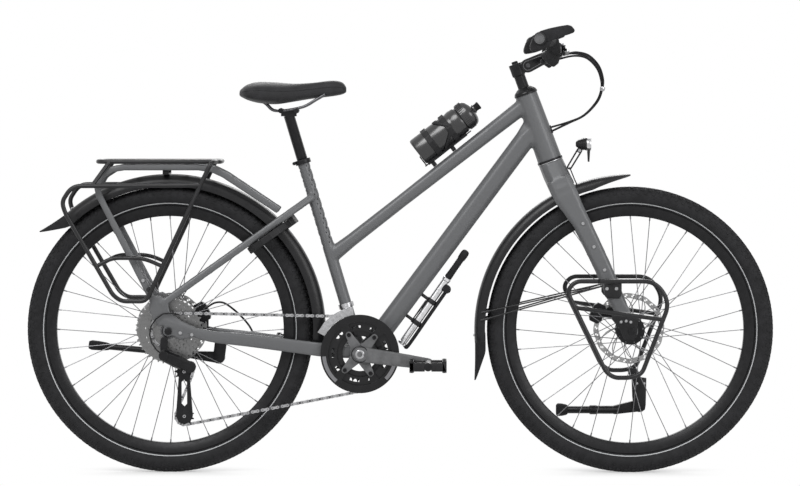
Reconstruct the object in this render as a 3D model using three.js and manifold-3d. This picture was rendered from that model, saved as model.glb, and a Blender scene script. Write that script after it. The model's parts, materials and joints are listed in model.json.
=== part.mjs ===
// Touring bicycle with low-step trekking frame, carriers, mudguards and hydraulic disc brakes.
// Millimetres. +X is the riding direction, +Y the left side, +Z up.
// The origin is on the ground, in the centre plane, midway between the two axles.
import * as THREE from 'three';
import { mergeVertices } from 'three/addons/utils/BufferGeometryUtils.js';
import Module from 'manifold-3d';

const wasm = await Module();
wasm.setup();

const { PI, cos, sin, sqrt, atan2, hypot } = Math;
const degree = PI / 180;

// Clearances and finish of the mesh
const gap = 0.3;              // between pieces that touch
const overrun = 3;            // how far a cutter passes through what it cuts

// A flat-sided pin turns in a flat-sided bore when its corners clear the bore's flats.
const pinSides = 6;
const turningBore = (pinRadius, sides = pinSides) => (pinRadius + gap) / cos(PI / sides);
const turningPin = (boreRadius, sides = pinSides) => boreRadius * cos(PI / sides) - gap;
const wheelSteps = 28;        // facets round a wheel
const tubeSides = 8;
const wireSides = 5;

// Layout of the frame
const wheelbase = 1158;
const tyreRadius = 360;
const bracketDrop = 58;       // bottom bracket below the axles
const chainstayLength = 482.5;
const headAngle = 70 * degree;
const seatAngle = 73.3 * degree;
const forkRake = 44;
const crownHeight = 467;      // from the foot of the front axle on the steering axis
const headTube = { length: 183, topRadius: 28.5, lowRadius: 31.5, bore: 19.5 };
const seatTube = { length: 508, radius: 15.9, bore: 13.9, boreDepth: 230 };
const topTube = { seatShare: 0.5, headShare: 0.87, depth: 32, width: 34 };
const downTube = { footAhead: 16, headShare: 0.55, flareShare: 0.44, depth: 53, width: 46 };
const bracketShell = { radius: 23, halfWidth: 34, bore: 20, flange: 3.4 };
const dropoutSpacing = 142;   // inner faces of the rear dropouts
const forkSpacing = 112;      // inner faces of the fork ends

// Wheels
const tyre = { width: 50, beadDepth: 9, beadHalfWidth: 11.7, treadHalfWidth: 8.5, wall: 48 };
const rim = { depth: 26, halfWidth: 15, crownHalfWidth: 8 };
const hookRadius = tyreRadius - tyre.wall;
const beadRadius = hookRadius - tyre.beadDepth;
const rimRadius = hookRadius - rim.depth;
const spokes = { count: 36, radius: 1, sweep: 58 * degree, crossing: 1.6 };
const frontHub = { radius: 32, flangeRadius: 36, leftFlange: 27, rightFlange: -30, bore: 6.5 };
const rearHub = { radius: 19, flangeRadius: 29, leftFlange: 34, rightFlange: -20, bore: 6.5 };
const rotor = {
  radius: 90, bandWidth: 14, thickness: 2, hubRadius: 30, armCount: 5, offset: 47, lean: 20 * degree,
};

// Drive
const chainPitch = 12.7;
const chainLine = -47;
const outerRingTeeth = 46;
const innerRingTeeth = 34;
const cassetteTeethShares = [41, 36, 31, 26, 22, 19, 17, 15, 13, 11].map((teeth) => teeth / outerRingTeeth);
const drivenCog = 4;          // the cog that the chain lies on, counted from the largest
const cogSpacing = 4;
const cogThickness = 2;
const pulleyTeeth = 11;
const crankLength = 172.5;
const crankAngle = -8 * degree;

const rearAxle = { x: -wheelbase / 2, z: tyreRadius };
const frontAxle = { x: wheelbase / 2, z: tyreRadius };
const bracket = {
  x: rearAxle.x + sqrt(chainstayLength ** 2 - bracketDrop ** 2),
  z: tyreRadius - bracketDrop,
};

// The steering frame stands where the front axle meets the steering axis at a right angle.
const steeringTilt = headAngle - PI / 2;
const steeringMatrix = new THREE.Matrix4()
  .makeTranslation(frontAxle.x - forkRake * sin(headAngle), 0, frontAxle.z - forkRake * cos(headAngle))
  .multiply(new THREE.Matrix4().makeRotationY(steeringTilt));

const at = (x, z, y = 0) => new THREE.Vector3(x, y, z);
const steered = (x, z, y = 0) => at(x, z, y).applyMatrix4(steeringMatrix);
const seatLine = (along, behind = 0, y = 0) => at(
  bracket.x - along * cos(seatAngle) - behind * sin(seatAngle),
  bracket.z + along * sin(seatAngle) - behind * cos(seatAngle),
  y,
);
const lateral = new THREE.Vector3(0, 1, 0);
const mix = (a, b, share) => new THREE.Vector3().lerpVectors(a, b, share);

// Materials
const paint = { color: 0x4d4f51, roughness: 0.55, metalness: 0.25 };
const blackMetal = { color: 0x17181a, roughness: 0.42, metalness: 0.3 };
const blackPlastic = { color: 0x1b1c1e, roughness: 0.55, metalness: 0 };
const glossBlack = { color: 0x101113, roughness: 0.18, metalness: 0.2 };
const silver = { color: 0xb8babc, roughness: 0.35, metalness: 0.9 };
const darkSteel = { color: 0x6d6f70, roughness: 0.4, metalness: 0.85 };
const rubber = { color: 0x202122, roughness: 0.85, metalness: 0 };
const smoked = { color: 0x26282a, roughness: 0.2, metalness: 0 };

const bicycle = new THREE.Group();

// Solids and meshes

function closedSolid(geometry) {
  const bare = geometry.index ? geometry.toNonIndexed() : geometry.clone();
  for (const name of Object.keys(bare.attributes)) {
    if (name !== 'position') bare.deleteAttribute(name);
  }
  const merged = mergeVertices(bare, 1e-4);
  const places = merged.attributes.position.array;
  const corners = [];
  for (let i = 0; i < merged.index.count; i += 3) {
    const [a, b, c] = [merged.index.getX(i), merged.index.getX(i + 1), merged.index.getX(i + 2)];
    if (a !== b && b !== c && c !== a) corners.push(a, b, c);
  }
  const build = (list) => new wasm.Manifold(new wasm.Mesh({
    numProp: 3,
    vertProperties: new Float32Array(places),
    triVerts: new Uint32Array(list),
  }));
  if (signedVolume(places, corners) < 0) corners.reverse();
  return build(corners);
}

function signedVolume(places, corners) {
  let total = 0;
  const [a, b, c] = [new THREE.Vector3(), new THREE.Vector3(), new THREE.Vector3()];
  for (let i = 0; i < corners.length; i += 3) {
    a.fromArray(places, corners[i] * 3);
    b.fromArray(places, corners[i + 1] * 3);
    c.fromArray(places, corners[i + 2] * 3);
    total += a.dot(b.cross(c));
  }
  return total;
}

function geometryOf(solid) {
  const mesh = solid.getMesh();
  const geometry = new THREE.BufferGeometry();
  const places = new Float32Array(mesh.numVert * 3);
  for (let i = 0; i < mesh.numVert; i += 1) {
    for (let k = 0; k < 3; k += 1) places[i * 3 + k] = mesh.vertProperties[i * mesh.numProp + k];
  }
  geometry.setAttribute('position', new THREE.BufferAttribute(places, 3));
  geometry.setIndex(new THREE.BufferAttribute(new Uint32Array(mesh.triVerts), 1));
  geometry.computeVertexNormals();
  return geometry;
}

const join = (...solids) => solids.flat().reduce((whole, part) => whole.add(part));
const cut = (body, ...tools) => tools.flat().reduce((whole, tool) => whole.subtract(tool), body);

function piece(name, solid, material) {
  const mesh = new THREE.Mesh(geometryOf(solid), new THREE.MeshStandardMaterial(material));
  mesh.name = name;
  bicycle.add(mesh);
  return mesh;
}

// Shapes

function polygon(sides, radius, otherRadius = radius, turn = 0) {
  const points = [];
  for (let i = 0; i < sides; i += 1) {
    const angle = turn + (2 * PI * (i + 0.5)) / sides;
    points.push(new THREE.Vector2(radius * cos(angle), otherRadius * sin(angle)));
  }
  return points;
}

// A route through stations, which lie only where it bends.
class StationRoute extends THREE.Curve {
  constructor(stations) {
    super();
    this.stations = stations;
    this.count = stations.length - 1;
  }

  getPoint(share, target = new THREE.Vector3()) {
    const place = share * this.count;
    const index = Math.min(Math.floor(place + 1e-6), this.count - 1);
    return target.lerpVectors(this.stations[index], this.stations[index + 1], place - index);
  }

  getPointAt(share, target) {
    return this.getPoint(share, target);
  }

  getTangentAt(share, target = new THREE.Vector3()) {
    const index = Math.round(share * this.count);
    const here = this.stations[index];
    const inward = here.clone().sub(this.stations[Math.max(index - 1, 0)]).normalize();
    const outward = this.stations[Math.min(index + 1, this.count)].clone().sub(here).normalize();
    return target.copy(inward).add(outward).normalize();
  }
}

// Straight runs between corners, joined by arcs.
function bentStations(corners, bend, arcSteps = 3) {
  const stations = [corners[0]];
  for (let i = 1; i < corners.length - 1; i += 1) {
    const corner = corners[i];
    const inward = corners[i - 1].clone().sub(corner);
    const outward = corners[i + 1].clone().sub(corner);
    const reach = Math.min(bend, inward.length() * 0.48, outward.length() * 0.48);
    const start = corner.clone().addScaledVector(inward.normalize(), reach);
    const end = corner.clone().addScaledVector(outward.normalize(), reach);
    stations.push(...new THREE.QuadraticBezierCurve3(start, corner, end).getPoints(arcSteps));
  }
  stations.push(corners[corners.length - 1]);
  return stations;
}

function sweep(stations, section) {
  const route = new StationRoute(stations);
  const shape = new THREE.Shape(section);
  return closedSolid(new THREE.ExtrudeGeometry(shape, { steps: route.count, extrudePath: route }));
}

const tube = (corners, radius, bend = radius * 3, sides = tubeSides, arcSteps = 3) => sweep(
  bentStations(corners, bend, arcSteps),
  polygon(sides, radius),
);

// A cord follows a smooth curve through its points.
function cord(points, radius, steps) {
  const curve = new THREE.CatmullRomCurve3(points, false, 'centripetal');
  const outline = new THREE.Shape(polygon(wireSides, radius));
  const geometry = new THREE.ExtrudeGeometry(outline, { steps, extrudePath: curve });
  return closedSolid(geometry);
}

// A straight round bar, its ends closed without a vertex in their middle
function rod(from, to, radius, sides = tubeSides, endRadius = radius) {
  const turn = new THREE.Quaternion().setFromUnitVectors(lateral, to.clone().sub(from).normalize());
  const places = [];
  for (const [end, size] of [[from, radius], [to, endRadius]]) {
    for (let i = 0; i < sides; i += 1) {
      const angle = (2 * PI * i) / sides;
      places.push(...at(size * sin(angle), size * cos(angle)).applyQuaternion(turn).add(end));
    }
  }
  return closedSolid(skinned(places, sides, 2));
}

// The skin of a body whose places hold one ring of points after another
function skinned(places, sides, rings) {
  const triangles = [];
  const last = (rings - 1) * sides;
  for (let row = 0; row < last; row += sides) {
    for (let i = 0; i < sides; i += 1) {
      const next = (i + 1) % sides;
      triangles.push(row + i, row + next, row + sides + i);
      triangles.push(row + next, row + sides + next, row + sides + i);
    }
  }
  for (let i = 1; i < sides - 1; i += 1) {
    triangles.push(0, i + 1, i);
    triangles.push(last, last + i, last + i + 1);
  }
  const geometry = new THREE.BufferGeometry();
  geometry.setAttribute('position', new THREE.BufferAttribute(new Float32Array(places), 3));
  geometry.setIndex(triangles);
  return geometry;
}

// A plate has its outline in the side view and its thickness along Y.
function plate(outline, yLow, yHigh, holes = []) {
  const shape = new THREE.Shape(outline.map((point) => new THREE.Vector2(point.x, point.z)));
  for (const hole of holes) {
    shape.holes.push(new THREE.Path(hole.map((point) => new THREE.Vector2(point.x, point.z))));
  }
  const geometry = new THREE.ExtrudeGeometry(shape, { depth: yHigh - yLow, bevelEnabled: false });
  geometry.rotateX(PI / 2);
  geometry.translate(0, yHigh, 0);
  return closedSolid(geometry);
}

// A turned piece lies round an axis. Its profile holds [radius, along the axis] pairs.
function turned(profile, origin, axis = lateral, segments = 24) {
  const points = profile.map(([radius, along]) => new THREE.Vector2(radius, along));
  if (profile[0][0] > 0) points.push(points[0].clone());
  const geometry = new THREE.LatheGeometry(points, segments);
  geometry.applyQuaternion(new THREE.Quaternion().setFromUnitVectors(lateral, axis.clone().normalize()));
  geometry.translate(origin.x, origin.y, origin.z);
  return closedSolid(geometry);
}

const ring = (inner, outer, yLow, yHigh, centre, segments = 24) => turned(
  [[inner, yLow], [outer, yLow], [outer, yHigh], [inner, yHigh]],
  at(centre.x, centre.z),
  lateral,
  segments,
);

const drum = (radius, yLow, yHigh, centre, segments = 24) => rod(
  at(centre.x, centre.z, yLow),
  at(centre.x, centre.z, yHigh),
  radius,
  segments,
);

// A loft runs through sections: { at, along, up, side }, up and side being half sizes.
function loft(sections, sides = tubeSides, fullness = 1, sideways = lateral) {
  const places = [];
  for (const section of sections) {
    const along = section.along.clone().normalize();
    const across = sideways.clone().addScaledVector(along, -sideways.dot(along)).normalize();
    const upward = new THREE.Vector3().crossVectors(across, along).normalize();
    for (let i = 0; i < sides; i += 1) {
      const angle = (2 * PI * (i + 0.5)) / sides;
      const soft = (value) => Math.sign(value) * Math.abs(value) ** fullness;
      const point = section.at.clone()
        .addScaledVector(across, section.side * soft(cos(angle)))
        .addScaledVector(upward, section.up * soft(sin(angle)));
      places.push(...point);
    }
  }
  return closedSolid(skinned(places, sides, sections.length));
}

// Sections along a list of points, each pointing from the one before to the one after.
function sectionsAlong(points, ups, sidesOf) {
  return points.map((point, i) => ({
    at: point,
    along: points[Math.min(i + 1, points.length - 1)].clone().sub(points[Math.max(i - 1, 0)]),
    up: ups[i],
    side: sidesOf[i],
  }));
}

const onCircle = (centre, radius, angle, y = 0) => at(
  centre.x + radius * cos(angle),
  centre.z + radius * sin(angle),
  y,
);

function arcPoints(centre, radius, from, to, steps, y = 0) {
  const points = [];
  for (let i = 0; i <= steps; i += 1) {
    points.push(onCircle(centre, radius, from + ((to - from) * i) / steps, y));
  }
  return points;
}

// Flat bars and tubes of even section along bent corners
function bar(corners, height, width, bend, sides = 4, fullness = 0) {
  const stations = bentStations(corners, bend, 2);
  const ups = stations.map(() => height / 2);
  const halves = stations.map(() => width / 2);
  return loft(sectionsAlong(stations, ups, halves), sides, fullness);
}

const mirrored = (make) => [make(1), make(-1)];

// Main frame

const stay = { depth: 21, width: 12, frontDepth: 29, topShare: 0.81, topSpread: 15, frontWidth: 11 };
const dropout = { height: 92, thickness: 7, eye: 15, hubRoom: 42 };
const carrierRail = { height: 17, width: 9, bend: 34 };

// Rows: ahead of and above the rear axle as shares of the chainstay length, then the spread as a share of the
// half spacing.
const chainStayShares = [
  [-0.029, 0.052, 1.05],
  [0.094, 0.01, 1.05],
  [0.212, -0.026, 0.98],
  [0.425, -0.052, 0.74],
  [0.684, -0.087, 0.53],
  [0.787, -0.1, 0.52],
  [0.862, -0.108, 0.43],
  [0.965, -0.118, 0.38],
];
const chainStayDepthShares = [0.75, 0.85, 0.98, 0.98, 0.98, 1, 1, 1];

// Rows: ahead of and above the rear axle as shares of the tyre radius, spread as a share of the half spacing.
const carrierRailShares = [
  [0.765, 0.835, 0.55],
  [0.311, 1.137, 0.74],
  [-0.397, 1.137, 0.74],
  [-0.522, 1.022, 0.8],
  [-0.114, 0.229, 1.05],
];

// Outline of the dropout round the rear axle, as shares of its height.
const dropoutShares = [
  [-0.52, 0.55], [-0.5, 0.9], [-0.28, 1], [-0.02, 0.84], [0.06, 0.5], [0.34, 0.3], [0.74, 0.12],
  [0.72, -0.16], [0.3, -0.24], [0.12, -0.12], [0.1, 0.06], [-0.12, 0.16], [-0.28, 0.12], [-0.4, 0.3],
];

const halfSpacing = dropoutSpacing / 2;
const dropoutMiddle = halfSpacing + dropout.thickness / 2;
const steeringUp = steered(0, 1).sub(steered(0, 0));
const topTubeFoot = seatLine(seatTube.length * topTube.seatShare);
const topTubeHead = steered(0, crownHeight + headTube.length * topTube.headShare);
const downTubeFoot = at(bracket.x + downTube.footAhead, bracket.z);
const downTubeHead = steered(0, crownHeight + headTube.length * downTube.headShare);
const topTubeAlong = topTubeHead.clone().sub(topTubeFoot).normalize();
const topTubeUp = topTubeAlong.clone().cross(lateral);
const downTubeAlong = downTubeHead.clone().sub(downTubeFoot).normalize();
const downTubeUnder = lateral.clone().cross(downTubeAlong);

function seatStayPoints(side) {
  const top = seatLine(seatTube.length * stay.topShare, 0, side * stay.topSpread);
  const end = at(
    rearAxle.x - dropout.height * 0.2,
    rearAxle.z + dropout.height * 0.72,
    side * dropoutMiddle,
  );
  const shoulder = mix(top, end, 0.2);
  shoulder.y = side * halfSpacing * 0.62;
  const bend = mix(top, end, 0.13);
  bend.y = side * halfSpacing * 0.5;
  return [top, bend, shoulder, end];
}

const topTubeSolid = (extra = 0) => loft(sectionsAlong(
  [0, 0.1, 0.35, 0.8, 1].map((share) => mix(topTubeFoot, topTubeHead, share)),
  [1.3, 1.1, 1.06, 1.22, 1.34].map((share) => (share * topTube.depth) / 2 + extra),
  [0.95, 1, 1, 1.05, 1.25].map((share) => (share * topTube.width) / 2 + extra),
), 8, 0.8);

// The down tube flares where it meets the head tube.
function downTubeSolid(extra = 0) {
  const points = [0, 0.15, 0.8, 0.93].map((share) => mix(downTubeFoot, downTubeHead, share));
  points.push(steered(0, crownHeight + headTube.length * downTube.flareShare));
  const sections = sectionsAlong(
    points,
    [1, 1, 1, 1.02, 1.85].map((share) => (share * downTube.depth) / 2 + extra),
    [1, 1, 1, 1, 1.05].map((share) => (share * downTube.width) / 2 + extra),
  );
  for (const section of sections) section.along = downTubeAlong;
  return loft(sections, 8, 0.8);
}

function mainTubes() {
  const seatPipe = rod(seatLine(0), seatLine(seatTube.length), seatTube.radius, 10);
  return [topTubeSolid(), downTubeSolid(), seatPipe];
}

function chainStaySolid(side, extra = 0) {
  const points = chainStayShares.map(([ahead, above, spread]) => at(
    rearAxle.x + ahead * chainstayLength,
    rearAxle.z + above * chainstayLength,
    side * spread * halfSpacing,
  ));
  return loft(sectionsAlong(
    points,
    chainStayDepthShares.map((share) => (share * stay.frontDepth) / 2 + extra),
    points.map(() => stay.frontWidth / 2 + extra),
  ), 6, 0.7);
}

function stays(side) {
  const seatPoints = seatStayPoints(side);
  const seatStay = loft(sectionsAlong(
    seatPoints,
    seatPoints.map(() => stay.depth / 2),
    seatPoints.map(() => stay.width / 2),
  ), 6, 0.7);
  const outline = dropoutShares.map(([ahead, above]) => at(
    rearAxle.x + ahead * dropout.height,
    rearAxle.z + above * dropout.height,
  ));
  const inner = side > 0 ? halfSpacing : -halfSpacing - dropout.thickness;
  const cheek = join(
    plate(outline, inner, inner + dropout.thickness),
    drum(dropout.eye, inner, inner + dropout.thickness, rearAxle, 10),
  );
  const railCorners = carrierRailShares.map(([ahead, above, spread]) => at(
    rearAxle.x + ahead * tyreRadius,
    rearAxle.z + above * tyreRadius,
    side * spread * halfSpacing,
  ));
  const rail = bar(railCorners, carrierRail.height, carrierRail.width, carrierRail.bend);
  return [seatStay, chainStaySolid(side), cheek, rail];
}

function mainFrame() {
  const headOrigin = steered(0, crownHeight + gap);
  const head = turned([
    [headTube.bore, 0], [headTube.lowRadius, 0], [headTube.topRadius, headTube.length - gap],
    [headTube.bore, headTube.length - gap],
  ], headOrigin, steeringUp, 14);
  const headBore = rod(
    steered(0, crownHeight - headTube.length),
    steered(0, crownHeight + headTube.length * 2),
    headTube.bore,
    14,
  );
  const shell = drum(bracketShell.radius, -bracketShell.halfWidth, bracketShell.halfWidth, bracket, 12);
  const shellBore = drum(bracketShell.bore, -halfSpacing, halfSpacing, bracket, 12);
  const seatBore = rod(
    seatLine(seatTube.length - seatTube.boreDepth),
    seatLine(seatTube.length + overrun),
    seatTube.bore,
    10,
  );
  const hubRoom = drum(dropout.hubRoom, -halfSpacing, halfSpacing, rearAxle, 12);
  const axleBore = drum(axlePin.radius + gap, -dropoutSpacing, dropoutSpacing, rearAxle, 8);
  const whole = join(head, mainTubes(), mirrored(stays).flat(), shell);
  return cut(whole, headBore, shellBore, seatBore, hubRoom, axleBore);
}

// Seat

const seatClamp = { wall: 3.6, height: 15, below: 3, lug: 9, boltRadius: 3 };
const seatPost = {
  radius: 13.6, rise: 116, insertion: 150, clampLength: 58, clampWidth: 52, clampHeight: 14,
};
const saddle = { length: 268, width: 164, rise: 62, railRadius: 3.5, railSpread: 22 };

// Rows from rear to nose, as shares of the length, half width and rise: place, half width, low edge, top.
const saddleShares = [
  [0, 0.52, 0.36, 0.58],
  [0.07, 0.93, 0.2, 0.82],
  [0.18, 1, 0.07, 0.94],
  [0.34, 0.86, 0.02, 0.93],
  [0.5, 0.54, 0.12, 0.88],
  [0.67, 0.33, 0.24, 0.92],
  [0.86, 0.28, 0.34, 1],
  [0.96, 0.23, 0.42, 0.92],
  [1, 0.1, 0.52, 0.7],
];
const railShares = [[0.12, 0.36], [0.24, 0.06], [0.34, -0.24], [0.58, -0.1], [0.72, 0.22], [0.8, 0.42]];

const seatUp = seatLine(1).sub(seatLine(0));
const seatBack = seatLine(0, 1).sub(seatLine(0, 0));
const postTop = seatLine(seatTube.length + seatPost.rise);

function seatClampRing() {
  const inner = seatTube.radius + gap;
  const outer = inner + seatClamp.wall;
  const low = seatLine(seatTube.length - seatClamp.height + seatClamp.below);
  const band = turned([
    [inner, 0], [outer, 0], [outer, seatClamp.height - seatClamp.below - gap],
    [inner, seatClamp.height - seatClamp.below - gap],
  ], low, seatUp, 10);
  const back = low.clone().addScaledVector(seatUp, seatClamp.height / 2)
    .addScaledVector(seatBack, outer + seatClamp.lug * 0.3);
  const lug = rod(
    back.clone().setY(-seatClamp.lug),
    back.clone().setY(seatClamp.lug),
    seatClamp.lug * 0.5,
    8,
  );
  const post = rod(seatLine(0), seatLine(seatTube.length + seatPost.rise), inner, 10);
  return cut(join(band, lug), post);
}

function seatPostWithHead() {
  const foot = seatLine(seatTube.length - seatPost.insertion);
  const shaft = rod(foot, postTop, seatPost.radius, 10);
  const cradle = [-1, 1].map((end) => drum(
    seatPost.clampHeight / 2,
    -seatPost.clampWidth / 2,
    seatPost.clampWidth / 2,
    { x: postTop.x + (end * seatPost.clampLength) / 3, z: postTop.z + seatPost.clampHeight * 0.8 },
    8,
  ));
  const bridge = plate([[-1, -0.2], [1, -0.2], [1, 1], [-1, 1]].map(([along, up]) => at(
    postTop.x + (along * seatPost.clampLength) / 3,
    postTop.z + up * seatPost.clampHeight,
  )), -seatPost.radius, seatPost.radius);
  const grooves = mirrored((side) => saddleRail(side, saddle.railRadius + gap * 2));
  return cut(join(shaft, cradle, bridge), grooves);
}

const saddleStart = { x: postTop.x - saddle.length * 0.46, z: postTop.z + seatPost.clampHeight * 1.85 };

function saddleRail(side, radius) {
  const corners = railShares.map(([along, up]) => at(
    saddleStart.x + along * saddle.length,
    saddleStart.z + up * saddle.rise,
    side * saddle.railSpread,
  ));
  return tube(corners, radius, radius * 5, wireSides, 1);
}

function saddleSolid() {
  const sections = saddleShares.map(([along, half, low, top]) => ({
    at: at(saddleStart.x + along * saddle.length, saddleStart.z + ((low + top) / 2) * saddle.rise),
    along: at(1, 0),
    up: ((top - low) / 2) * saddle.rise,
    side: (half * saddle.width) / 2,
  }));
  const skin = loft(sections, 12, 0.8);
  return join(skin, mirrored((side) => saddleRail(side, saddle.railRadius)));
}

// Wheels

function tyreSolid(axle) {
  const centreRadius = tyreRadius - tyre.width / 2;
  const wall = (share, side) => [
    centreRadius - (tyre.width / 2) * cos(PI * share),
    side * (tyre.width / 2) * sin(PI * share),
  ];
  const half = (side) => [
    [beadRadius, side * tyre.beadHalfWidth], [hookRadius + gap, side * tyre.beadHalfWidth],
    wall(0.32, side), wall(0.64, side), [tyreRadius, side * tyre.treadHalfWidth],
  ];
  const profile = [...half(-1), ...half(1).reverse()];
  return turned(profile, at(axle.x, axle.z), lateral, wheelSteps);
}

function rimSolid(axle) {
  const seat = beadRadius - gap;
  const innerWall = tyre.beadHalfWidth + gap;
  return turned([
    [rimRadius, -rim.crownHalfWidth], [hookRadius, -rim.halfWidth], [seat, -innerWall],
    [seat, innerWall], [hookRadius, rim.halfWidth], [rimRadius, rim.crownHalfWidth],
  ], at(axle.x, axle.z), lateral, wheelSteps);
}

// Half the spokes of each flange lead and half trail, so that each crosses its neighbours.
function spokeSet(axle, hub) {
  const pieces = [];
  const step = (2 * PI) / spokes.count;
  for (let i = 0; i < spokes.count; i += 1) {
    const left = i % 2 === 0;
    const leading = i % 4 < 2 ? 1 : -1;
    const flangeY = left ? hub.leftFlange : hub.rightFlange;
    const rimAngle = i * step;
    const hubAngle = rimAngle - leading * spokes.sweep;
    const hubPoint = onCircle(axle, hub.flangeRadius * 0.86, hubAngle, flangeY + leading * spokes.crossing);
    const rimY = (left ? 1 : -1) * rim.crownHalfWidth * 0.4;
    const rimPoint = onCircle(axle, rimRadius * cos(PI / wheelSteps) - gap * 2, rimAngle, rimY);
    pieces.push(rod(hubPoint, rimPoint, spokes.radius, 3));
  }
  return pieces;
}

function rotorSolid(axle, y) {
  const low = y - rotor.thickness / 2;
  const high = y + rotor.thickness / 2;
  const band = ring(rotor.radius - rotor.bandWidth, rotor.radius, low, high, axle, 14);
  const arms = [];
  for (let i = 0; i < rotor.armCount; i += 1) {
    const angle = (2 * PI * i) / rotor.armCount;
    const lean = angle + rotor.lean;
    const half = rotor.thickness;
    const inner = rotor.hubRadius * 0.5;
    const outer = rotor.radius - rotor.bandWidth * 0.8;
    arms.push(plate([
      onCircle(axle, inner, angle - half / rotor.hubRadius),
      onCircle(axle, outer, lean - half / rotor.radius),
      onCircle(axle, outer, lean + half / rotor.radius),
      onCircle(axle, inner, angle + half / rotor.hubRadius),
    ], low, high));
  }
  return join(band, arms);
}

function hubSolid(axle, hub, farRight, farLeft, freehub) {
  const { radius, flangeRadius, leftFlange, rightFlange, bore } = hub;
  const wall = spokes.crossing * 1.7;
  const shell = turned([
    [bore, farRight], [freehub, farRight], [freehub, rightFlange - wall], [flangeRadius, rightFlange - wall],
    [flangeRadius, rightFlange + wall], [radius, rightFlange + wall * 2], [radius, leftFlange - wall * 2],
    [flangeRadius, leftFlange - wall], [flangeRadius, leftFlange + wall],
    [rotor.hubRadius * 0.65, rotor.offset],
    [bore * 2, rotor.offset + rotor.thickness], [bore * 2, farLeft], [bore, farLeft],
  ], at(axle.x, axle.z), lateral, 8);
  return join(shell, spokeSet(axle, hub), rotorSolid(axle, rotor.offset));
}

const axlePin = { radius: 6, head: 9, headLength: 5 };

function axleSolid(axle, halfWidth, thickness) {
  const face = halfWidth + thickness;
  const shaft = drum(axlePin.radius, -face - overrun, face + overrun, axle, 8);
  const head = drum(axlePin.head, -face - axlePin.headLength, -face - gap, axle, 8);
  return join(shaft, head);
}

// Drive

const tooth = { rootDepth: 4, tipHeight: 2.6, valleyHalf: 2.4 };
const outerRing = { thickness: 2, innerRadius: 74, tabWidth: 15 };
const innerRing = { y: -39.5, thickness: 2, innerRadius: 44 };
const guard = { outerRadius: 98.7, innerRadius: 77, thickness: 2.2 };
const spider = { boltRadius: 55.5, pinRadius: 4.5, thickness: 4, hubRadius: 22, armWidth: 17 };
const spiderAngles = [49, 120, 227, 299].map((angle) => angle * degree);
const crank = { axleRadius: 12, axleSides: 12, bossRadius: 19, endRadius: 14.5, thickness: 14, armNear: 2 };
const pedal = { length: 92, width: 96, height: 31, axleRadius: 6, standOff: 6 };
const pulley = { thickness: 1.8, bore: 4, restAngle: -86 * degree, swing: 0.3, reach: 112 };
const roller = { radius: 3.1, sides: 3 };
const link = { innerHalf: 1.3, outerHalf: 2.7, height: 7.6, spacing: 12 };
const freehubRadius = 15.4;
const derailleurPivot = { ahead: 54, below: 90, radius: 12 };
const guidePulley = { ahead: 38, below: 103 };

const pitchRadius = (teeth) => (teeth * chainPitch) / (2 * PI);
const cassetteTeeth = cassetteTeethShares.map((share) => Math.round(share * outerRingTeeth));
const cogY = (index) => chainLine + (drivenCog - index) * cogSpacing;
const pulleyRadius = pitchRadius(pulleyTeeth);
const guideCentre = { x: rearAxle.x + guidePulley.ahead, z: rearAxle.z - guidePulley.below };
const pivotCentre = { x: rearAxle.x + derailleurPivot.ahead, z: rearAxle.z - derailleurPivot.below };

const tensionCentreAt = (angle) => ({
  x: guideCentre.x + pulley.reach * cos(angle),
  z: guideCentre.z + pulley.reach * sin(angle),
});

// The chain's line round its wheels, as seen from the drive side. A sense of 1 turns clockwise.
function chainLoop(tensionCentre) {
  const wheels = [
    { centre: bracket, radius: pitchRadius(outerRingTeeth), sense: 1 },
    { centre: tensionCentre, radius: pulleyRadius, sense: 1 },
    { centre: guideCentre, radius: pulleyRadius, sense: -1 },
    { centre: rearAxle, radius: pitchRadius(cassetteTeeth[drivenCog]), sense: 1 },
  ];
  const runs = wheels.map((from, i) => {
    const to = wheels[(i + 1) % wheels.length];
    const [dx, dz] = [to.centre.x - from.centre.x, to.centre.z - from.centre.z];
    const offset = to.sense * to.radius - from.sense * from.radius;
    const distance = hypot(dx, dz);
    const length = sqrt(distance ** 2 - offset ** 2);
    const along = {
      x: (length * dx - offset * dz) / distance ** 2,
      z: (length * dz + offset * dx) / distance ** 2,
    };
    const right = { x: along.z, z: -along.x };
    const start = {
      x: from.centre.x - from.sense * from.radius * right.x,
      z: from.centre.z - from.sense * from.radius * right.z,
    };
    return { start, along, length, from, to };
  });
  const parts = [];
  runs.forEach((run, i) => {
    parts.push({ kind: 'run', length: run.length, run });
    const next = runs[(i + 1) % runs.length];
    const wheel = run.to;
    const end = { x: run.start.x + run.along.x * run.length, z: run.start.z + run.along.z * run.length };
    const from = atan2(end.z - wheel.centre.z, end.x - wheel.centre.x);
    const to = atan2(next.start.z - wheel.centre.z, next.start.x - wheel.centre.x);
    let turn = wheel.sense > 0 ? from - to : to - from;
    while (turn < 0) turn += 2 * PI;
    while (turn > 2 * PI) turn -= 2 * PI;
    parts.push({ kind: 'arc', length: turn * wheel.radius, wheel, from });
  });
  const total = parts.reduce((sum, part) => sum + part.length, 0);
  return { parts, total };
}

function chainPoint(loop, distance) {
  let left = ((distance % loop.total) + loop.total) % loop.total;
  for (const part of loop.parts) {
    if (left <= part.length) {
      if (part.kind === 'run') {
        const { start, along } = part.run;
        return { x: start.x + along.x * left, z: start.z + along.z * left };
      }
      const angle = part.from - (part.wheel.sense * left) / part.wheel.radius;
      return {
        x: part.wheel.centre.x + part.wheel.radius * cos(angle),
        z: part.wheel.centre.z + part.wheel.radius * sin(angle),
      };
    }
    left -= part.length;
  }
  return chainPoint(loop, 0);
}

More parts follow.
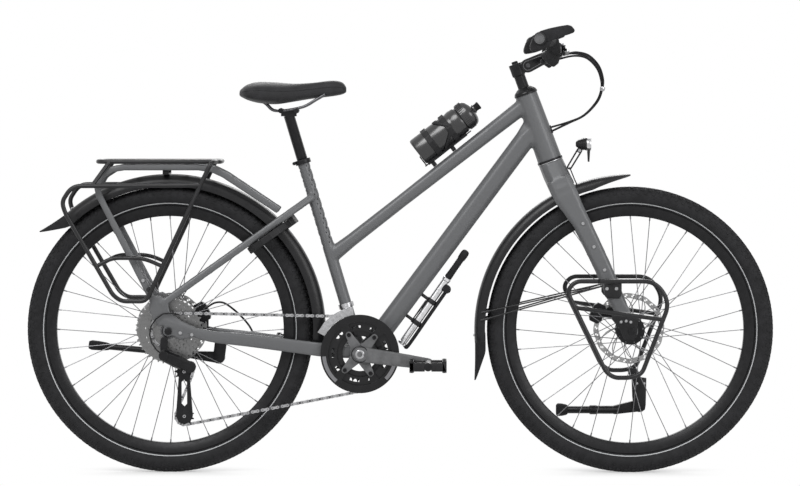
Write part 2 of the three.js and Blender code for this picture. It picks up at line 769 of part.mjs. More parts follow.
// The cage swings until the chain holds an even number of links and is taut.
function tautChain() {
  const restTotal = chainLoop(tensionCentreAt(pulley.restAngle)).total;
  const links = 2 * Math.round(restTotal / chainPitch / 2);
  let [low, high] = [pulley.restAngle - pulley.swing, pulley.restAngle + pulley.swing];
  const excess = (angle) => chainLoop(tensionCentreAt(angle)).total - links * chainPitch;
  const rising = excess(high) > excess(low);
  for (let i = 0; i < 50; i += 1) {
    const middle = (low + high) / 2;
    if ((excess(middle) > 0) === rising) high = middle;
    else low = middle;
  }
  const tensionCentre = tensionCentreAt((low + high) / 2);
  return { links, tensionCentre, loop: chainLoop(tensionCentre) };
}

const drive = tautChain();
const pins = [];
for (let i = 0; i < drive.links; i += 1) {
  pins.push(chainPoint(drive.loop, (i * drive.loop.total) / drive.links));
}

// The angle of a pin that lies on a wheel, so that the teeth stand between the pins.
function seatedPhase(centre, radius) {
  const errors = pins.map((pin) => Math.abs(hypot(pin.x - centre.x, pin.z - centre.z) - radius));
  const onWheel = errors.map((error, i) => [error, i]).filter(([error]) => error < 0.02).map(([, i]) => i);
  const pin = pins[onWheel[Math.floor(onWheel.length / 2)]];
  return atan2(pin.z - centre.z, pin.x - centre.x);
}

function toothedOutline(centre, teeth, phase) {
  const radius = pitchRadius(teeth);
  const points = [];
  for (let i = 0; i < teeth; i += 1) {
    const valley = phase + (2 * PI * i) / teeth;
    const tip = valley + PI / teeth;
    const half = tooth.valleyHalf / radius;
    points.push(onCircle(centre, radius - tooth.rootDepth, valley - half));
    points.push(onCircle(centre, radius - tooth.rootDepth, valley + half));
    points.push(onCircle(centre, radius + tooth.tipHeight, tip));
  }
  return points;
}

// Pins that lie on a toothed wheel, and a few along each free run
function heldPins() {
  const wheels = drive.loop.parts.filter((part) => part.kind === 'arc').map((part) => part.wheel);
  let free = 0;
  return pins.map((pin) => {
    const seated = wheels.some(({ centre, radius }) => (
      hypot(pin.x - centre.x, pin.z - centre.z) < radius + gap
    ));
    free = seated ? 0 : free + 1;
    return seated || free % link.spacing === 1;
  });
}

function chainSolid() {
  const parts = [];
  const middle = (link.innerHalf + link.outerHalf) / 2;
  const held = heldPins();
  const shown = pins.filter((_, i) => held[i]);
  const corners = [
    [1, link.outerHalf], [-1, link.outerHalf], [-1, link.innerHalf], [1, link.innerHalf],
  ];
  for (const side of [1, -1]) {
    const places = [];
    const triangles = [];
    shown.forEach((pin, i) => {
      const place = pins.indexOf(pin);
      const before = pins[(place + pins.length - 1) % pins.length];
      const after = pins[(place + 1) % pins.length];
      const along = new THREE.Vector2(after.x - before.x, after.z - before.z).normalize();
      const rise = link.height / 2;
      for (const [up, out] of corners) {
        places.push(pin.x - along.y * rise * up, chainLine + side * out, pin.z + along.x * rise * up);
      }
      const row = i * 4;
      const next = ((i + 1) % shown.length) * 4;
      for (let k = 0; k < 4; k += 1) {
        const other = (k + 1) % 4;
        triangles.push(row + k, row + other, next + k, row + other, next + other, next + k);
      }
    });
    const geometry = new THREE.BufferGeometry();
    geometry.setAttribute('position', new THREE.BufferAttribute(new Float32Array(places), 3));
    geometry.setIndex(triangles);
    parts.push(closedSolid(geometry));
  }
  const rollers = shown.map((pin) => rod(
    at(pin.x, pin.z, chainLine - middle),
    at(pin.x, pin.z, chainLine + middle),
    roller.radius,
    roller.sides,
  ));
  return join(parts, wasm.Manifold.union(rollers));
}

function cassetteSolid() {
  const seated = seatedPhase(rearAxle, pitchRadius(cassetteTeeth[drivenCog]));
  const cogs = cassetteTeeth.map((teeth, i) => {
    const [low, high] = [cogY(i) - cogThickness / 2, cogY(i) + cogThickness / 2];
    if (i === drivenCog) return plate(toothedOutline(rearAxle, teeth, seated), low, high);
    return drum(pitchRadius(teeth) + tooth.tipHeight, low, high, rearAxle, Math.round(teeth / 4) + 8);
  });
  const last = cassetteTeeth.length - 1;
  const core = drum(
    pitchRadius(cassetteTeeth[last]) - tooth.rootDepth - gap,
    cogY(last) - cogThickness,
    cogY(0) + cogThickness,
    rearAxle,
    8,
  );
  const bore = drum(turningBore(freehubRadius, 8), -halfSpacing * 2, 0, rearAxle, 8);
  return cut(join(cogs, core), bore);
}

function ringWithTabs(outline, inner, y, thickness, tabRadius, tabs) {
  const [low, high] = [y - thickness / 2, y + thickness / 2];
  const rim = cut(plate(outline, low, high), drum(inner, low - overrun, high + overrun, bracket, 20));
  const half = outerRing.tabWidth / 2;
  const ears = tabs.map((angle) => hullPlate(
    onCircle(bracket, inner, angle),
    half * 1.5,
    onCircle(bracket, spider.boltRadius, angle),
    half,
    low,
    high,
    3,
  ));
  const holes = tabs.map((angle) => drum(
    tabRadius,
    low - overrun,
    high + overrun,
    onCircle(bracket, spider.boltRadius, angle),
    6,
  ));
  return cut(join(rim, ears), holes);
}

const spiderOuter = chainLine - link.outerHalf * 1.9 - guard.thickness - gap * 2;
const guardY = spiderOuter + gap + guard.thickness / 2;

function outerRingSolid() {
  const outline = toothedOutline(bracket, outerRingTeeth, seatedPhase(bracket, pitchRadius(outerRingTeeth)));
  return ringWithTabs(
    outline,
    outerRing.innerRadius,
    chainLine,
    outerRing.thickness,
    spider.pinRadius + gap,
    spiderAngles,
  );
}

function guardSolid() {
  const lastAngle = (2 * PI * (wheelSteps - 1)) / wheelSteps;
  const outline = arcPoints(bracket, guard.outerRadius, 0, lastAngle, wheelSteps - 1);
  const hole = spider.pinRadius + gap;
  return ringWithTabs(outline, guard.innerRadius, guardY, guard.thickness, hole, spiderAngles);
}

function hullPlate(centre, radius, end, endRadius, yLow, yHigh, steps = 5) {
  const heading = atan2(end.z - centre.z, end.x - centre.x);
  const outline = [
    ...arcPoints(centre, radius, heading + PI / 2, heading + (3 * PI) / 2, steps),
    ...arcPoints(end, endRadius, heading - PI / 2, heading + PI / 2, steps),
  ];
  return plate(outline, yLow, yHigh);
}

const crankEnd = (side) => onCircle(bracket, side * crankLength, crankAngle);
const armY = { inner: crank.armNear - spiderOuter, outer: crank.armNear - spiderOuter + crank.thickness };
const pedalY = { inner: armY.outer + pedal.standOff, outer: armY.outer + pedal.standOff + pedal.width };

function pedalBore(side) {
  const end = crankEnd(-side);
  const ends = [side * (armY.inner - overrun), side * (armY.outer + overrun)];
  return drum(turningBore(pedal.axleRadius, 10), ...ends, end, 10);
}

function rightCrank() {
  const low = spiderOuter - spider.thickness;
  const arm = hullPlate(bracket, crank.bossRadius, crankEnd(1), crank.endRadius, -armY.outer, -armY.inner);
  const arms = spiderAngles.map((angle) => {
    const end = onCircle(bracket, spider.boltRadius, angle);
    return hullPlate(bracket, spider.armWidth, end, spider.armWidth * 0.45, low, spiderOuter, 3);
  });
  const hub = drum(spider.hubRadius, low - overrun, spiderOuter, bracket, 12);
  const axle = drum(crank.axleRadius, -armY.outer, armY.outer - overrun, bracket, crank.axleSides);
  const pinSet = spiderAngles.map((angle) => drum(
    spider.pinRadius,
    low - overrun / 2,
    innerRing.y,
    onCircle(bracket, spider.boltRadius, angle),
    6,
  ));
  const ringHalf = innerRing.thickness / 2;
  const innerTop = pitchRadius(innerRingTeeth) + tooth.tipHeight;
  const faces = [innerRing.y - ringHalf, innerRing.y + ringHalf];
  const small = ring(innerRing.innerRadius, innerTop, ...faces, bracket, 20);
  return cut(join(arm, arms, hub, axle, pinSet, small), pedalBore(-1));
}

function leftCrank() {
  const arm = hullPlate(bracket, crank.bossRadius, crankEnd(-1), crank.endRadius, armY.inner, armY.outer);
  const bore = drum(crank.axleRadius + gap, 0, armY.outer * 2, bracket, crank.axleSides);
  return cut(arm, bore, pedalBore(1));
}

function pedalSolid(side) {
  const centre = crankEnd(-side);
  const range = (from, to) => (side > 0 ? [from, to] : [-to, -from]);
  const box = (x0, x1, z0, z1, yRange) => plate([
    at(centre.x + x0 * pedal.length, centre.z + z0 * pedal.height),
    at(centre.x + x1 * pedal.length, centre.z + z0 * pedal.height),
    at(centre.x + x1 * pedal.length, centre.z + z1 * pedal.height),
    at(centre.x + x0 * pedal.length, centre.z + z1 * pedal.height),
  ], ...yRange);
  const axle = drum(pedal.axleRadius, ...range(armY.inner + gap, pedalY.outer - overrun), centre, 10);
  const barrel = drum(pedal.height * 0.34, ...range(pedalY.inner, pedalY.outer), centre, 8);
  const cage = [[-0.5, -0.2], [0.2, 0.5]].map(([x0, x1]) => {
    const outerBar = [x0 === -0.5 ? -0.5 : 0.38, x0 === -0.5 ? -0.38 : 0.5];
    return join(
      box(outerBar[0], outerBar[1], -0.42, 0.42, range(pedalY.inner, pedalY.outer)),
      box(x0, x1, -0.42, 0.42, range(pedalY.inner, pedalY.inner + pedal.width * 0.14)),
      box(x0, x1, -0.42, 0.42, range(pedalY.outer - pedal.width * 0.14, pedalY.outer)),
    );
  });
  const sleeves = [0, 0.86].map((share) => box(
    -0.3,
    0.3,
    -0.24,
    0.24,
    range(pedalY.inner + share * pedal.width, pedalY.inner + (share + 0.14) * pedal.width),
  ));
  return join(axle, barrel, cage, sleeves);
}

function bottomBracketSolid() {
  const half = bracketShell.halfWidth;
  const flange = bracketShell.flange;
  const flangeRadius = bracketShell.radius - 1;
  const bore = turningBore(crank.axleRadius, crank.axleSides);
  return turned([
    [bore, -half - flange], [flangeRadius, -half - flange], [flangeRadius, -half - gap],
    [bracketShell.bore - gap, -half - gap], [bracketShell.bore - gap, half + gap],
    [flangeRadius, half + gap], [flangeRadius, half + flange], [bore, half + flange],
  ], at(bracket.x, bracket.z), lateral, crank.axleSides);
}

// Derailleurs

const cagePlate = { inner: link.outerHalf + 0.9, thickness: 1.6, topRadius: 13, lowRadius: 21, slot: 7 };
const knuckle = { radius: 15, near: 57.5, far: 76, pin: 4.5 };
const hanger = { behind: 10, below: 22, foot: 60, radius: 9, near: 78.3, far: 84, bodyFar: 101 };
const cableRadius = 2.4;

// Points along the gear cable's loop: ahead of and above the rear axle, then out from the hanger's inner face.
const cableLoopPoints = [
  [30, 42, 4.8], [-8, 46, 7.2], [-40, 18, 8.1], [-44, -18, 10.5], [-28, -46, 10.5], [-10, -60, 10.5],
];

const rangeOfY = (side, from, to) => (side > 0 ? [from, to] : [-to, -from]);

function cageSolid() {
  const faces = [
    [chainLine - cagePlate.inner - cagePlate.thickness, chainLine - cagePlate.inner],
    [chainLine + cagePlate.inner, chainLine + cagePlate.inner + cagePlate.thickness],
  ];
  const tension = drive.tensionCentre;
  const upper = mix(at(guideCentre.x, guideCentre.z), at(tension.x, tension.z), 0.24);
  const lower = mix(at(guideCentre.x, guideCentre.z), at(tension.x, tension.z), 0.72);
  const plates = faces.map(([low, high], i) => {
    const body = hullPlate(guideCentre, cagePlate.topRadius, tension, cagePlate.lowRadius, low, high, 4);
    const neckEnd = derailleurPivot.radius;
    const neck = hullPlate(guideCentre, cagePlate.topRadius, pivotCentre, neckEnd, low, high, 3);
    const opening = hullPlate(upper, cagePlate.slot, lower, cagePlate.slot, low - overrun, high + overrun, 2);
    return cut(i === 0 ? join(body, neck) : body, opening);
  });
  const bolts = [guideCentre, tension].map((centre) => drum(
    turningPin(pulley.bore),
    faces[0][0] - overrun / 2,
    faces[1][1] + overrun / 2,
    centre,
    pinSides,
  ));
  const pin = drum(knuckle.pin, -knuckle.far + overrun * 2, faces[0][1], pivotCentre, 8);
  const collar = drum(derailleurPivot.radius, -knuckle.near + gap, faces[0][1], pivotCentre, 8);
  return join(plates, bolts, pin, collar);
}

function pulleySolid(centre) {
  const outline = toothedOutline(centre, pulleyTeeth, seatedPhase(centre, pulleyRadius));
  const half = pulley.thickness / 2;
  const hub = drum(pulley.bore * 2, chainLine - link.outerHalf, chainLine + link.outerHalf, centre, 8);
  const bore = drum(pulley.bore, chainLine - halfSpacing, chainLine + halfSpacing, centre, pinSides);
  return cut(join(plate(outline, chainLine - half, chainLine + half), hub), bore);
}

function rearDerailleurSolid() {
  const bolt = { x: rearAxle.x - hanger.behind, z: rearAxle.z - hanger.below };
  const foot = { x: bolt.x, z: rearAxle.z - hanger.foot };
  const arm = hullPlate(bolt, hanger.radius, foot, hanger.radius, -hanger.far, -hanger.near);
  const head = drum(hanger.radius * 1.4, -hanger.bodyFar, -hanger.far + gap, foot, 10);
  const linkEnd = at(pivotCentre.x, pivotCentre.z, -(knuckle.near + knuckle.far) / 2);
  const linkStart = at(foot.x, foot.z, hanger.radius - hanger.bodyFar);
  const linkMiddle = mix(linkStart, linkEnd, 0.5).add(at(0, 0, -knuckle.pin));
  const body = loft([
    { at: linkStart, along: at(1, -0.2, 0.2), up: knuckle.radius, side: knuckle.radius * 0.6 },
    { at: linkMiddle, along: at(1, -0.4, 0.4), up: knuckle.radius * 1.13, side: knuckle.radius * 0.66 },
    { at: linkEnd, along: at(1, -0.2, 0.2), up: knuckle.radius * 0.93, side: knuckle.radius * 0.6 },
  ], 6, 0.6);
  const end = drum(knuckle.radius, -knuckle.far, -knuckle.near, pivotCentre, 12);
  const bore = drum(turningBore(knuckle.pin, 8), -knuckle.far + overrun, 0, pivotCentre, 8);
  const loop = cord(cableLoopPoints.map(([ahead, above, out]) => at(
    rearAxle.x + ahead,
    rearAxle.z + above,
    -hanger.near - out,
  )), cableRadius, 8);
  return cut(join(arm, head, body, end, loop), bore);
}

const frontMech = {
  along: 118, bandHeight: 12, wall: 3, reach: 119, low: 99.5, start: 99, end: 153, plate: 1.5, half: 5.6,
  crownFrom: 101, crownTo: 114,
};

function frontDerailleurSolid() {
  const outerCurve = arcPoints(bracket, frontMech.reach, frontMech.start * degree, frontMech.end * degree, 4);
  const innerCurve = arcPoints(bracket, frontMech.low, frontMech.end * degree, frontMech.start * degree, 4);
  const outline = [...outerCurve, ...innerCurve];
  const outerSheet = plate(outline, chainLine - frontMech.half - frontMech.plate, chainLine - frontMech.half);
  const innerSheet = plate(outline, chainLine + frontMech.half, chainLine + frontMech.half + frontMech.plate);
  const crownLow = frontMech.reach - frontMech.plate * 2;
  const crown = plate([
    ...arcPoints(bracket, frontMech.reach, frontMech.crownFrom * degree, frontMech.crownTo * degree, 2),
    ...arcPoints(bracket, crownLow, frontMech.crownTo * degree, frontMech.crownFrom * degree, 2),
  ], chainLine - frontMech.half - frontMech.plate, -seatTube.radius + gap);
  const heel = drum(
    frontMech.plate * 1.6,
    chainLine - frontMech.half,
    chainLine + frontMech.half,
    onCircle(bracket, frontMech.reach - frontMech.plate * 3, (frontMech.end - 2) * degree),
    6,
  );
  const inner = seatTube.radius + gap;
  const band = turned([
    [inner, 0], [inner + frontMech.wall, 0], [inner + frontMech.wall, frontMech.bandHeight],
    [inner, frontMech.bandHeight],
  ], seatLine(frontMech.along), seatUp, 10);
  const tubeSpace = rod(seatLine(0), seatLine(seatTube.length), inner, 10);
  return cut(join(outerSheet, innerSheet, crown, heel, band), tubeSpace);
}

// Brakes and stands

const caliper = {
  length: 50, depth: 34, near: 36, far: 60, slot: 2.2, rearAngle: 28 * degree, frontAngle: 154 * degree,
  mountWidth: 26, mountNear: 52,
};

function caliperSolid(axle, angle, mount) {
  const centre = onCircle(axle, rotor.radius * 0.98, angle);
  const heading = angle + PI / 2;
  const corner = (u, w) => at(
    centre.x + u * caliper.length * cos(heading) + w * caliper.depth * cos(angle),
    centre.z + u * caliper.length * sin(heading) + w * caliper.depth * sin(angle),
  );
  const outline = [
    corner(-0.5, -0.3), corner(-0.3, -0.5), corner(0.3, -0.5), corner(0.5, -0.3),
    corner(0.5, 0.3), corner(0.3, 0.5), corner(-0.3, 0.5), corner(-0.5, 0.3),
  ];
  const block = plate(outline, caliper.near, caliper.far);
  const slot = drum(
    rotor.radius + overrun,
    rotor.offset - caliper.slot,
    rotor.offset + rotor.thickness / 2 + caliper.slot,
    axle,
    24,
  );
  return cut(join(block, mount), slot);
}

// Feet that carry the calipers on the left chainstay and on the left blade
function rearCaliperMount() {
  const centre = onCircle(rearAxle, rotor.radius, caliper.rearAngle);
  const half = caliper.mountWidth / 2;
  return cut(plate([
    at(centre.x - half, centre.z), at(centre.x + half, centre.z),
    at(centre.x + half, centre.z - caliper.depth * 1.9), at(centre.x - half, centre.z - caliper.depth * 1.9),
  ], caliper.mountNear, halfSpacing), chainStaySolid(1, gap * 2));
}

function frontCaliperMount() {
  const centre = onCircle(frontAxle, rotor.radius, caliper.frontAngle);
  const half = caliper.mountWidth / 2;
  return cut(plate([
    at(centre.x, centre.z - half), at(centre.x + caliper.length, centre.z - half),
    at(centre.x + caliper.length, centre.z + half), at(centre.x, centre.z + half),
  ], caliper.near * 1.25, caliper.mountNear), bladeSolid(1, gap));
}

const rearStand = {
  ahead: 118, below: 77, radius: 15, near: 59, far: 74, legFar: 92, pin: 5, length: 332, tubeRadius: 7.3,
};
const rearPivot = { x: rearAxle.x + rearStand.ahead, z: rearAxle.z - rearStand.below };
const standFoot = { radius: 10, length: 32 };

function rearStandBracket() {
  const { radius, near, far } = rearStand;
  const top = { x: rearPivot.x + radius * 0.4, z: rearAxle.z - radius * 2.1 };
  const body = hullPlate(top, radius, rearPivot, radius, near, far, 5);
  const pin = drum(rearStand.pin, rearStand.far - overrun, rearStand.legFar + overrun, rearPivot, 6);
  return cut(join(body, pin), chainStaySolid(1, gap * 2));
}

function rearStandLeg() {
  const middle = (rearStand.far + rearStand.legFar) / 2;
  const tip = at(rearPivot.x - rearStand.length, rearPivot.z + rearStand.length * 0.096, middle);
  const head = { x: rearPivot.x - rearStand.length * 0.2, z: rearPivot.z + rearStand.radius * 0.1 };
  const cheek = hullPlate(
    rearPivot,
    rearStand.radius,
    head,
    rearStand.radius * 0.75,
    rearStand.far + gap,
    rearStand.legFar,
    5,
  );
  const start = at(rearPivot.x - rearStand.length * 0.15, rearPivot.z + rearStand.radius * 0.2, middle);
  const shaft = rod(start, tip, rearStand.tubeRadius, 8);
  const foot = rod(mix(start, tip, 0.92), tip, standFoot.radius * 0.75, 8, standFoot.radius);
  const socket = rod(mix(start, tip, 0.76), mix(start, tip, 0.8), rearStand.tubeRadius * 1.25, 8);
  const boreEnd = rearStand.legFar + overrun * 2;
  const bore = drum(turningBore(rearStand.pin), rearStand.near, boreEnd, rearPivot, pinSides);
  return cut(join(cheek, shaft, foot, socket), bore);
}

// Ring lock, in the plane under the seat stays

const lock = {
  placeShare: 0.675, radius: 67, height: 17, thickness: 15, blockHalf: 24,
  shackle: 4.6, openHalf: 36, shackleSweep: 88, shackleFrom: 56, steps: 6, tab: 15,
};

function lockFrame() {
  const [top, , , end] = seatStayPoints(1);
  const along = at(top.x - end.x, top.z - end.z).normalize();
  const stayLength = hypot(top.x - end.x, top.z - end.z);
  const centre = at(end.x, end.z).addScaledVector(along, stayLength * lock.placeShare);
  const outward = new THREE.Vector3().crossVectors(along, lateral);
  centre.addScaledVector(outward, -(stay.depth + lock.height) / 2 - gap);
  return new THREE.Matrix4().makeBasis(along, lateral, outward).setPosition(centre);
}

const lockMatrix = lockFrame();
const lockPoint = (radius, angle, height = 0) => new THREE.Vector3(
  radius * cos(angle * degree),
  radius * sin(angle * degree),
  height,
).applyMatrix4(lockMatrix);

function lockArc(radius, from, to, steps) {
  const stations = [];
  for (let i = 0; i <= steps; i += 1) stations.push(lockPoint(radius, from + ((to - from) * i) / steps));
  return stations;
}

function lockBar(from, to, steps, height, thickness, radius = lock.radius) {
  const stations = lockArc(radius, from, to, steps);
  const normal = lockPoint(0, 0, 1).sub(lockPoint(0, 0, 0));
  return loft(sectionsAlong(
    stations,
    stations.map(() => thickness / 2),
    stations.map(() => height / 2),
  ), 4, 0, normal);
}

function lockSolid() {
  const limit = 180 - lock.openHalf;
  const body = lockBar(-limit, limit, 14, lock.height, lock.thickness);
  const blockRadius = lock.radius + lock.thickness * 0.35;
  const half = lock.blockHalf;
  const block = lockBar(-half, half, 2, lock.height * 1.3, lock.thickness * 1.7, blockRadius);
  const step = lock.shackleSweep / lock.steps;
  const from = lock.shackleFrom - step;
  const bulge = lock.radius * (1 - cos((lock.shackleSweep / lock.steps / 2) * degree));
  const bore = polygon(5, lock.shackle + gap * 2 + bulge * 2);
  const channel = sweep(lockArc(lock.radius, from, from + step * (lock.steps + 2), lock.steps + 2), bore);
  const farEdge = limit + lock.openHalf * 2;
  const socket = sweep(lockArc(lock.radius, farEdge - step, farEdge + step * 2, 3), bore);
  const slotRadius = lock.radius + lock.thickness;
  const slot = lockBar(from, limit + step, 6, lock.shackle * 1.4, lock.thickness * 2, slotRadius);
  return cut(join(body, block), channel, socket, slot);
}

function shackleSolid() {
  const from = lock.shackleFrom;
  const stations = lockArc(lock.radius, from, from + lock.shackleSweep, lock.steps);
  const arc = sweep(stations, polygon(5, lock.shackle));
  const tab = lockBar(from + 1, from + 8, 1, lock.shackle, lock.tab, lock.radius + lock.tab / 2);
  return join(arc, tab);
}

// Mudguards

const mudguard = { outerRadius: 392, skirtRadius: 369, halfWidth: 30, wall: 1.8, wire: 2.2 };
const rearGuardArc = { from: -5, to: 132, flapTo: 143 };
const frontGuardArc = { from: 90, to: 185, flapTo: 198 };

function guardSection() {
  const half = mudguard.halfWidth;
  const skirt = mudguard.skirtRadius;
  const crown = mudguard.outerRadius;
  const rise = crown - skirt;
  const outside = [[-1, 0], [-0.86, 0.6], [-0.32, 1], [0.32, 1], [0.86, 0.6], [1, 0]];
  const points = outside.map(([across, up]) => new THREE.Vector2(across * half, skirt + up * rise));
  const inside = outside.slice().reverse().map(([across, up]) => new THREE.Vector2(
    across * (half - mudguard.wall),
    skirt + up * (rise - mudguard.wall),
  ));
  return [...points, ...inside];
}

// The route lies midway up the section, which stands outward from it.
function guardSweep(axle, from, to, steps) {
  const base = (mudguard.skirtRadius + mudguard.outerRadius) / 2;
  const stations = arcPoints(axle, base, from * degree, to * degree, steps);
  const section = guardSection().map((point) => new THREE.Vector2(point.x, point.y - base));
  return sweep(stations, section);
}

function guardFlap(axle, from, to) {
  const half = mudguard.halfWidth;
  const inner = mudguard.outerRadius - mudguard.wall * 2;
  const steps = [0, 0.5, 1].map((share) => from + (to - from) * share);
  const stations = steps.map((angle, i) => onCircle(axle, inner + i * i * mudguard.wall, angle * degree));
  return loft(sectionsAlong(
    stations,
    stations.map(() => mudguard.wall / 2),
    stations.map((_, i) => half * (1 - i * 0.06)),
  ), 4, 0);
}

const railTop = rearAxle.z + carrierRailShares[1][1] * tyreRadius + carrierRail.height / 2;
const railInner = carrierRailShares[1][2] * halfSpacing - carrierRail.width / 2;

function rearMudguardSolid() {
  const arch = guardSweep(rearAxle, rearGuardArc.from, rearGuardArc.to, 12);
  const flap = guardFlap(rearAxle, rearGuardArc.to - 1, rearGuardArc.flapTo);
  const half = railInner - gap;
  const low = rearAxle.z + mudguard.outerRadius - mudguard.wall;
  const strapLength = mudguard.halfWidth * 0.5;
  const earTop = railTop - carrierRail.height * 0.4;
  const strap = plate([
    at(rearAxle.x - strapLength, low), at(rearAxle.x, low),
    at(rearAxle.x, low + mudguard.wall * 2), at(rearAxle.x - strapLength, low + mudguard.wall * 2),
  ], -half, half);
  const ears = mirrored((side) => plate([
    at(rearAxle.x - strapLength, low), at(rearAxle.x, low),
    at(rearAxle.x, earTop), at(rearAxle.x - strapLength, earTop),
  ], ...rangeOfY(side, half - mudguard.wall, half)));
  return join(arch, flap, strap, ears);
}

// Fork

// Rows: share of the crown height, ahead of the steering axis as a share of the rake, half depth as a share
// of the blade's depth, centre line's spread as a share of the half spacing.
const blade = { depth: 45, width: 19, endRadius: 18, thickness: 13 };
const bladeShares = [
  [0.9, 0.05, 0.72, 0.62],
  [0.8, 0.14, 0.74, 0.74],
  [0.7, 0.32, 0.6, 0.78],
  [0.63, 0.47, 0.53, 0.81],
  [0.49, 0.63, 0.5, 0.87],
  [0.36, 0.76, 0.48, 0.94],
  [0.2, 0.84, 0.46, 1.04],
  [0.07, 0.93, 0.42, 1.12],
];
const steerer = { radius: 14.3, lowRadius: 18.5, lowLength: 30 };
const headTop = crownHeight + headTube.length;

const bladeMiddle = forkSpacing / 2 + blade.thickness / 2;
const bladePoint = ([up, ahead, , spread], side) => steered(
  ahead * forkRake,
  up * crownHeight,
  side * spread * bladeMiddle * 0.9,
);

// Rows: share of the crown height, ahead as a share of the rake, half depth and half width as shares of the
// head tube's lower radius.
const crownShares = [[1, 0, 1, 1], [0.93, 0.04, 1.04, 1.27], [0.85, 0.12, 1.06, 1.59], [0.79, 0.16, 1, 1.62]];

const bladeSolid = (side, extra = 0) => loft(sectionsAlong(
  bladeShares.map((row) => bladePoint(row, side)),
  bladeShares.map(([, , depth]) => depth * blade.depth + extra),
  bladeShares.map(() => blade.width / 2 + extra),
), 6, 0.7);

function forkSolid() {
  const crown = loft(crownShares.map(([up, ahead, depth, half]) => ({
    at: steered(ahead * forkRake, up * crownHeight - gap),
    along: steeringUp,
    up: depth * headTube.lowRadius,
    side: half * headTube.lowRadius,
  })), 10, 0.8);
  const blades = mirrored((side) => bladeSolid(side));
  const ends = mirrored((side) => {
    const top = steered(forkRake * 0.93, crownHeight * 0.12);
    return hullPlate(
      { x: top.x, z: top.z },
      blade.endRadius,
      frontAxle,
      blade.endRadius,
      ...rangeOfY(side, forkSpacing / 2, forkSpacing / 2 + blade.thickness),
      4,
    );
  });
  const lowEnd = steered(0, crownHeight + steerer.lowLength);
  const low = rod(steered(0, crownHeight - overrun), lowEnd, steerer.lowRadius, 10);
  const shaft = rod(steered(0, crownHeight), steered(0, headTop), steerer.radius, 10);
  const halfSpace = mudguard.halfWidth + gap * 4;
  const wheelSpace = drum(mudguard.outerRadius * 1.014, -halfSpace, halfSpace, frontAxle, 20);
  const bores = drum(axlePin.radius + gap, -forkSpacing, forkSpacing, frontAxle, 8);
  return cut(join(crown, blades, ends, low, shaft), wheelSpace, bores);
}

// Front mudguard with the lamp bracket, both held by the crown bolt

function frontMudguardSolid() {
  const arch = guardSweep(frontAxle, frontGuardArc.from, frontGuardArc.to, 9);
  const flap = guardFlap(frontAxle, frontGuardArc.to - 1, frontGuardArc.flapTo);
  const wires = mirrored((side) => [frontGuardArc.to - 7, frontGuardArc.to - 15].map((angle) => {
    const inner = mudguard.halfWidth - mudguard.wall / 2;
    const end = onCircle(frontAxle, mudguard.skirtRadius + mudguard.wire, angle * degree, side * inner);
    return rod(end, bladePoint(bladeShares[5], side), mudguard.wire, wireSides);
  })).flat();
  return join(arch, flap, cut(join(wires), mirrored((side) => bladeSolid(side, gap))));
}

// Front carriers

const lowRider = {
  spread: 120, tube: 5.2, bend: 26, width: 255, height: 240, plate: 4, padSize: 44, padBehind: 8,
};
const lowRiderLow = { x: frontAxle.x - 163, z: frontAxle.z - 112 };
const lowRiderShares = [
  [0.3, 1], [0.86, 1], [1, 0.78], [0.73, 0.04], [0.62, 0], [0.46, 0], [0.38, 0.06], [0.06, 0.76], [0, 0.9],
  [0.08, 1], [0.32, 1],
];

function lowRiderPoint([along, up], y) {
  return at(lowRiderLow.x + along * lowRider.width, lowRiderLow.z + up * lowRider.height, y);
}

function lowRiderSolid(side) {
  const y = side * lowRider.spread;
  const corners = lowRiderShares.map((share) => lowRiderPoint(share, y));
  const loop = tube(corners, lowRider.tube, lowRider.bend, wireSides, 1);
  const cross = rod(lowRiderPoint([0.06, 0.73], y), lowRiderPoint([0.95, 0.6], y), lowRider.tube, 5);
  const bladeOuter = bladePoint(bladeShares[6], 1);
  const padNear = bladeOuter.y + blade.width / 2 - lowRider.plate;
  const padFar = padNear + lowRider.plate * 2;
  const centre = { x: bladeOuter.x - lowRider.padBehind, z: lowRiderLow.z + lowRider.height * 0.92 };
  const shape = [[-0.5, 0.4], [0.5, 0.4], [0.5, -0.4], [0.35, -0.6], [-0.35, -0.6], [-0.5, -0.4]];
  const pad = cut(plate(
    shape.map(([u, w]) => at(centre.x + u * lowRider.padSize, centre.z + w * lowRider.padSize)),
    ...rangeOfY(side, padNear, padFar),
  ), bladeSolid(side, gap));
  const top = lowRiderLow.z + lowRider.height;
  const arms = [-0.3, 0.3].map((u) => rod(
    at(centre.x + u * lowRider.padSize, top, side * (padFar - lowRider.plate / 2)),
    at(centre.x + u * lowRider.padSize, top, y),
    lowRider.tube * 0.8,
    5,
  ));
  const solid = join(loop, cross, pad, arms);
  return side > 0 ? join(solid, frontStandMount()) : solid;
}

const frontStand = {
  radius: 13, near: 105, far: 118, legNear: 118.3, legFar: 133, pin: 4, length: 205, tubeRadius: 9,
};
const frontPivot = { x: lowRiderLow.x + lowRider.width * 0.755, z: lowRiderLow.z - lowRider.height * 0.38 };

function frontStandMount() {
  const top = { x: lowRiderLow.x + lowRider.width * 0.66, z: lowRiderLow.z - lowRider.tube };
  const { radius, near, far } = frontStand;
  const arm = hullPlate(top, radius, frontPivot, radius, near, far, 5);
  const clampBlock = drum(frontStand.radius, frontStand.near, lowRider.spread + lowRider.tube * 1.6, top, 8);
  const pin = drum(frontStand.pin, frontStand.far - overrun, frontStand.legFar + overrun, frontPivot, 6);
  return join(arm, clampBlock, pin);
}

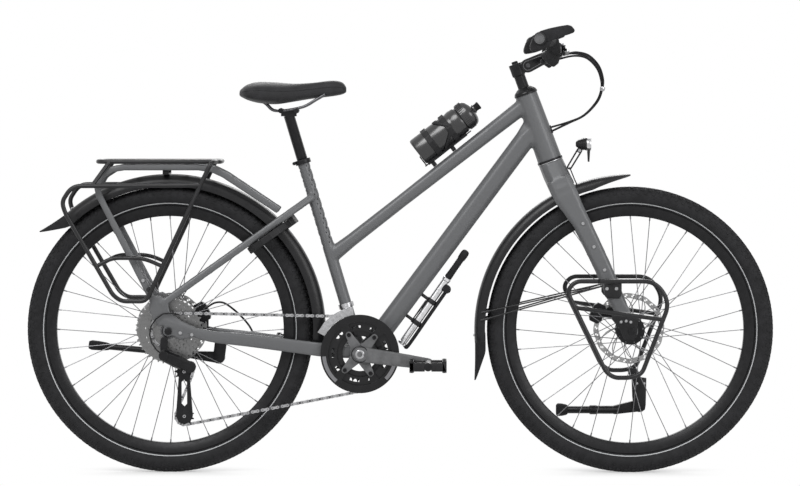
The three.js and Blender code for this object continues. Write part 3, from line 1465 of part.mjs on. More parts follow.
function frontStandLeg() {
  const middle = (frontStand.legNear + frontStand.legFar) / 2;
  const tip = at(frontPivot.x - frontStand.length, frontPivot.z - frontStand.length * 0.045, middle);
  const knee = { x: frontPivot.x - frontStand.length * 0.28, z: frontPivot.z - frontStand.radius * 0.4 };
  const { radius, tubeRadius, legNear, legFar } = frontStand;
  const cheek = hullPlate(frontPivot, radius, knee, tubeRadius, legNear, legFar, 4);
  const start = at(knee.x, knee.z, middle);
  const shaft = rod(start, tip, frontStand.tubeRadius * 0.8, 8);
  const foot = rod(mix(start, tip, 0.88), tip, standFoot.radius * 0.85, 8, standFoot.radius);
  const collar = rod(mix(start, tip, 0.52), mix(start, tip, 0.6), frontStand.tubeRadius * 1.05, 8);
  const boreEnd = legFar + overrun * 2;
  const bore = drum(turningBore(frontStand.pin), frontStand.near, boreEnd, frontPivot, pinSides);
  return cut(join(cheek, shaft, foot, collar), bore);
}

// Rear carrier

const rearCarrier = { tube: 5.5, spread: 90, deckHalf: 58, bend: 32, length: 362, height: 292, bracket: 7 };
const carrierLow = { x: rearAxle.x - 263, z: rearAxle.z + 76 };
const carrierLoopShares = [
  [1.03, 1.19], [0.62, 0.11], [0.58, 0], [0.41, 0], [0.35, 0.05], [0.02, 0.76], [0, 0.85],
  [0.07, 0.985], [0.95, 0.99],
];
const carrierInnerShares = [[0.25, 0.3], [0.34, 0.37], [0.56, 0.37], [0.665, 0.3]];
const deckZ = railTop + gap + rearCarrier.tube;
const deck = { rear: 0.235, front: 1.085 };

function carrierPoint([along, up], y) {
  return at(carrierLow.x + along * rearCarrier.length, carrierLow.z + up * rearCarrier.height, y);
}

// The outer face of the sloping rail at a height
function railOuterAt(z) {
  const [high, low] = carrierRailShares.slice(3);
  const share = ((z - rearAxle.z) / tyreRadius - low[1]) / (high[1] - low[1]);
  return (low[2] + (high[2] - low[2]) * share) * halfSpacing + carrierRail.width / 2;
}

function rearCarrierSolid() {
  const sides = mirrored((side) => {
    const y = side * rearCarrier.spread;
    const corners = carrierLoopShares.map((share) => carrierPoint(share, y));
    corners.unshift(at(corners[0].x + rearCarrier.tube * 2, deckZ, side * rearCarrier.deckHalf));
    corners[1].z = deckZ;
    const inner = carrierInnerShares.map((share) => carrierPoint(share, y));
    const brace = [
      at(carrierLow.x + rearCarrier.length * 0.32, deckZ, side * rearCarrier.deckHalf),
      carrierPoint([0.21, 0.99], y),
    ];
    const strutFoot = carrierPoint([0.6, 0.1], 0);
    const stubEnd = side * (railOuterAt(strutFoot.z - rearCarrier.bracket) + gap);
    return join(
      tube(corners, rearCarrier.tube, rearCarrier.bend, 5, 1),
      tube(inner, rearCarrier.tube * 0.9, rearCarrier.bend, 5, 1),
      rod(brace[0], brace[1], rearCarrier.tube * 0.9, 5),
      rod(strutFoot.clone().setY(stubEnd), strutFoot.clone().setY(y), rearCarrier.bracket, 6),
    );
  });
  const deckCorners = [
    [deck.front, 0], [deck.front, 1], [deck.rear, 1], [deck.rear, -1], [deck.front, -1], [deck.front, 0],
  ].map(([along, across]) => at(
    carrierLow.x + along * rearCarrier.length,
    deckZ,
    across * rearCarrier.deckHalf,
  ));
  const rim = tube(deckCorners, rearCarrier.tube, rearCarrier.bend, 5, 1);
  const spine = mirrored((side) => rod(
    at(carrierLow.x + deck.front * rearCarrier.length, deckZ, (side * rearCarrier.deckHalf) / 3),
    at(carrierLow.x + deck.rear * rearCarrier.length, deckZ, (side * rearCarrier.deckHalf) / 3),
    rearCarrier.tube * 0.8,
    5,
  ));
  const bars = [0.48, 0.85].map((along) => rod(
    at(carrierLow.x + along * rearCarrier.length, deckZ, -rearCarrier.deckHalf),
    at(carrierLow.x + along * rearCarrier.length, deckZ, rearCarrier.deckHalf),
    rearCarrier.tube * 0.8,
    5,
  ));
  return join(sides, rim, spine, bars);
}

// Cockpit

const stem = {
  coneHeight: 13, neckTop: 46, top: 77, collar: 17.5, pivotAhead: 30, pivotAbove: 62, pivotRadius: 11, pin: 4,
  tongue: 18, cheek: 6, clampRadius: 21, clampWidth: 44, barAhead: 108, barAbove: 74.5,
};
const handlebar = { half: 316, sweep: 50, rise: 23, radius: 11.1, bulge: 15.9, bulgeHalf: 30 };
const barShares = [[-1, 1, 1], [-0.4, 0.18, 0.8], [-0.19, 0, 0], [0.19, 0, 0], [0.4, 0.18, 0.8], [1, 1, 1]];
const grip = {
  radius: 16.5, from: 0.34, endWall: 4, hornRadius: 10.5, hornReach: 86, hornRise: 24,
  wingDepth: 20, wingHeight: 8,
};
const barCentre = steered(stem.barAhead, headTop + stem.barAbove);
const stemPivot = steered(stem.pivotAhead, headTop + stem.pivotAbove);

const barPoint = ([across, back, up], behind = 0, above = 0) => at(
  barCentre.x - back * handlebar.sweep - behind,
  barCentre.z + up * handlebar.rise + above,
  across * handlebar.half,
);

function barTube(radius, bulge) {
  const line = tube(barShares.map((row) => barPoint(row)), radius, handlebar.half * 0.12, 8, 1);
  return join(line, drum(bulge, -handlebar.bulgeHalf, handlebar.bulgeHalf, barCentre, 12));
}

function stemRiserSolid() {
  const base = steered(0, headTop);
  const post = turned([
    [0, gap], [headTube.topRadius, gap], [headTube.topRadius, stem.coneHeight * 0.3],
    [stem.collar, stem.coneHeight],
    [steerer.radius, stem.coneHeight], [steerer.radius, stem.neckTop], [stem.collar, stem.neckTop],
    [stem.collar, stem.top], [0, stem.top],
  ], base, steeringUp, 12);
  const middle = steered(0, headTop + stem.pivotAbove);
  const cheeks = mirrored((side) => hullPlate(
    middle,
    stem.pivotRadius,
    stemPivot,
    stem.pivotRadius,
    ...rangeOfY(side, stem.tongue / 2 + gap, stem.tongue / 2 + stem.cheek),
    6,
  ));
  const room = drum(stem.pivotRadius * 1.08, -stem.tongue / 2 - gap, stem.tongue / 2 + gap, stemPivot, 12);
  const pin = drum(stem.pin, -stem.tongue, stem.tongue, stemPivot, 6);
  return join(cut(join(post, cheeks), room), pin);
}

function stemExtensionSolid() {
  const { pivotRadius, tongue } = stem;
  const arm = hullPlate(stemPivot, pivotRadius, barCentre, pivotRadius * 1.2, -tongue / 2, tongue / 2);
  const clampBody = drum(stem.clampRadius, -stem.clampWidth / 2, stem.clampWidth / 2, barCentre, 12);
  const bores = [
    drum(handlebar.bulge + gap, -stem.clampWidth, stem.clampWidth, barCentre, 12),
    drum(turningBore(stem.pin), -stem.clampWidth, stem.clampWidth, stemPivot, pinSides),
  ];
  return cut(join(arm, clampBody), bores);
}

function gripSolid(side) {
  const start = mix(barPoint([side * 0.4, 0.18, 0.8]), barPoint([side, 1, 1]), grip.from);
  const end = barPoint([side, 1, 1]);
  const along = end.clone().sub(start).normalize();
  const tip = end.clone().addScaledVector(along, grip.endWall);
  const from = start.clone().addScaledVector(along, gap);
  const sleeve = rod(from, tip, grip.radius, 10);
  const ahead = at(1, 0);
  const wing = loft([0.3, 0.55, 0.8, 0.97].map((share, i) => ({
    at: mix(start, end, share).addScaledVector(ahead, -grip.wingDepth * [0.2, 0.6, 0.7, 0.5][i]),
    along,
    up: grip.wingHeight,
    side: grip.wingDepth,
  })), 6, 0.9, ahead);
  const root = mix(start, end, 0.93);
  const horn = tube([
    root,
    root.clone().add(at(grip.hornReach * 0.4, grip.hornRise * 0.75, 0)),
    root.clone().add(at(grip.hornReach, grip.hornRise, -side * grip.hornRadius)),
  ], grip.hornRadius, grip.hornReach * 0.2, 7, 1);
  const knob = closedSolid(new THREE.IcosahedronGeometry(grip.hornRadius * 1.1, 0).translate(
    root.x + grip.hornReach,
    root.y - side * grip.hornRadius,
    root.z + grip.hornRise,
  ));
  return cut(join(sleeve, wing, horn, knob), barTube(handlebar.radius + gap, handlebar.bulge + gap));
}

const control = {
  width: 40, fromGrip: 18.864, radius: 16.5, ahead: 9, below: 22, reach: 12, housing: 13, housingBelow: 34,
  leverAhead: 28, leverBelow: 20, earHalf: 6, earHeight: 3, barrel: 16, barrelRadius: 5, pin: 2, step: 5,
};
const controlFar = mix(barPoint([0.4, 0.18, 0.8]), barPoint([1, 1, 1]), grip.from).y - control.fromGrip;
const controlNear = controlFar - control.width;
const controlCentre = barPoint([0.48, 0.29, 0.83]);
const leverPivot = {
  x: controlCentre.x + control.leverAhead,
  y: (controlNear + controlFar) / 2,
  z: controlCentre.z - control.leverBelow,
};

function controlSolid(side) {
  const reservoir = { x: controlCentre.x + control.ahead, z: controlCentre.z - control.below };
  const housing = { x: controlCentre.x - control.reach / 3, z: controlCentre.z - control.housingBelow };
  const width = rangeOfY(side, controlNear, controlFar);
  const body = hullPlate(controlCentre, control.radius, reservoir, control.reach, ...width, 4);
  const box = hullPlate(
    controlCentre,
    control.housing,
    housing,
    control.housing,
    ...rangeOfY(side, controlNear + control.step, controlFar - control.step),
    3,
  );
  const ears = [1, -1].map((up) => {
    const z = leverPivot.z + up * (control.barrel / 2 + gap + control.earHeight / 2);
    const half = control.earHeight / 2;
    return plate([
      at(controlCentre.x, z - half), at(leverPivot.x + control.barrelRadius, z - half),
      at(leverPivot.x + control.barrelRadius, z + half), at(controlCentre.x, z + half),
    ], ...rangeOfY(side, leverPivot.y - control.earHalf, leverPivot.y + control.earHalf));
  });
  const pin = rod(
    at(leverPivot.x, leverPivot.z - control.barrel / 2 - control.earHeight, side * leverPivot.y),
    at(leverPivot.x, leverPivot.z + control.barrel / 2 + control.earHeight, side * leverPivot.y),
    control.pin,
    6,
  );
  const pinEnds = rangeOfY(side, controlNear - control.step, controlNear + control.step * 2);
  const shiftPin = drum(control.pin, ...pinEnds, housing, 6);
  const solid = join(body, box, ears, pin, shiftPin);
  return cut(solid, barTube(handlebar.radius + gap, handlebar.bulge + gap));
}

const lever = { length: 112, radius: 5, ahead: 10, drop: 10 };

function leverSolid(side) {
  const base = at(leverPivot.x, leverPivot.z, side * leverPivot.y);
  const barrel = rod(
    base.clone().add(at(0, -control.barrel / 2)),
    base.clone().add(at(0, control.barrel / 2)),
    control.barrelRadius,
    8,
  );
  const path = [
    base,
    base.clone().add(at(lever.ahead, -lever.drop * 0.3, side * lever.length * 0.14)),
    base.clone().add(at(lever.ahead * 0.8, -lever.drop, side * lever.length * 0.55)),
    base.clone().add(at(-lever.ahead * 0.4, -lever.drop, side * lever.length)),
  ];
  const stations = bentStations(path, lever.length * 0.1, 2);
  const leverBlade = loft(sectionsAlong(
    stations,
    stations.map(() => lever.radius * 0.8),
    stations.map(() => lever.radius * 1.15),
  ), 6, 0.8, at(0, 1));
  const bore = rod(
    base.clone().add(at(0, -control.barrel)),
    base.clone().add(at(0, control.barrel)),
    turningBore(control.pin),
    pinSides,
  );
  return cut(join(barrel, leverBlade), bore);
}

const shifter = { hub: 7, reach: 26, tip: 5, thickness: 3.6 };

function shifterSolid(side) {
  const housing = { x: controlCentre.x - control.reach / 3, z: controlCentre.z - control.housingBelow };
  const tip = { x: housing.x - shifter.reach * 0.8, z: housing.z - shifter.reach * 0.55 };
  const range = rangeOfY(side, controlNear - shifter.thickness, controlNear - gap);
  const arm = hullPlate(housing, shifter.hub, tip, shifter.tip, ...range, 4);
  const padEnds = rangeOfY(side, controlNear - shifter.thickness, controlNear + control.step * 2);
  const pad = drum(shifter.tip, ...padEnds, tip, 6);
  const bore = drum(turningBore(control.pin), -handlebar.half, handlebar.half, housing, pinSides);
  return cut(join(arm, pad), bore);
}

// Headlamp

const lampBracket = {
  width: 22, thickness: 2.4, armNear: 5, armFar: 7.5, armRadius: 5, foot: 40.5, footUp: 437,
  ahead: 78, below: 182.5,
};
const headlamp = {
  length: 38, rearRadius: 9.5, frontRadius: 16.5, tongue: 4.6, eye: 6, pin: 2.4, rise: 16, flap: 28,
};
const lampEye = steered(lampBracket.ahead, headTop - lampBracket.below);

function lampBracketSolid() {
  const foot = steered(lampBracket.foot, lampBracket.footUp);
  const strapPoints = [
    foot,
    steered(lampBracket.foot * 1.03, crownHeight * 0.86),
    steered(lampBracket.foot * 1.06, crownHeight * 0.835),
  ];
  const strap = loft(sectionsAlong(
    strapPoints,
    strapPoints.map(() => lampBracket.thickness / 2),
    strapPoints.map(() => lampBracket.width / 2),
  ), 4, 0);
  const arms = mirrored((side) => hullPlate(
    foot,
    lampBracket.armRadius,
    lampEye,
    lampBracket.armRadius,
    ...rangeOfY(side, lampBracket.armNear, lampBracket.armFar),
    3,
  ));
  const pin = drum(headlamp.pin, -lampBracket.armFar, lampBracket.armFar, lampEye, 6);
  return join(strap, arms, pin);
}

function headlampSolid() {
  const middle = at(lampEye.x + headlamp.length * 0.25, lampEye.z + headlamp.rise);
  const section = (ahead, radius, squash = 1) => ({
    at: middle.clone().add(at(ahead, 0)),
    along: at(1, 0),
    up: radius * squash,
    side: radius,
  });
  const half = headlamp.length / 2;
  const shell = loft([
    section(-half, headlamp.rearRadius * 0.5),
    section(-half * 0.8, headlamp.rearRadius),
    section(half * 0.4, headlamp.frontRadius, 0.95),
    section(half * 0.9, headlamp.frontRadius, 0.95),
    section(half, headlamp.frontRadius * 0.92, 0.9),
  ], 10, 0.95);
  const tongue = hullPlate(
    lampEye,
    headlamp.eye,
    { x: middle.x, z: middle.z },
    headlamp.eye,
    -headlamp.tongue,
    headlamp.tongue,
    3,
  );
  const bore = drum(turningBore(headlamp.pin), -lampBracket.width, lampBracket.width, lampEye, pinSides);
  const flap = plate([
    at(middle.x + half * 0.7, middle.z - headlamp.frontRadius * 0.5),
    at(middle.x + half * 0.85, middle.z - headlamp.frontRadius * 0.5),
    at(middle.x + half * 0.85, middle.z - headlamp.frontRadius - headlamp.flap),
    at(middle.x + half * 0.7, middle.z - headlamp.frontRadius - headlamp.flap),
  ], -headlamp.rearRadius, headlamp.rearRadius);
  return cut(join(shell, tongue, flap), bore);
}

// Bottle and pump

const bottle = {
  radius: 36.5, body: 128, neck: 26, cap: 30, capLength: 26, nozzle: 9, length: 196,
  placeShare: 0.526, lift: 18,
};
const cage = { wall: 3, ringWidth: 15, backWidth: 22, heel: 30, back: 140, clearance: 0.6, foot: 6 };
const bottleOffset = topTube.depth / 2 + bottle.lift + bottle.radius;
const bottleBase = mix(topTubeFoot, topTubeHead, bottle.placeShare).addScaledVector(topTubeUp, bottleOffset);
const alongBottle = (distance, up = 0) => bottleBase.clone()
  .addScaledVector(topTubeAlong, distance)
  .addScaledVector(topTubeUp, up);

function bottleSolid() {
  const { radius, body, neck, cap: capRadius, capLength, nozzle, length } = bottle;
  return turned([
    [0, 0], [radius * 0.9, 0], [radius, radius * 0.14], [radius, body * 0.42], [radius * 0.93, body * 0.47],
    [radius * 0.93, body * 0.56], [radius, body * 0.61], [radius, body * 0.9], [neck, body + radius * 0.4],
    [capRadius, body + radius * 0.45], [capRadius, body + radius * 0.45 + capLength * 0.8],
    [capRadius * 0.6, body + radius * 0.45 + capLength], [nozzle, body + radius * 0.45 + capLength],
    [nozzle, length], [0, length],
  ], bottleBase, topTubeAlong, 14);
}

function bottleCageSolid() {
  const low = -bottle.radius - cage.clearance - cage.wall;
  const strip = loft([-cage.wall * 2, cage.back].map((distance) => ({
    at: alongBottle(distance, low + cage.wall / 2),
    along: topTubeAlong,
    up: cage.wall / 2,
    side: cage.backWidth / 2,
  })), 4, 0);
  const inner = bottle.radius + cage.clearance;
  const rings = [0.34, 0.78].map((share) => turned([
    [inner, 0], [inner + cage.wall, 0], [inner + cage.wall, cage.ringWidth], [inner, cage.ringWidth],
  ], alongBottle(share * bottle.body - cage.ringWidth / 2), topTubeAlong, 14));
  const heel = loft([low, low + cage.heel].map((up) => ({
    at: alongBottle(-cage.wall / 2 - cage.clearance, up),
    along: topTubeUp,
    up: cage.wall / 2,
    side: cage.backWidth / 2,
  })), 4, 0);
  const feet = [0.12, 0.6].map((share) => rod(
    alongBottle(share * bottle.body, low + cage.wall / 2),
    alongBottle(share * bottle.body, -bottleOffset),
    cage.foot,
    6,
  ));
  return join(strip, rings, heel, cut(join(feet), topTubeSolid(gap)));
}

const pump = {
  radius: 9.5, hose: 5, hoseOffset: 16, handleRadius: 10.5, band: 3, bandWidth: 12, arm: 9,
  bottomAlong: 68, bottomOff: 58, topAlong: 272.5, topOff: 52, handleLength: 74, head: 13,
};
const underTube = (along, off) => downTubeFoot.clone()
  .addScaledVector(downTubeAlong, along)
  .addScaledVector(downTubeUnder, off);
const pumpLow = underTube(pump.bottomAlong, pump.bottomOff);
const pumpTop = underTube(pump.topAlong, pump.topOff);
const pumpAlong = pumpTop.clone().sub(pumpLow).normalize();
const pumpOut = lateral.clone().cross(pumpAlong);

function pumpBarrelSolid() {
  const barrel = rod(pumpLow, pumpTop, pump.radius, 8);
  const offset = (share, out) => mix(pumpLow, pumpTop, share).addScaledVector(pumpOut, out);
  const hose = rod(offset(0.02, pump.hoseOffset), offset(0.86, pump.hoseOffset), pump.hose, 6);
  const foot = rod(offset(0, -pump.radius * 0.2), offset(0.04, -pump.radius * 0.2), pump.radius * 1.25, 8);
  const collar = rod(offset(0.97, 0), offset(1, 0), pump.radius * 1.2, 8);
  const headBlock = rod(
    offset(0.88, pump.hoseOffset * 0.9).setY(-pump.head),
    offset(0.88, pump.hoseOffset * 0.9).setY(pump.head),
    pump.head * 0.85,
    8,
  );
  const shaftBore = rod(offset(0.55, 0), offset(1.1, 0), pump.radius * 0.5 + gap, 6);
  return cut(join(barrel, hose, foot, collar, headBlock), shaftBore);
}

function pumpHandleSolid() {
  const start = pumpTop.clone().addScaledVector(pumpAlong, gap);
  const end = pumpTop.clone().addScaledVector(pumpAlong, pump.handleLength);
  const sleeve = rod(start, end, pump.radius * 0.95, 10, pump.handleRadius);
  const knob = new THREE.IcosahedronGeometry(pump.handleRadius, 0).translate(end.x, end.y, end.z);
  const ball = closedSolid(knob);
  const shaft = rod(mix(pumpLow, pumpTop, 0.58), start, pump.radius * 0.5, 6);
  return join(sleeve, ball, shaft);
}

function pumpBracketSolid() {
  const places = [0.3, 0.62];
  const bands = places.map((share) => turned([
    [pump.radius + gap, 0], [pump.radius + pump.band, 0], [pump.radius + pump.band, pump.bandWidth],
    [pump.radius + gap, pump.bandWidth],
  ], mix(pumpLow, pumpTop, share), pumpAlong, 8));
  const arms = places.map((share) => {
    const start = mix(pumpLow, pumpTop, share).addScaledVector(pumpAlong, pump.bandWidth / 2);
    const along = start.clone().sub(downTubeFoot).dot(downTubeAlong);
    return cut(rod(start, underTube(along, 0), pump.arm / 2, 5), downTubeSolid(gap));
  });
  const spine = (() => {
    const a = mix(pumpLow, pumpTop, places[0]).addScaledVector(pumpOut, -pump.radius - pump.band);
    const b = mix(pumpLow, pumpTop, places[1]).addScaledVector(pumpOut, -pump.radius - pump.band);
    return loft(sectionsAlong([a, b], [pump.band / 2, pump.band / 2], [pump.arm / 2, pump.arm / 2]), 4, 0);
  })();
  const barrelSpace = rod(pumpLow, pumpTop, pump.radius + gap, 8);
  const hoseSpace = rod(
    pumpLow.clone().addScaledVector(pumpOut, pump.hoseOffset),
    pumpTop.clone().addScaledVector(pumpOut, pump.hoseOffset),
    pump.hose + gap,
    6,
  );
  return cut(join(bands, arms, spine), barrelSpace, hoseSpace);
}

// Hoses and cables, each along its real route

const hoseRadius = 2.6;
const portReach = { middle: gap * 6, side: hoseRadius };
const port = (up, y) => steered(
  sqrt(headTube.topRadius ** 2 - y ** 2) + (y === 0 ? portReach.middle : portReach.side),
  crownHeight + up,
  y,
);

function hoseSolid(points) {
  return cord(points, hoseRadius, 14);
}

// Points along a hose: ahead of the bar's centre, above it and to the left
const fromBar = ([ahead, above, y]) => at(barCentre.x + ahead, barCentre.z + above, y);
const brakeHosePoints = [
  [24.7, -10.7, 133], [46.7, -6.7, 112], [78.7, -13.7, 72], [105.7, -38.7, 36], [117.7, -70.7, 16],
  [116.7, -96.7, 9], [104.7, -128.7, 8], [72.7, -162.7, 8], [32.7, -182.7, 8],
];
const shiftCablePoints = [
  [7.7, -29.7, -131], [36.7, -22.7, -110], [70.7, -29.7, -66], [96.7, -52.7, -28],
  [108.7, -77.7, -6], [109.7, -100.7, 0], [97.7, -129.7, 0], [66.7, -158.7, 0], [28.7, -174.7, 0],
];
const brakeHoseRoute = (side) => [
  ...brakeHosePoints.map(([ahead, above, y]) => fromBar([ahead, above, side * y])),
  port(70, side * 8),
];
const shiftCableRoute = [...shiftCablePoints.map(fromBar), port(80, 0)];
const rearHoseTailRoute = [
  [109, 64, 47], [131, 64, 51], [155, 48, 55], [177, 28, 55], [195, 7, 53], [204, -9, 52],
].map(([ahead, above, y]) => at(rearAxle.x + ahead, rearAxle.z + above, y));

// Assembly

piece('main_frame', mainFrame(), paint);
piece('seat_clamp', seatClampRing(), blackMetal);
piece('seat_post', seatPostWithHead(), blackMetal);
piece('saddle', saddleSolid(), rubber);
piece('bottom_bracket', bottomBracketSolid(), darkSteel);

for (const [name, axle, hub, spacing, thickness, freehub, hubPaint] of [
  ['rear', rearAxle, rearHub, halfSpacing, dropout.thickness, freehubRadius, darkSteel],
  ['front', frontAxle, frontHub, forkSpacing / 2, blade.thickness, frontHub.radius * 0.5, blackMetal],
]) {
  piece(`${name}_tyre`, tyreSolid(axle), rubber);
  piece(`${name}_rim`, rimSolid(axle), blackMetal);
  piece(`${name}_hub`, hubSolid(axle, hub, gap - spacing, spacing - gap, freehub), hubPaint);
  piece(`${name}_axle`, axleSolid(axle, spacing, thickness), blackMetal);
}

piece('cassette', cassetteSolid(), silver);
piece('chain', chainSolid(), silver);
piece('outer_chainring', outerRingSolid(), darkSteel);
piece('chain_guard', guardSolid(), glossBlack);
piece('right_crank', rightCrank(), blackMetal);
piece('left_crank', leftCrank(), blackMetal);
piece('right_pedal', pedalSolid(-1), blackPlastic);
piece('left_pedal', pedalSolid(1), blackPlastic);
piece('rear_derailleur', rearDerailleurSolid(), darkSteel);
piece('derailleur_cage', cageSolid(), blackMetal);
piece('guide_pulley', pulleySolid(guideCentre), blackPlastic);
piece('tension_pulley', pulleySolid(drive.tensionCentre), blackPlastic);
piece('front_derailleur', frontDerailleurSolid(), silver);

piece('rear_brake_caliper', caliperSolid(rearAxle, caliper.rearAngle, rearCaliperMount()), blackMetal);
piece('front_brake_caliper', caliperSolid(frontAxle, caliper.frontAngle, frontCaliperMount()), blackMetal);
piece('rear_hose_tail', hoseSolid(rearHoseTailRoute), rubber);
piece('rear_stand_bracket', rearStandBracket(), blackMetal);
piece('rear_stand_leg', rearStandLeg(), blackMetal);
piece('ring_lock', lockSolid(), blackPlastic);
piece('ring_lock_shackle', shackleSolid(), darkSteel);
piece('rear_mudguard', rearMudguardSolid(), blackPlastic);
piece('rear_carrier', rearCarrierSolid(), blackMetal);

piece('fork', forkSolid(), paint);
piece('front_mudguard', join(frontMudguardSolid(), lampBracketSolid()), blackPlastic);
piece('right_low_rider', lowRiderSolid(-1), blackMetal);
piece('left_low_rider', lowRiderSolid(1), blackMetal);
piece('front_stand_leg', frontStandLeg(), blackMetal);
piece('stem_riser', stemRiserSolid(), glossBlack);
piece('stem_extension', stemExtensionSolid(), glossBlack);
piece('handlebar', barTube(handlebar.radius, handlebar.bulge), blackMetal);
for (const [name, side] of [['right', -1], ['left', 1]]) {
  piece(`${name}_grip`, gripSolid(side), rubber);
  piece(`${name}_controls`, controlSolid(side), blackPlastic);
  piece(`${name}_brake_lever`, leverSolid(side), blackMetal);
  piece(`${name}_shift_lever`, shifterSolid(side), blackPlastic);
}
piece('headlamp', headlampSolid(), glossBlack);
piece('water_bottle', bottleSolid(), smoked);
piece('bottle_cage', bottleCageSolid(), blackPlastic);
piece('pump_barrel', pumpBarrelSolid(), silver);
piece('pump_handle', pumpHandleSolid(), blackPlastic);
piece('pump_bracket', pumpBracketSolid(), blackPlastic);
piece('rear_brake_hose', hoseSolid(brakeHoseRoute(-1)), rubber);
piece('shift_cable', hoseSolid(shiftCableRoute), rubber);
piece('front_brake_hose', hoseSolid(brakeHoseRoute(1)), rubber);

export default bicycle;
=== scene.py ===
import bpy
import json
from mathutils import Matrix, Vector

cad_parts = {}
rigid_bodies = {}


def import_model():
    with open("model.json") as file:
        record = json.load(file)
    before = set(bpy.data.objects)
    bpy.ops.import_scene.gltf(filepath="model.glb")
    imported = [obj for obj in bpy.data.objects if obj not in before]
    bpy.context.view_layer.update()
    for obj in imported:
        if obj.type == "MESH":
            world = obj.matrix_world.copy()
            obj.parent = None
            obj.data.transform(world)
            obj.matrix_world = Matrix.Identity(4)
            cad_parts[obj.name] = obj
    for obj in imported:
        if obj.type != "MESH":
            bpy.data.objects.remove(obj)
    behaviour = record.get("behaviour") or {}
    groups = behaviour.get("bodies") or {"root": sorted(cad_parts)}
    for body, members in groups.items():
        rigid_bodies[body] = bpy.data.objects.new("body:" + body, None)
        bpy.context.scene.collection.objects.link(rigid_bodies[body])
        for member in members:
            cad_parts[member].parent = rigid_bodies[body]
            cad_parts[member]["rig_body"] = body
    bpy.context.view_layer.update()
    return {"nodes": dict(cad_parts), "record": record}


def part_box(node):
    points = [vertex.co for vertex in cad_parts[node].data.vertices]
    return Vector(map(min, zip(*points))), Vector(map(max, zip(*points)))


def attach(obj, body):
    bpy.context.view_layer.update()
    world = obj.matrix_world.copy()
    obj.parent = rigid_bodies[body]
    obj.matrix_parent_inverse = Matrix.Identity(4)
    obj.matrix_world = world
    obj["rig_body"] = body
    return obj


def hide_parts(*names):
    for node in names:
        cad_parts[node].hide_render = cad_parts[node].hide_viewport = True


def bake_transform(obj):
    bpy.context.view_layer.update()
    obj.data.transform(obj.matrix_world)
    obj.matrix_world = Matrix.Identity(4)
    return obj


bl_info = {
    "name": "Touring Bicycle",
    "version": (1, 0, 0),
    "blender": (4, 5, 0),
    "location": "View3D > Sidebar > Bicycle",
    "description": "Builds the visible pieces and finishes of a touring bicycle",
    "category": "Object",
}

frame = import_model()

import json
from math import acos, atan2, copysign, cos, exp, hypot, pi, radians, sin, sqrt

import bmesh
import bpy
import numpy as np
from mathutils import Vector
from mathutils.bvhtree import BVHTree

MM = 0.001
LATERAL = Vector((0, 1, 0))
UP = Vector((0, 0, 1))
TURN = 2 * pi
SIDES = ((-1, "right"), (1, "left"))

# Layout of the bicycle, in millimetres, as the frame's solids have it
REAR_AXLE = (-579, 360)
FRONT_AXLE = (579, 360)
BRACKET = (-100, 302)
STEERING_FOOT = (537.65, 344.95)
STEERING_TILT = radians(20)
CROWN_HEIGHT = 467
HEAD_TOP = 650
CHAIN_LINE = -47
CHAIN_PITCH = 12.7
OUTER_TEETH = 46
INNER_TEETH = 34
COG_TEETH = (41, 36, 31, 26, 22, 19, 17, 15, 13, 11)
DRIVEN_COG = 4
COG_SPACING = 4
PULLEY_TEETH = 11
GUIDE_CENTRE = (-541, 257)
CAGE_REACH = 112
CAGE_REST = radians(-86)
CRANK_LENGTH = 172.5
CRANK_ANGLE = radians(-8)
SPIDER_ANGLES = (49, 120, 227, 299)


# Places

def at(x, z, y=0.0):
    """A point given in millimetres: forward, up and to the left."""
    return Vector((x, y, z)) * MM


def steered(x, z, y=0.0):
    """A point of the steering axis's own frame, in millimetres."""
    c, s = cos(STEERING_TILT), sin(STEERING_TILT)
    return at(STEERING_FOOT[0] + x * c - z * s, STEERING_FOOT[1] + x * s + z * c, y)


def round_spot(centre, radius, angle):
    """Forward and up, in millimetres, of a point on a circle."""
    return centre[0] + radius * cos(angle), centre[1] + radius * sin(angle)


def on_circle(centre, radius, angle, y=0.0):
    return at(*round_spot(centre, radius, angle), y)


def round_angles(count):
    """Angles spread evenly over a circle."""
    return [TURN * i / count for i in range(count)]


def between(side, near, far):
    """Low and high along Y, in millimetres, of what lies between two distances on one side."""
    return sorted((side * near, side * far))


def swell(value, power):
    """Bends a value between -1 and 1 towards its ends, which squares off a round section."""
    return copysign(abs(value) ** power, value)


def mix(a, b, share):
    return a.lerp(b, share)


# Node trees

class Graph:
    """Adds nodes to a node tree. Each input is a value or another node's socket."""

    def __init__(self, tree):
        self.tree = tree

    def add(self, kind, settings=None, **inputs):
        node = self.tree.nodes.new(kind)
        for key, value in (settings or {}).items():
            setattr(node, key, value)
        for key, value in inputs.items():
            self.feed(node.inputs[key.replace("_", " ")], value)
        return node

    def feed(self, socket, value):
        if isinstance(value, bpy.types.NodeSocket):
            self.tree.links.new(value, socket)
        else:
            socket.default_value = value

    def sums(self, operation, first, second=None):
        node = self.add("ShaderNodeMath", {"operation": operation})
        self.feed(node.inputs[0], first)
        if second is not None:
            self.feed(node.inputs[1], second)
        return node.outputs["Value"]

    def vectors(self, operation, first, second):
        node = self.add("ShaderNodeVectorMath", {"operation": operation})
        self.feed(node.inputs[0], first)
        self.feed(node.inputs["Scale"] if operation == "SCALE" else node.inputs[1], second)
        return node.outputs["Vector"]

    def vector(self, x, y, z):
        return self.add("ShaderNodeCombineXYZ", X=x, Y=y, Z=z).outputs["Vector"]

    def chosen(self, share, first, second):
        """A mix of two shaders."""
        node = self.add("ShaderNodeMixShader", Fac=share)
        self.feed(node.inputs[1], first)
        self.feed(node.inputs[2], second)
        return node.outputs["Shader"]


# Materials

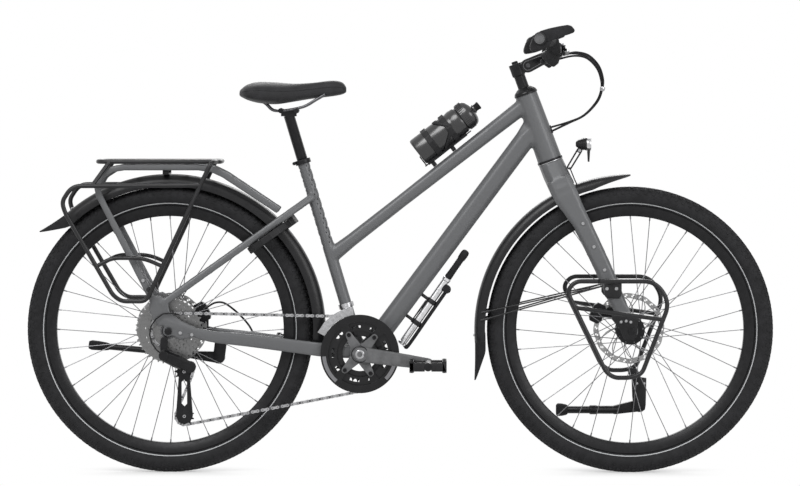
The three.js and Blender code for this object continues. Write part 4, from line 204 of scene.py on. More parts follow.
class Finish(Graph):
    """A node material for one of the bicycle's finishes, built on one Principled shader."""

    def __init__(self, name, colour, roughness, metallic=0.0, specular=0.5, coat=0.0, coat_roughness=0.1):
        self.material = bpy.data.materials.new(name)
        self.material.use_nodes = True
        super().__init__(self.material.node_tree)
        self.tree.nodes.clear()
        self.shader = self.add(
            "ShaderNodeBsdfPrincipled", Base_Color=(*colour, 1), Roughness=roughness, Metallic=metallic,
            Specular_IOR_Level=specular, Coat_Weight=coat, Coat_Roughness=coat_roughness)
        self.add("ShaderNodeOutputMaterial", Surface=self.shader.outputs["BSDF"])
        self.colour = colour
        self.roughness = roughness
        self.place = self.add("ShaderNodeTexCoord").outputs["Object"]
        self.normal = None

    def noise(self, scale, detail=3.0):
        return self.add("ShaderNodeTexNoise", Vector=self.place, Scale=scale, Detail=detail).outputs["Fac"]

    def cells(self, scale):
        return self.add("ShaderNodeTexVoronoi", Vector=self.place, Scale=scale).outputs["Distance"]

    def rings(self, centre, scale):
        """A value that changes with the distance from an axle along Y only, as turned metal does."""
        mapping = self.add("ShaderNodeMapping", Vector=self.place, Location=[-c for c in centre])
        flat = self.vectors("MULTIPLY", mapping.outputs["Vector"], (1, 0, 1))
        length = self.add("ShaderNodeVectorMath", {"operation": "LENGTH"})
        self.feed(length.inputs[0], flat)
        along = length.outputs["Value"]
        noise = self.add("ShaderNodeTexNoise", {"noise_dimensions": "1D"}, W=along, Scale=scale, Detail=2)
        return noise.outputs["Fac"]

    def vary_colour(self, pattern, darker, lighter):
        ramp = self.add("ShaderNodeValToRGB", Fac=pattern)
        for stop, place, share in zip(ramp.color_ramp.elements, (0.3, 0.7), (darker, lighter)):
            stop.position = place
            stop.color = (*[min(1, c * share) for c in self.colour], 1)
        self.feed(self.shader.inputs["Base Color"], ramp.outputs["Color"])

    def vary_roughness(self, pattern, spread):
        low, high = max(0.02, self.roughness - spread), min(1, self.roughness + spread)
        reach = self.add("ShaderNodeMapRange", Value=pattern, To_Min=low, To_Max=high)
        self.feed(self.shader.inputs["Roughness"], reach.outputs["Result"])
        return self

    def raise_by(self, pattern, distance, strength):
        """Raises the surface by a pattern, with a distance in millimetres."""
        bump = self.add("ShaderNodeBump", Height=pattern, Distance=distance * MM, Strength=strength)
        if self.normal is not None:
            self.feed(bump.inputs["Normal"], self.normal)
        self.normal = bump.outputs["Normal"]
        self.feed(self.shader.inputs["Normal"], self.normal)
        return self


FINISHES = {}


def frame_paint(colour):
    f = Finish("frame_paint", colour, 0.46, 0.3, 0.35, 0.12, 0.22)
    f.vary_colour(f.noise(2600, 2), 0.86, 1.14)
    f.vary_roughness(f.noise(30), 0.05)
    return f.raise_by(f.noise(260, 2), 0.05, 0.25)


def powder_coat(colour):
    f = Finish("powder_coat", colour, 0.36, 0.0, 0.3, 0.06, 0.2)
    f.vary_colour(f.noise(45, 4), 0.8, 1.3)
    f.vary_roughness(f.noise(60), 0.08)
    return f.raise_by(f.noise(900, 2), 0.06, 0.35)


def black_anodised(colour):
    f = Finish("black_anodised", colour, 0.36, 0.4, 0.3)
    f.vary_colour(f.noise(70, 4), 0.8, 1.35)
    f.vary_roughness(f.noise(120), 0.09)
    return f.raise_by(f.noise(1500, 1), 0.03, 0.3)


def tyre_rubber(name, axle, colour):
    f = Finish(name, colour, 0.72, 0.0, 0.22)
    f.vary_colour(f.noise(38, 5), 0.72, 1.35)
    f.vary_roughness(f.noise(90), 0.1)
    f.raise_by(f.rings(axle, 900), 0.12, 0.4)
    return f.raise_by(f.noise(700, 2), 0.08, 0.5)


def reflective_band(colour):
    f = Finish("reflective_band", colour, 0.4, 0.2, 0.6)
    f.vary_colour(f.cells(900), 0.85, 1.1)
    return f.vary_roughness(f.noise(300), 0.08)


def turned_steel(name, axle, colour, roughness=0.3):
    f = Finish(name, colour, roughness, 0.95)
    f.vary_colour(f.rings(axle, 1300), 0.75, 1.2)
    f.vary_roughness(f.noise(60), 0.08)
    return f.raise_by(f.rings(axle, 2200), 0.03, 0.5)


def drawn_steel(name, colour, roughness=0.28):
    f = Finish(name, colour, roughness, 0.95)
    f.vary_colour(f.noise(160, 4), 0.8, 1.15)
    f.vary_roughness(f.noise(240), 0.1)
    return f.raise_by(f.noise(1800, 1), 0.02, 0.4)


def moulded_plastic(name, colour, roughness, grain=0.1):
    f = Finish(name, colour, roughness, 0.0, 0.25)
    f.vary_colour(f.noise(55, 4), 0.8, 1.25)
    f.vary_roughness(f.noise(130), 0.06)
    return f.raise_by(f.cells(1400), grain, 0.4)


def soft_rubber(name, colour, roughness=0.75):
    f = Finish(name, colour, roughness, 0.0, 0.2)
    f.vary_colour(f.noise(80, 5), 0.75, 1.35)
    f.vary_roughness(f.noise(150), 0.08)
    return f.raise_by(f.noise(950, 3), 0.1, 0.5)


def ribbed_rubber(colour):
    f = Finish("grip_rubber", colour, 0.72, 0.0, 0.2)
    wave = f.add("ShaderNodeTexWave", {"bands_direction": "Y"}, Vector=f.place, Scale=85, Distortion=0.0)
    f.vary_colour(f.noise(90, 4), 0.75, 1.35)
    f.raise_by(wave.outputs["Fac"], 0.35, 0.6)
    return f.raise_by(f.noise(1100, 2), 0.08, 0.4)


def saddle_cover(colour):
    f = Finish("saddle_cover", colour, 0.58, 0.0, 0.25)
    f.shader.inputs["Sheen Weight"].default_value = 0.06
    f.vary_colour(f.noise(42, 5), 0.78, 1.3)
    f.vary_roughness(f.noise(70), 0.07)
    f.raise_by(f.cells(620), 0.14, 0.55)
    return f.raise_by(f.noise(1700, 2), 0.05, 0.4)


def bottle_plastic(colour):
    f = Finish("bottle_plastic", colour, 0.24, 0.0, 0.75)
    f.vary_colour(f.noise(24, 3), 0.8, 1.2)
    f.vary_roughness(f.noise(50), 0.05)
    return f.raise_by(f.noise(120, 2), 0.05, 0.3)


def clear_lens(name, colour, roughness=0.08):
    f = Finish(name, colour, roughness, 0.0, 0.5)
    f.shader.inputs["Transmission Weight"].default_value = 0.85
    f.shader.inputs["IOR"].default_value = 1.49
    f.vary_roughness(f.noise(60), 0.03)
    return f.raise_by(f.cells(420), 0.1, 0.3)


def make_finishes():
    colours = bpy.context.scene.bicycle_colours
    steel = tuple(colours.steel)

    def black(share=1.0):
        return tuple(c * share for c in colours.black)

    made = {
        "paint": frame_paint(tuple(colours.paint)),
        "powder": powder_coat(black()),
        "anodised": black_anodised(black(0.9)),
        "rear_tread": tyre_rubber("rear_tyre_rubber", at(*REAR_AXLE), black(1.1)),
        "front_tread": tyre_rubber("front_tyre_rubber", at(*FRONT_AXLE), black(1.1)),
        "band": reflective_band((0.5, 0.51, 0.52)),
        "rear_steel": turned_steel("rear_turned_steel", at(*REAR_AXLE), steel),
        "front_steel": turned_steel("front_turned_steel", at(*FRONT_AXLE), steel),
        "crank": moulded_plastic("crank_coating", (0.105, 0.106, 0.109), 0.4, 0.04),
        "ring_steel": turned_steel("chainring_alloy", at(*BRACKET), (0.03, 0.03, 0.031), 0.36),
        # Painted highlight: silver grey for the lamps' reflections in the chain guard's groove
        "groove_highlight": turned_steel("ring_inlay", at(*BRACKET), (0.22, 0.22, 0.23), 0.32),
        "cogs": turned_steel("sprocket_steel", at(*REAR_AXLE), (0.2, 0.2, 0.2), 0.34),
        "chain": drawn_steel("chain_steel", (0.2, 0.2, 0.195), 0.34),
        "spoke": drawn_steel("spoke_steel", (0.13, 0.13, 0.135), 0.3),
        "bolt": drawn_steel("bolt_steel", (0.4, 0.4, 0.41), 0.25),
        "pump": drawn_steel("pump_alloy", (0.66, 0.66, 0.67), 0.24),
        "dark_steel": drawn_steel("dark_steel", (0.1, 0.1, 0.105), 0.36),
        "guard": moulded_plastic("mudguard_plastic", black(0.85), 0.34, 0.05),
        "plastic": moulded_plastic("moulded_plastic", black(), 0.5, 0.12),
        "gloss": moulded_plastic("gloss_plastic", black(0.7), 0.16, 0.03),
        "rubber": soft_rubber("black_rubber", black()),
        "grip": ribbed_rubber(black(1.2)),
        "saddle": saddle_cover(black(1.3)),
        "bottle": bottle_plastic(black(0.75)),
        "lens": clear_lens("lamp_lens", (0.95, 0.96, 0.97)),
        "reflector": clear_lens("amber_reflector", (0.8, 0.2, 0.02), 0.2),
        "mirror": drawn_steel("lamp_reflector", (0.55, 0.55, 0.56), 0.2),
    }
    made["reflector"].shader.inputs["Transmission Weight"].default_value = 0.25
    FINISHES.update({name: f.material for name, f in made.items()})


# Meshes

def smooth_by(mesh, angle):
    mesh.polygons.foreach_set("use_smooth", [True] * len(mesh.polygons))
    mesh.set_sharp_from_angle(angle=radians(angle))


def placed(name, data):
    """A new object of the scene, at the origin."""
    obj = bpy.data.objects.new(name, data)
    bpy.context.scene.collection.objects.link(obj)
    return obj


def shape(name, parts, finish, angle=40, bevel=0.0, segments=2):
    """Joins lists of corners and faces into one piece whose faces point out."""
    bm = bmesh.new()
    for corners, faces in parts:
        made = [bm.verts.new(c) for c in corners]
        for face in faces:
            bm.faces.new([made[i] for i in face])
    bmesh.ops.remove_doubles(bm, verts=bm.verts, dist=1e-6)
    bmesh.ops.recalc_face_normals(bm, faces=bm.faces)
    mesh = bpy.data.meshes.new(name)
    bm.to_mesh(mesh)
    bm.free()
    mesh.materials.append(FINISHES[finish])
    smooth_by(mesh, angle)
    obj = placed(name, mesh)
    if bevel:
        soften(obj, bevel, segments, angle)
    return obj


def settled(obj):
    """Applies the piece's modifiers, so that its own mesh is the final one."""
    evaluated = obj.evaluated_get(bpy.context.evaluated_depsgraph_get())
    mesh = bpy.data.meshes.new_from_object(evaluated)
    old = obj.data
    obj.modifiers.clear()
    obj.data = mesh
    bpy.data.meshes.remove(old)
    return obj


def soften(obj, width, segments=2, angle=40):
    """Rounds the piece's sharp edges by a width in millimetres."""
    bevel = obj.modifiers.new("edges", "BEVEL")
    bevel.width = width * MM
    bevel.segments = segments
    bevel.limit_method = "ANGLE"
    bevel.angle_limit = radians(angle)
    bevel.use_clamp_overlap = True
    settled(obj)
    smooth_by(obj.data, angle)
    return obj


def strip(rings, closed_along=False):
    """Corners and faces of a skin through closed rings of equal counts, capped where it ends."""
    count = len(rings[0])
    corners = [p for ring in rings for p in ring]
    faces = []
    for i in range(len(rings) if closed_along else len(rings) - 1):
        a, b = i * count, (i + 1) % len(rings) * count
        for j in range(count):
            k = (j + 1) % count
            faces.append((a + j, a + k, b + k, b + j))
    if not closed_along:
        faces.append(tuple(range(count)))
        faces.append(tuple(range(len(corners) - count, len(corners))))
    return corners, faces


def turned(profile, centre, axis, steps):
    """A profile of (radius, along) pairs in millimetres, turned round an axis."""
    axis = Vector(axis).normalized()
    across = axis.cross(UP if abs(axis.z) < 0.9 else LATERAL).normalized()
    other = axis.cross(across)
    rings = []
    for angle in round_angles(steps):
        out = across * cos(angle) + other * sin(angle)
        rings.append([centre + out * (r * MM) + axis * (h * MM) for r, h in profile])
    return strip(rings, closed_along=True)


def wheel(profile, centre, steps, y=0.0):
    """A profile turned round a level axle through a spot of the side view."""
    return turned(profile, at(*centre, y), LATERAL, steps)


def frames_along(points, first=None):
    """A tangent, an up and a side for each point of a path, turning as little as they can."""
    count = len(points)
    tangents = [(points[min(i + 1, count - 1)] - points[max(i - 1, 0)]).normalized() for i in range(count)]
    up = first or (LATERAL if abs(tangents[0].y) < 0.8 else UP)
    found = []
    for t in tangents:
        up = (up - t * up.dot(t)).normalized()
        found.append((t, up, t.cross(up)))
    return found


def tube(points, radius, sides=16, first=None):
    """A round tube along points, with one radius or one for each point, in millimetres."""
    radii = radius if hasattr(radius, "__len__") else [radius] * len(points)
    rings = []
    for p, r, (_, up, side) in zip(points, radii, frames_along(points, first)):
        rings.append([p + (up * cos(a) + side * sin(a)) * (r * MM) for a in round_angles(sides)])
    return strip(rings)


def rod(start, end, radius, sides=16):
    return tube([start, end], radius, sides)


def flowing(corners, steps):
    """A smooth curve through the given points."""
    made = []
    count = len(corners)
    for i in range(count - 1):
        p0, p1 = corners[max(i - 1, 0)], corners[i]
        p2, p3 = corners[i + 1], corners[min(i + 2, count - 1)]
        for j in range(steps):
            t = j / steps
            made.append(0.5 * (
                2 * p1 + (p2 - p0) * t + (2 * p0 - 5 * p1 + 4 * p2 - p3) * t * t
                + (3 * p1 - p0 - 3 * p2 + p3) * t ** 3
            ))
    made.append(corners[-1].copy())
    return made


def plate(outline, y_low, y_high):
    """A flat outline of points, given a thickness along Y in millimetres."""
    rings = [[Vector((p.x, y * MM, p.z)) for p in outline] for y in (y_low, y_high)]
    return strip(rings)


def side_plate(outline, side, near, far):
    """An outline in the side view, given a thickness between two distances on one side."""
    return plate([at(*corner) for corner in outline], *between(side, near, far))


def ring_plate(outer, inner, y_low, y_high):
    """A flat ring between two outlines of equal counts."""
    rings = [
        [Vector((p.x, y * MM, p.z)) for p in outline]
        for outline, y in ((outer, y_low), (outer, y_high), (inner, y_high), (inner, y_low))
    ]
    return strip([list(r) for r in zip(*rings)], closed_along=True)


def pierced(outline, centre, radii, open_cell, y):
    """A thin sheet between inner radii and an outline, some of whose cells stay open."""
    middle = at(*centre, y)
    corners, faces = [], []
    for p in outline:
        away = Vector((p.x - middle.x, 0, p.z - middle.z))
        corners += [middle + away.normalized() * (radius * MM) for radius in radii] + [middle + away]
    rows = len(radii) + 1
    for i in range(len(outline)):
        for k in range(rows - 1):
            if not open_cell(i / len(outline), k):
                a, b = i * rows + k, (i + 1) % len(outline) * rows + k
                faces.append((a, a + 1, b + 1, b))
    return corners, faces


def thickened(obj, thickness, angle=30):
    """Gives a piece made of thin sheets a thickness in millimetres."""
    wall = obj.modifiers.new("thickness", "SOLIDIFY")
    wall.thickness = thickness * MM
    wall.offset = 0
    settled(obj)
    smooth_by(obj.data, angle)
    return obj


def bent(corners, bend, steps=8):
    """Straight runs between corners given in metres, joined by round bends of a reach in millimetres."""
    line = [corners[0]]
    for before, corner, after in zip(corners, corners[1:], corners[2:]):
        inward, outward = before - corner, after - corner
        reach = min(bend * MM, inward.length * 0.48, outward.length * 0.48)
        start, end = corner + inward.normalized() * reach, corner + outward.normalized() * reach
        for i in range(steps + 1):
            t = i / steps
            line.append(start * (1 - t) ** 2 + corner * (2 * t * (1 - t)) + end * t ** 2)
    return line + [corners[-1]]


def circle(centre, radius, count):
    return [on_circle(centre, radius, angle) for angle in round_angles(count)]


def hull_outline(a, a_radius, b, b_radius, steps=14):
    """The outline round two circles, each given by a centre and radius in millimetres."""
    dx, dz = b[0] - a[0], b[1] - a[1]
    heading = atan2(dz, dx)
    lean = acos(max(-1, min(1, (a_radius - b_radius) / hypot(dx, dz))))
    points = []
    for centre, radius, start, stop in (
        (a, a_radius, heading + lean, heading + TURN - lean),
        (b, b_radius, heading - lean, heading + lean),
    ):
        points += [on_circle(centre, radius, start + (stop - start) * i / steps) for i in range(steps + 1)]
    return points


def hull_plate(a, a_radius, b, b_radius, y_low, y_high, steps=14):
    return plate(hull_outline(a, a_radius, b, b_radius, steps), y_low, y_high)


def drum(centre, radius, y_low, y_high, sides=32):
    return plate(circle(centre, radius, sides), y_low, y_high)


def joined_copy(node, name):
    """A copy of a solid of the frame, with its loose triangles merged into clean faces."""
    mesh = frame["nodes"][node].data.copy()
    bm = bmesh.new()
    bm.from_mesh(mesh)
    bmesh.ops.remove_doubles(bm, verts=bm.verts, dist=2e-6)
    bmesh.ops.dissolve_limit(bm, angle_limit=radians(0.6), verts=bm.verts, edges=bm.edges)
    bm.to_mesh(mesh)
    bm.free()
    return placed(name, mesh)


def body_of(node):
    return frame["nodes"][node]["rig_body"]


def slot_of(node):
    found = [s["material_slot"] for s in frame["record"]["subparts"] if s["node"] == node]
    return found[0] if found else None


def stand_for(obj, node, hides=True):
    """Lets a piece ride on a node's body, and stand for the node."""
    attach(obj, body_of(node))
    if hides:
        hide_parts(node)
    slot = slot_of(node)
    return obj


def skin(node, name, parts, finish, angle=40, bevel=0.0, segments=2):
    """A new piece that is seen in place of the node's own solid."""
    return stand_for(shape(name, parts, finish, angle, bevel, segments), node)


def trim(node, name, parts, finish, angle=40, bevel=0.0, segments=2):
    """A new piece that rides with the node and replaces nothing."""
    return stand_for(shape(name, parts, finish, angle, bevel, segments), node, hides=False)


def crisp(node, finish, bevel, angle=50):
    """The node's own form with clean faces, smooth where it is round and softened where it is sharp."""
    obj = joined_copy(node, node + "_skin")
    obj.data.materials.clear()
    obj.data.materials.append(FINISHES[finish])
    soften(obj, bevel, angle=angle)
    return stand_for(obj, node)


def rounded(node, finish, voxel, passes):
    """The node's own form as one cast or moulded skin, with its facets and joints blended."""
    obj = joined_copy(node, node + "_skin")
    remesh = obj.modifiers.new("skin", "REMESH")
    remesh.mode = "VOXEL"
    remesh.voxel_size = voxel * MM
    smooth = obj.modifiers.new("blend", "SMOOTH")
    smooth.factor = 0.5
    smooth.iterations = passes
    settled(obj)
    obj.data.materials.clear()
    obj.data.materials.append(FINISHES[finish])
    smooth_by(obj.data, 60)
    return stand_for(obj, node)


# Geometry Nodes trees

class Tree(Graph):
    """Builds one Geometry Nodes tree whose sizes are named inputs."""

    def __init__(self, name):
        super().__init__(bpy.data.node_groups.new(name, "GeometryNodeTree"))
        self.source = self.add("NodeGroupInput")
        self.sink = self.add("NodeGroupOutput")
        self.tree.interface.new_socket("Geometry", in_out="OUTPUT", socket_type="NodeSocketGeometry")

    def ask(self, name, kind, default=None):
        socket = self.tree.interface.new_socket(name, in_out="INPUT", socket_type="NodeSocket" + kind)
        if default is not None:
            socket.default_value = default
        return self.source.outputs[name]

    def facing(self, up, along):
        turn = self.add("FunctionNodeAxesToRotation", {"primary_axis": "Z", "secondary_axis": "X"})
        self.feed(turn.inputs[0], up)
        self.feed(turn.inputs[1], along)
        return turn.outputs["Rotation"]

    def end(self, points, item, rotation, scale, material):
        """Sets the item on every point, as real mesh of one material."""
        shown = self.add("GeometryNodeObjectInfo", Object=item).outputs["Geometry"]
        put = self.add(
            "GeometryNodeInstanceOnPoints", Points=points, Instance=shown, Rotation=rotation, Scale=scale)
        realised = self.add("GeometryNodeRealizeInstances", Geometry=put.outputs["Instances"])
        done = self.add("GeometryNodeSetMaterial", Geometry=realised.outputs["Geometry"], Material=material)
        self.feed(self.sink.inputs["Geometry"], done.outputs["Geometry"])
        return self.tree


def places_tree():
    """Puts an item on every point, turned by the point's own axes and stretched by its own size."""
    tree = Tree("repeat_at_places")
    places = tree.ask("Places", "Geometry")
    item = tree.ask("Item", "Object")
    size = tree.ask("Size", "Float", 1.0)
    material = tree.ask("Finish", "Material")

    def stored(name):
        node = tree.add("GeometryNodeInputNamedAttribute", {"data_type": "FLOAT_VECTOR"}, Name=name)
        return node.outputs["Attribute"]

    rotation = tree.facing(stored("item_up"), stored("item_along"))
    return tree.end(places, item, rotation, tree.vectors("SCALE", stored("item_stretch"), size), material)


def wheel_row_tree():
    """Sets one row of items evenly round a wheel, each standing out from a leaning line."""
    tree = Tree("repeat_round_wheel")
    tree.ask("Geometry", "Geometry")
    item = tree.ask("Item", "Object")
    count = tree.ask("Count", "Int", 100)
    radius = tree.ask("Radius", "Float", 0.36)
    side = tree.ask("Side", "Float", 0.0)
    lean = tree.ask("Lean", "Float", 0.0)
    twist = tree.ask("Twist", "Float", 0.0)
    phase = tree.ask("Phase", "Float", 0.0)
    axle = tree.ask("Axle", "Vector")
    material = tree.ask("Finish", "Material")
    index = tree.add("GeometryNodeInputIndex").outputs["Index"]
    share = tree.sums("DIVIDE", tree.sums("ADD", index, phase), count)
    angle = tree.sums("MULTIPLY", share, TURN)
    cosine, sine = tree.sums("COSINE", angle), tree.sums("SINE", angle)
    place = tree.vectors("ADD", tree.vectors("SCALE", tree.vector(cosine, 0.0, sine), radius), axle)
    flat = tree.sums("COSINE", lean)
    leaning = tree.vector(
        tree.sums("MULTIPLY", cosine, flat), tree.sums("SINE", lean), tree.sums("MULTIPLY", sine, flat))
    onward = tree.vector(tree.sums("MULTIPLY", sine, -1.0), 0.0, cosine)
    twisting = tree.add("FunctionNodeAxisAngleToRotation", Axis=(0, 0, 1), Angle=twist)
    both = tree.add("FunctionNodeRotateRotation", {"rotation_space": "LOCAL"})
    tree.feed(both.inputs[0], tree.facing(leaning, onward))
    tree.feed(both.inputs[1], twisting.outputs["Rotation"])
    spots = tree.vectors("ADD", place, tree.vector(0.0, side, 0.0))
    points = tree.add("GeometryNodePoints", Count=count, Position=spots).outputs["Points"]
    return tree.end(points, item, both.outputs["Rotation"], (1, 1, 1), material)


TREES = {}


def grown(name, tree, carrier, inputs, angle=40):
    """Runs a tree on a carrier mesh and keeps the result as a plain piece."""
    obj = placed(name, carrier)
    modifier = obj.modifiers.new("repeat", "NODES")
    modifier.node_group = tree
    for socket in tree.interface.items_tree:
        if socket.item_type == "SOCKET" and socket.in_out == "INPUT" and socket.name in inputs:
            modifier[socket.identifier] = inputs[socket.name]
    bpy.context.view_layer.update()
    settled(obj)
    smooth_by(obj.data, angle)
    return obj


def repeated(name, item, places, finish, angle=40):
    """Copies an item to places, each a point, an up, an along and a stretch."""
    mesh = bpy.data.meshes.new(name + "_places")
    mesh.from_pydata([p[0] for p in places], [], [])
    for label, column in (("item_up", 1), ("item_along", 2), ("item_stretch", 3)):
        layer = mesh.attributes.new(label, "FLOAT_VECTOR", "POINT")
        rows = np.array([list(p[column]) for p in places], np.float32)
        layer.data.foreach_set("vector", rows.ravel())
    if "places" not in TREES:
        TREES["places"] = places_tree()
    inputs = {"Item": item, "Size": 1.0, "Finish": FINISHES[finish]}
    return grown(name, TREES["places"], mesh, inputs, angle)


def wheel_row(name, item, axle, count, radius, side, finish, lean=0.0, twist=0.0, phase=0.0):
    """One row of items round a wheel, with lengths in millimetres and angles in degrees."""
    if "row" not in TREES:
        TREES["row"] = wheel_row_tree()
    inputs = {
        "Item": item, "Count": count, "Radius": radius * MM, "Side": side * MM, "Lean": radians(lean),
        "Twist": radians(twist), "Phase": phase, "Axle": list(at(*axle)), "Finish": FINISHES[finish],
    }
    return grown(name, TREES["row"], bpy.data.meshes.new(name + "_base"), inputs)


def item_of(name, parts):
    """A shape that only Geometry Nodes copy. It is removed once its copies are made."""
    return shape(name, parts, "bolt")


def box_item(half_x, half_y, low, high):
    """Corners and faces of a block that stands on a place."""
    corners = ((-half_x, -half_y), (half_x, -half_y), (half_x, half_y), (-half_x, half_y))
    return strip([[Vector((x, y, height)) for x, y in corners] for height in (low, high)])


def drop(*objects):
    for obj in objects:
        bpy.data.objects.remove(obj)


def united(name, objects):
    """Joins plain pieces that share one finish and one body."""
    bm = bmesh.new()
    for obj in objects:
        bm.from_mesh(obj.data)
    mesh = objects[0].data.copy()
    bm.to_mesh(mesh)
    bm.free()
    mesh.name = name
    drop(*objects)
    return placed(name, mesh)


# Settings

class BicycleColours(bpy.types.PropertyGroup):
    """Colours that a rider would choose"""

    paint: bpy.props.FloatVectorProperty(
        name="Frame paint", description="Colour of the frame and fork", subtype="COLOR", size=3,
        min=0, max=1, default=(0.107, 0.109, 0.113))
    black: bpy.props.FloatVectorProperty(
        name="Black parts", description="Colour of the black metal and plastic", subtype="COLOR", size=3,
        min=0, max=1, default=(0.011, 0.011, 0.012))
    steel: bpy.props.FloatVectorProperty(
        name="Bright steel", description="Colour of the brake discs and sprockets", subtype="COLOR", size=3,
        min=0, max=1, default=(0.36, 0.36, 0.36))


class BicycleWheels(bpy.types.PropertyGroup):
    """Sizes of the tyres, rims and spokes"""

    steps: bpy.props.IntProperty(
        name="Steps", description="Facets round each wheel", min=32, max=256, default=144)
    blocks: bpy.props.IntProperty(
        name="Tread blocks", description="Blocks in each row of the tread", min=20, max=200, default=112)
    block_height: bpy.props.FloatProperty(
        name="Block height", description="How far the tread stands out", unit="LENGTH", min=0, max=0.004,
        default=0.0015, precision=4)
    spokes: bpy.props.IntProperty(
        name="Spokes", description="Spokes in each wheel", min=12, max=48, default=36)
    spoke_radius: bpy.props.FloatProperty(
        name="Spoke radius", description="Half the thickness of a spoke", unit="LENGTH",
        min=0.0005, max=0.002, default=0.001, precision=4)


class BicycleDrive(bpy.types.PropertyGroup):
    """Sizes of the chain"""

    plate_height: bpy.props.FloatProperty(
        name="Plate height", description="Height of a chain plate", unit="LENGTH", min=0.004, max=0.012,
        default=0.008, precision=4)
    roller_radius: bpy.props.FloatProperty(
        name="Roller radius", description="Half the thickness of a roller", unit="LENGTH",
        min=0.002, max=0.004, default=0.0036, precision=4)


class BicycleStage(bpy.types.PropertyGroup):
    """The floor, the light and the camera"""

    floor_tone: bpy.props.FloatProperty(
        name="Floor tone", description="How pale the floor is", min=0, max=1, default=0.9)
    key_power: bpy.props.FloatProperty(
        name="Key light", description="Power of the large lamp", unit="POWER", min=0, max=5000, default=230)
    fill_power: bpy.props.FloatProperty(
        name="Fill light", description="Power of the second lamp", unit="POWER", min=0, max=5000, default=90)
    sky: bpy.props.FloatProperty(
        name="Sky", description="Strength of the even light from all round", min=0, max=2, default=0.42)


# Stage, in metres

CAMERA = {"place": (0.075, -8.592, 0.940), "aim": (0, 0, 0.578), "lens": 153.7, "sensor": 36, "reach": 100}
FLOOR_REACH = 9.0
WHITE = (1, 1, 1, 1)
# Where each lamp stands, what it is aimed at, and its size
LAMPS = {
    "key": ((-2.2, -4.2, 4.6), (0, 0, 0.5), 3.2),
    "fill": ((3.6, -3.4, 2.2), (0.2, 0, 0.5), 2.6),
    "back": ((0.4, 4.0, 3.4), (0, 0, 0.6), 3.0),
}
BACK_POWER_SHARE = 1.4
# How far each tyre's shadow reaches along and across the bicycle, and how much of the white it keeps
TYRE_SHADOW = {"along": 0.3, "across": 0.16, "white": 0.3}


def turned_to(place, target):
    return (Vector(target) - Vector(place)).to_track_quat("-Z", "Y").to_euler()


def lamp(name, power):
    place, target, size = LAMPS[name]
    data = bpy.data.lights.new(name, "AREA")
    data.energy = power
    data.size = size
    obj = placed(name, data)
    obj.location = place
    obj.rotation_euler = turned_to(place, target)


def seen_directly(graph):
    """A value of 1 for rays from the eye, in mirrors and through glass."""
    path = graph.add("ShaderNodeLightPath")
    total = path.outputs["Is Camera Ray"]
    for name in ("Is Glossy Ray", "Is Transmission Ray"):
        total = graph.sums("MAXIMUM", total, path.outputs[name])
    return total


def stage_world(strength):
    """Even light from all round, with a white that only the eye, mirrors and glass see."""
    world = bpy.data.worlds.new("studio")
    bpy.context.scene.world = world
    world.use_nodes = True
    graph = Graph(world.node_tree)
    graph.tree.nodes.clear()
    soft = graph.add("ShaderNodeBackground", Color=WHITE, Strength=strength)
    plain = graph.add("ShaderNodeBackground", Color=WHITE)
    shown = graph.chosen(seen_directly(graph), soft.outputs["Background"], plain.outputs["Background"])
    graph.add("ShaderNodeOutputWorld", Surface=shown)


def away_from_tyres(graph):
    """A value that rises to 1 away from the two places where the tyres stand."""
    place = graph.add("ShaderNodeSeparateXYZ", Vector=graph.add("ShaderNodeTexCoord").outputs["Object"])
    from_tyre = graph.sums("SUBTRACT", graph.sums("ABSOLUTE", place.outputs["X"]), FRONT_AXLE[0] * MM)
    ahead = graph.sums("DIVIDE", from_tyre, TYRE_SHADOW["along"])
    aside = graph.sums("DIVIDE", place.outputs["Y"], TYRE_SHADOW["across"])
    squares = [graph.sums("POWER", way, 2.0) for way in (ahead, aside)]
    distance = graph.sums("SQRT", graph.sums("ADD", *squares))
    smooth = {"interpolation_type": "SMOOTHSTEP"}
    share = graph.add("ShaderNodeMapRange", smooth, Value=distance, To_Min=TYRE_SHADOW["white"])
    return share.outputs["Result"]


def stage_floor(tone):
    """A pale floor that shows as white and keeps a faint shadow under the tyres."""
    mesh = bpy.data.meshes.new("floor")
    corners = [(x * FLOOR_REACH, y * FLOOR_REACH, 0) for x, y in ((-1, -1), (1, -1), (1, 1), (-1, 1))]
    mesh.from_pydata(corners, [], [(0, 1, 2, 3)])
    material = bpy.data.materials.new("pale_floor")
    material.use_nodes = True
    graph = Graph(material.node_tree)
    graph.tree.nodes.clear()
    matt = graph.add("ShaderNodeBsdfDiffuse", Color=(tone, tone, tone, 1))
    glow = graph.add("ShaderNodeEmission", Color=WHITE)
    share = graph.sums("MULTIPLY", seen_directly(graph), away_from_tyres(graph))
    shown = graph.chosen(share, matt.outputs["BSDF"], glow.outputs["Emission"])
    graph.add("ShaderNodeOutputMaterial", Surface=shown)
    mesh.materials.append(material)
    placed("floor", mesh)


def stage_camera():
    data = bpy.data.cameras.new("camera")
    data.sensor_width = CAMERA["sensor"]
    data.lens = CAMERA["lens"]
    data.clip_end = CAMERA["reach"]
    camera = placed("camera", data)
    camera.location = CAMERA["place"]
    camera.rotation_euler = turned_to(camera.location, CAMERA["aim"])
    bpy.context.scene.camera = camera


class BuildStage(bpy.types.Operator):
    """Make the floor, the lamps, the sky, the camera and the finishes"""

    bl_idname = "bicycle.build_stage"
    bl_label = "Stage and finishes"

    def execute(self, context):
        stage = context.scene.bicycle_stage
        make_finishes()
        stage_camera()
        stage_world(stage.sky)
        stage_floor(stage.floor_tone)
        lamp("key", stage.key_power)
        lamp("fill", stage.fill_power)
        lamp("back", stage.fill_power * BACK_POWER_SHARE)
        context.scene.view_settings.view_transform = "Standard"
        return {"FINISHED"}


# Wheels

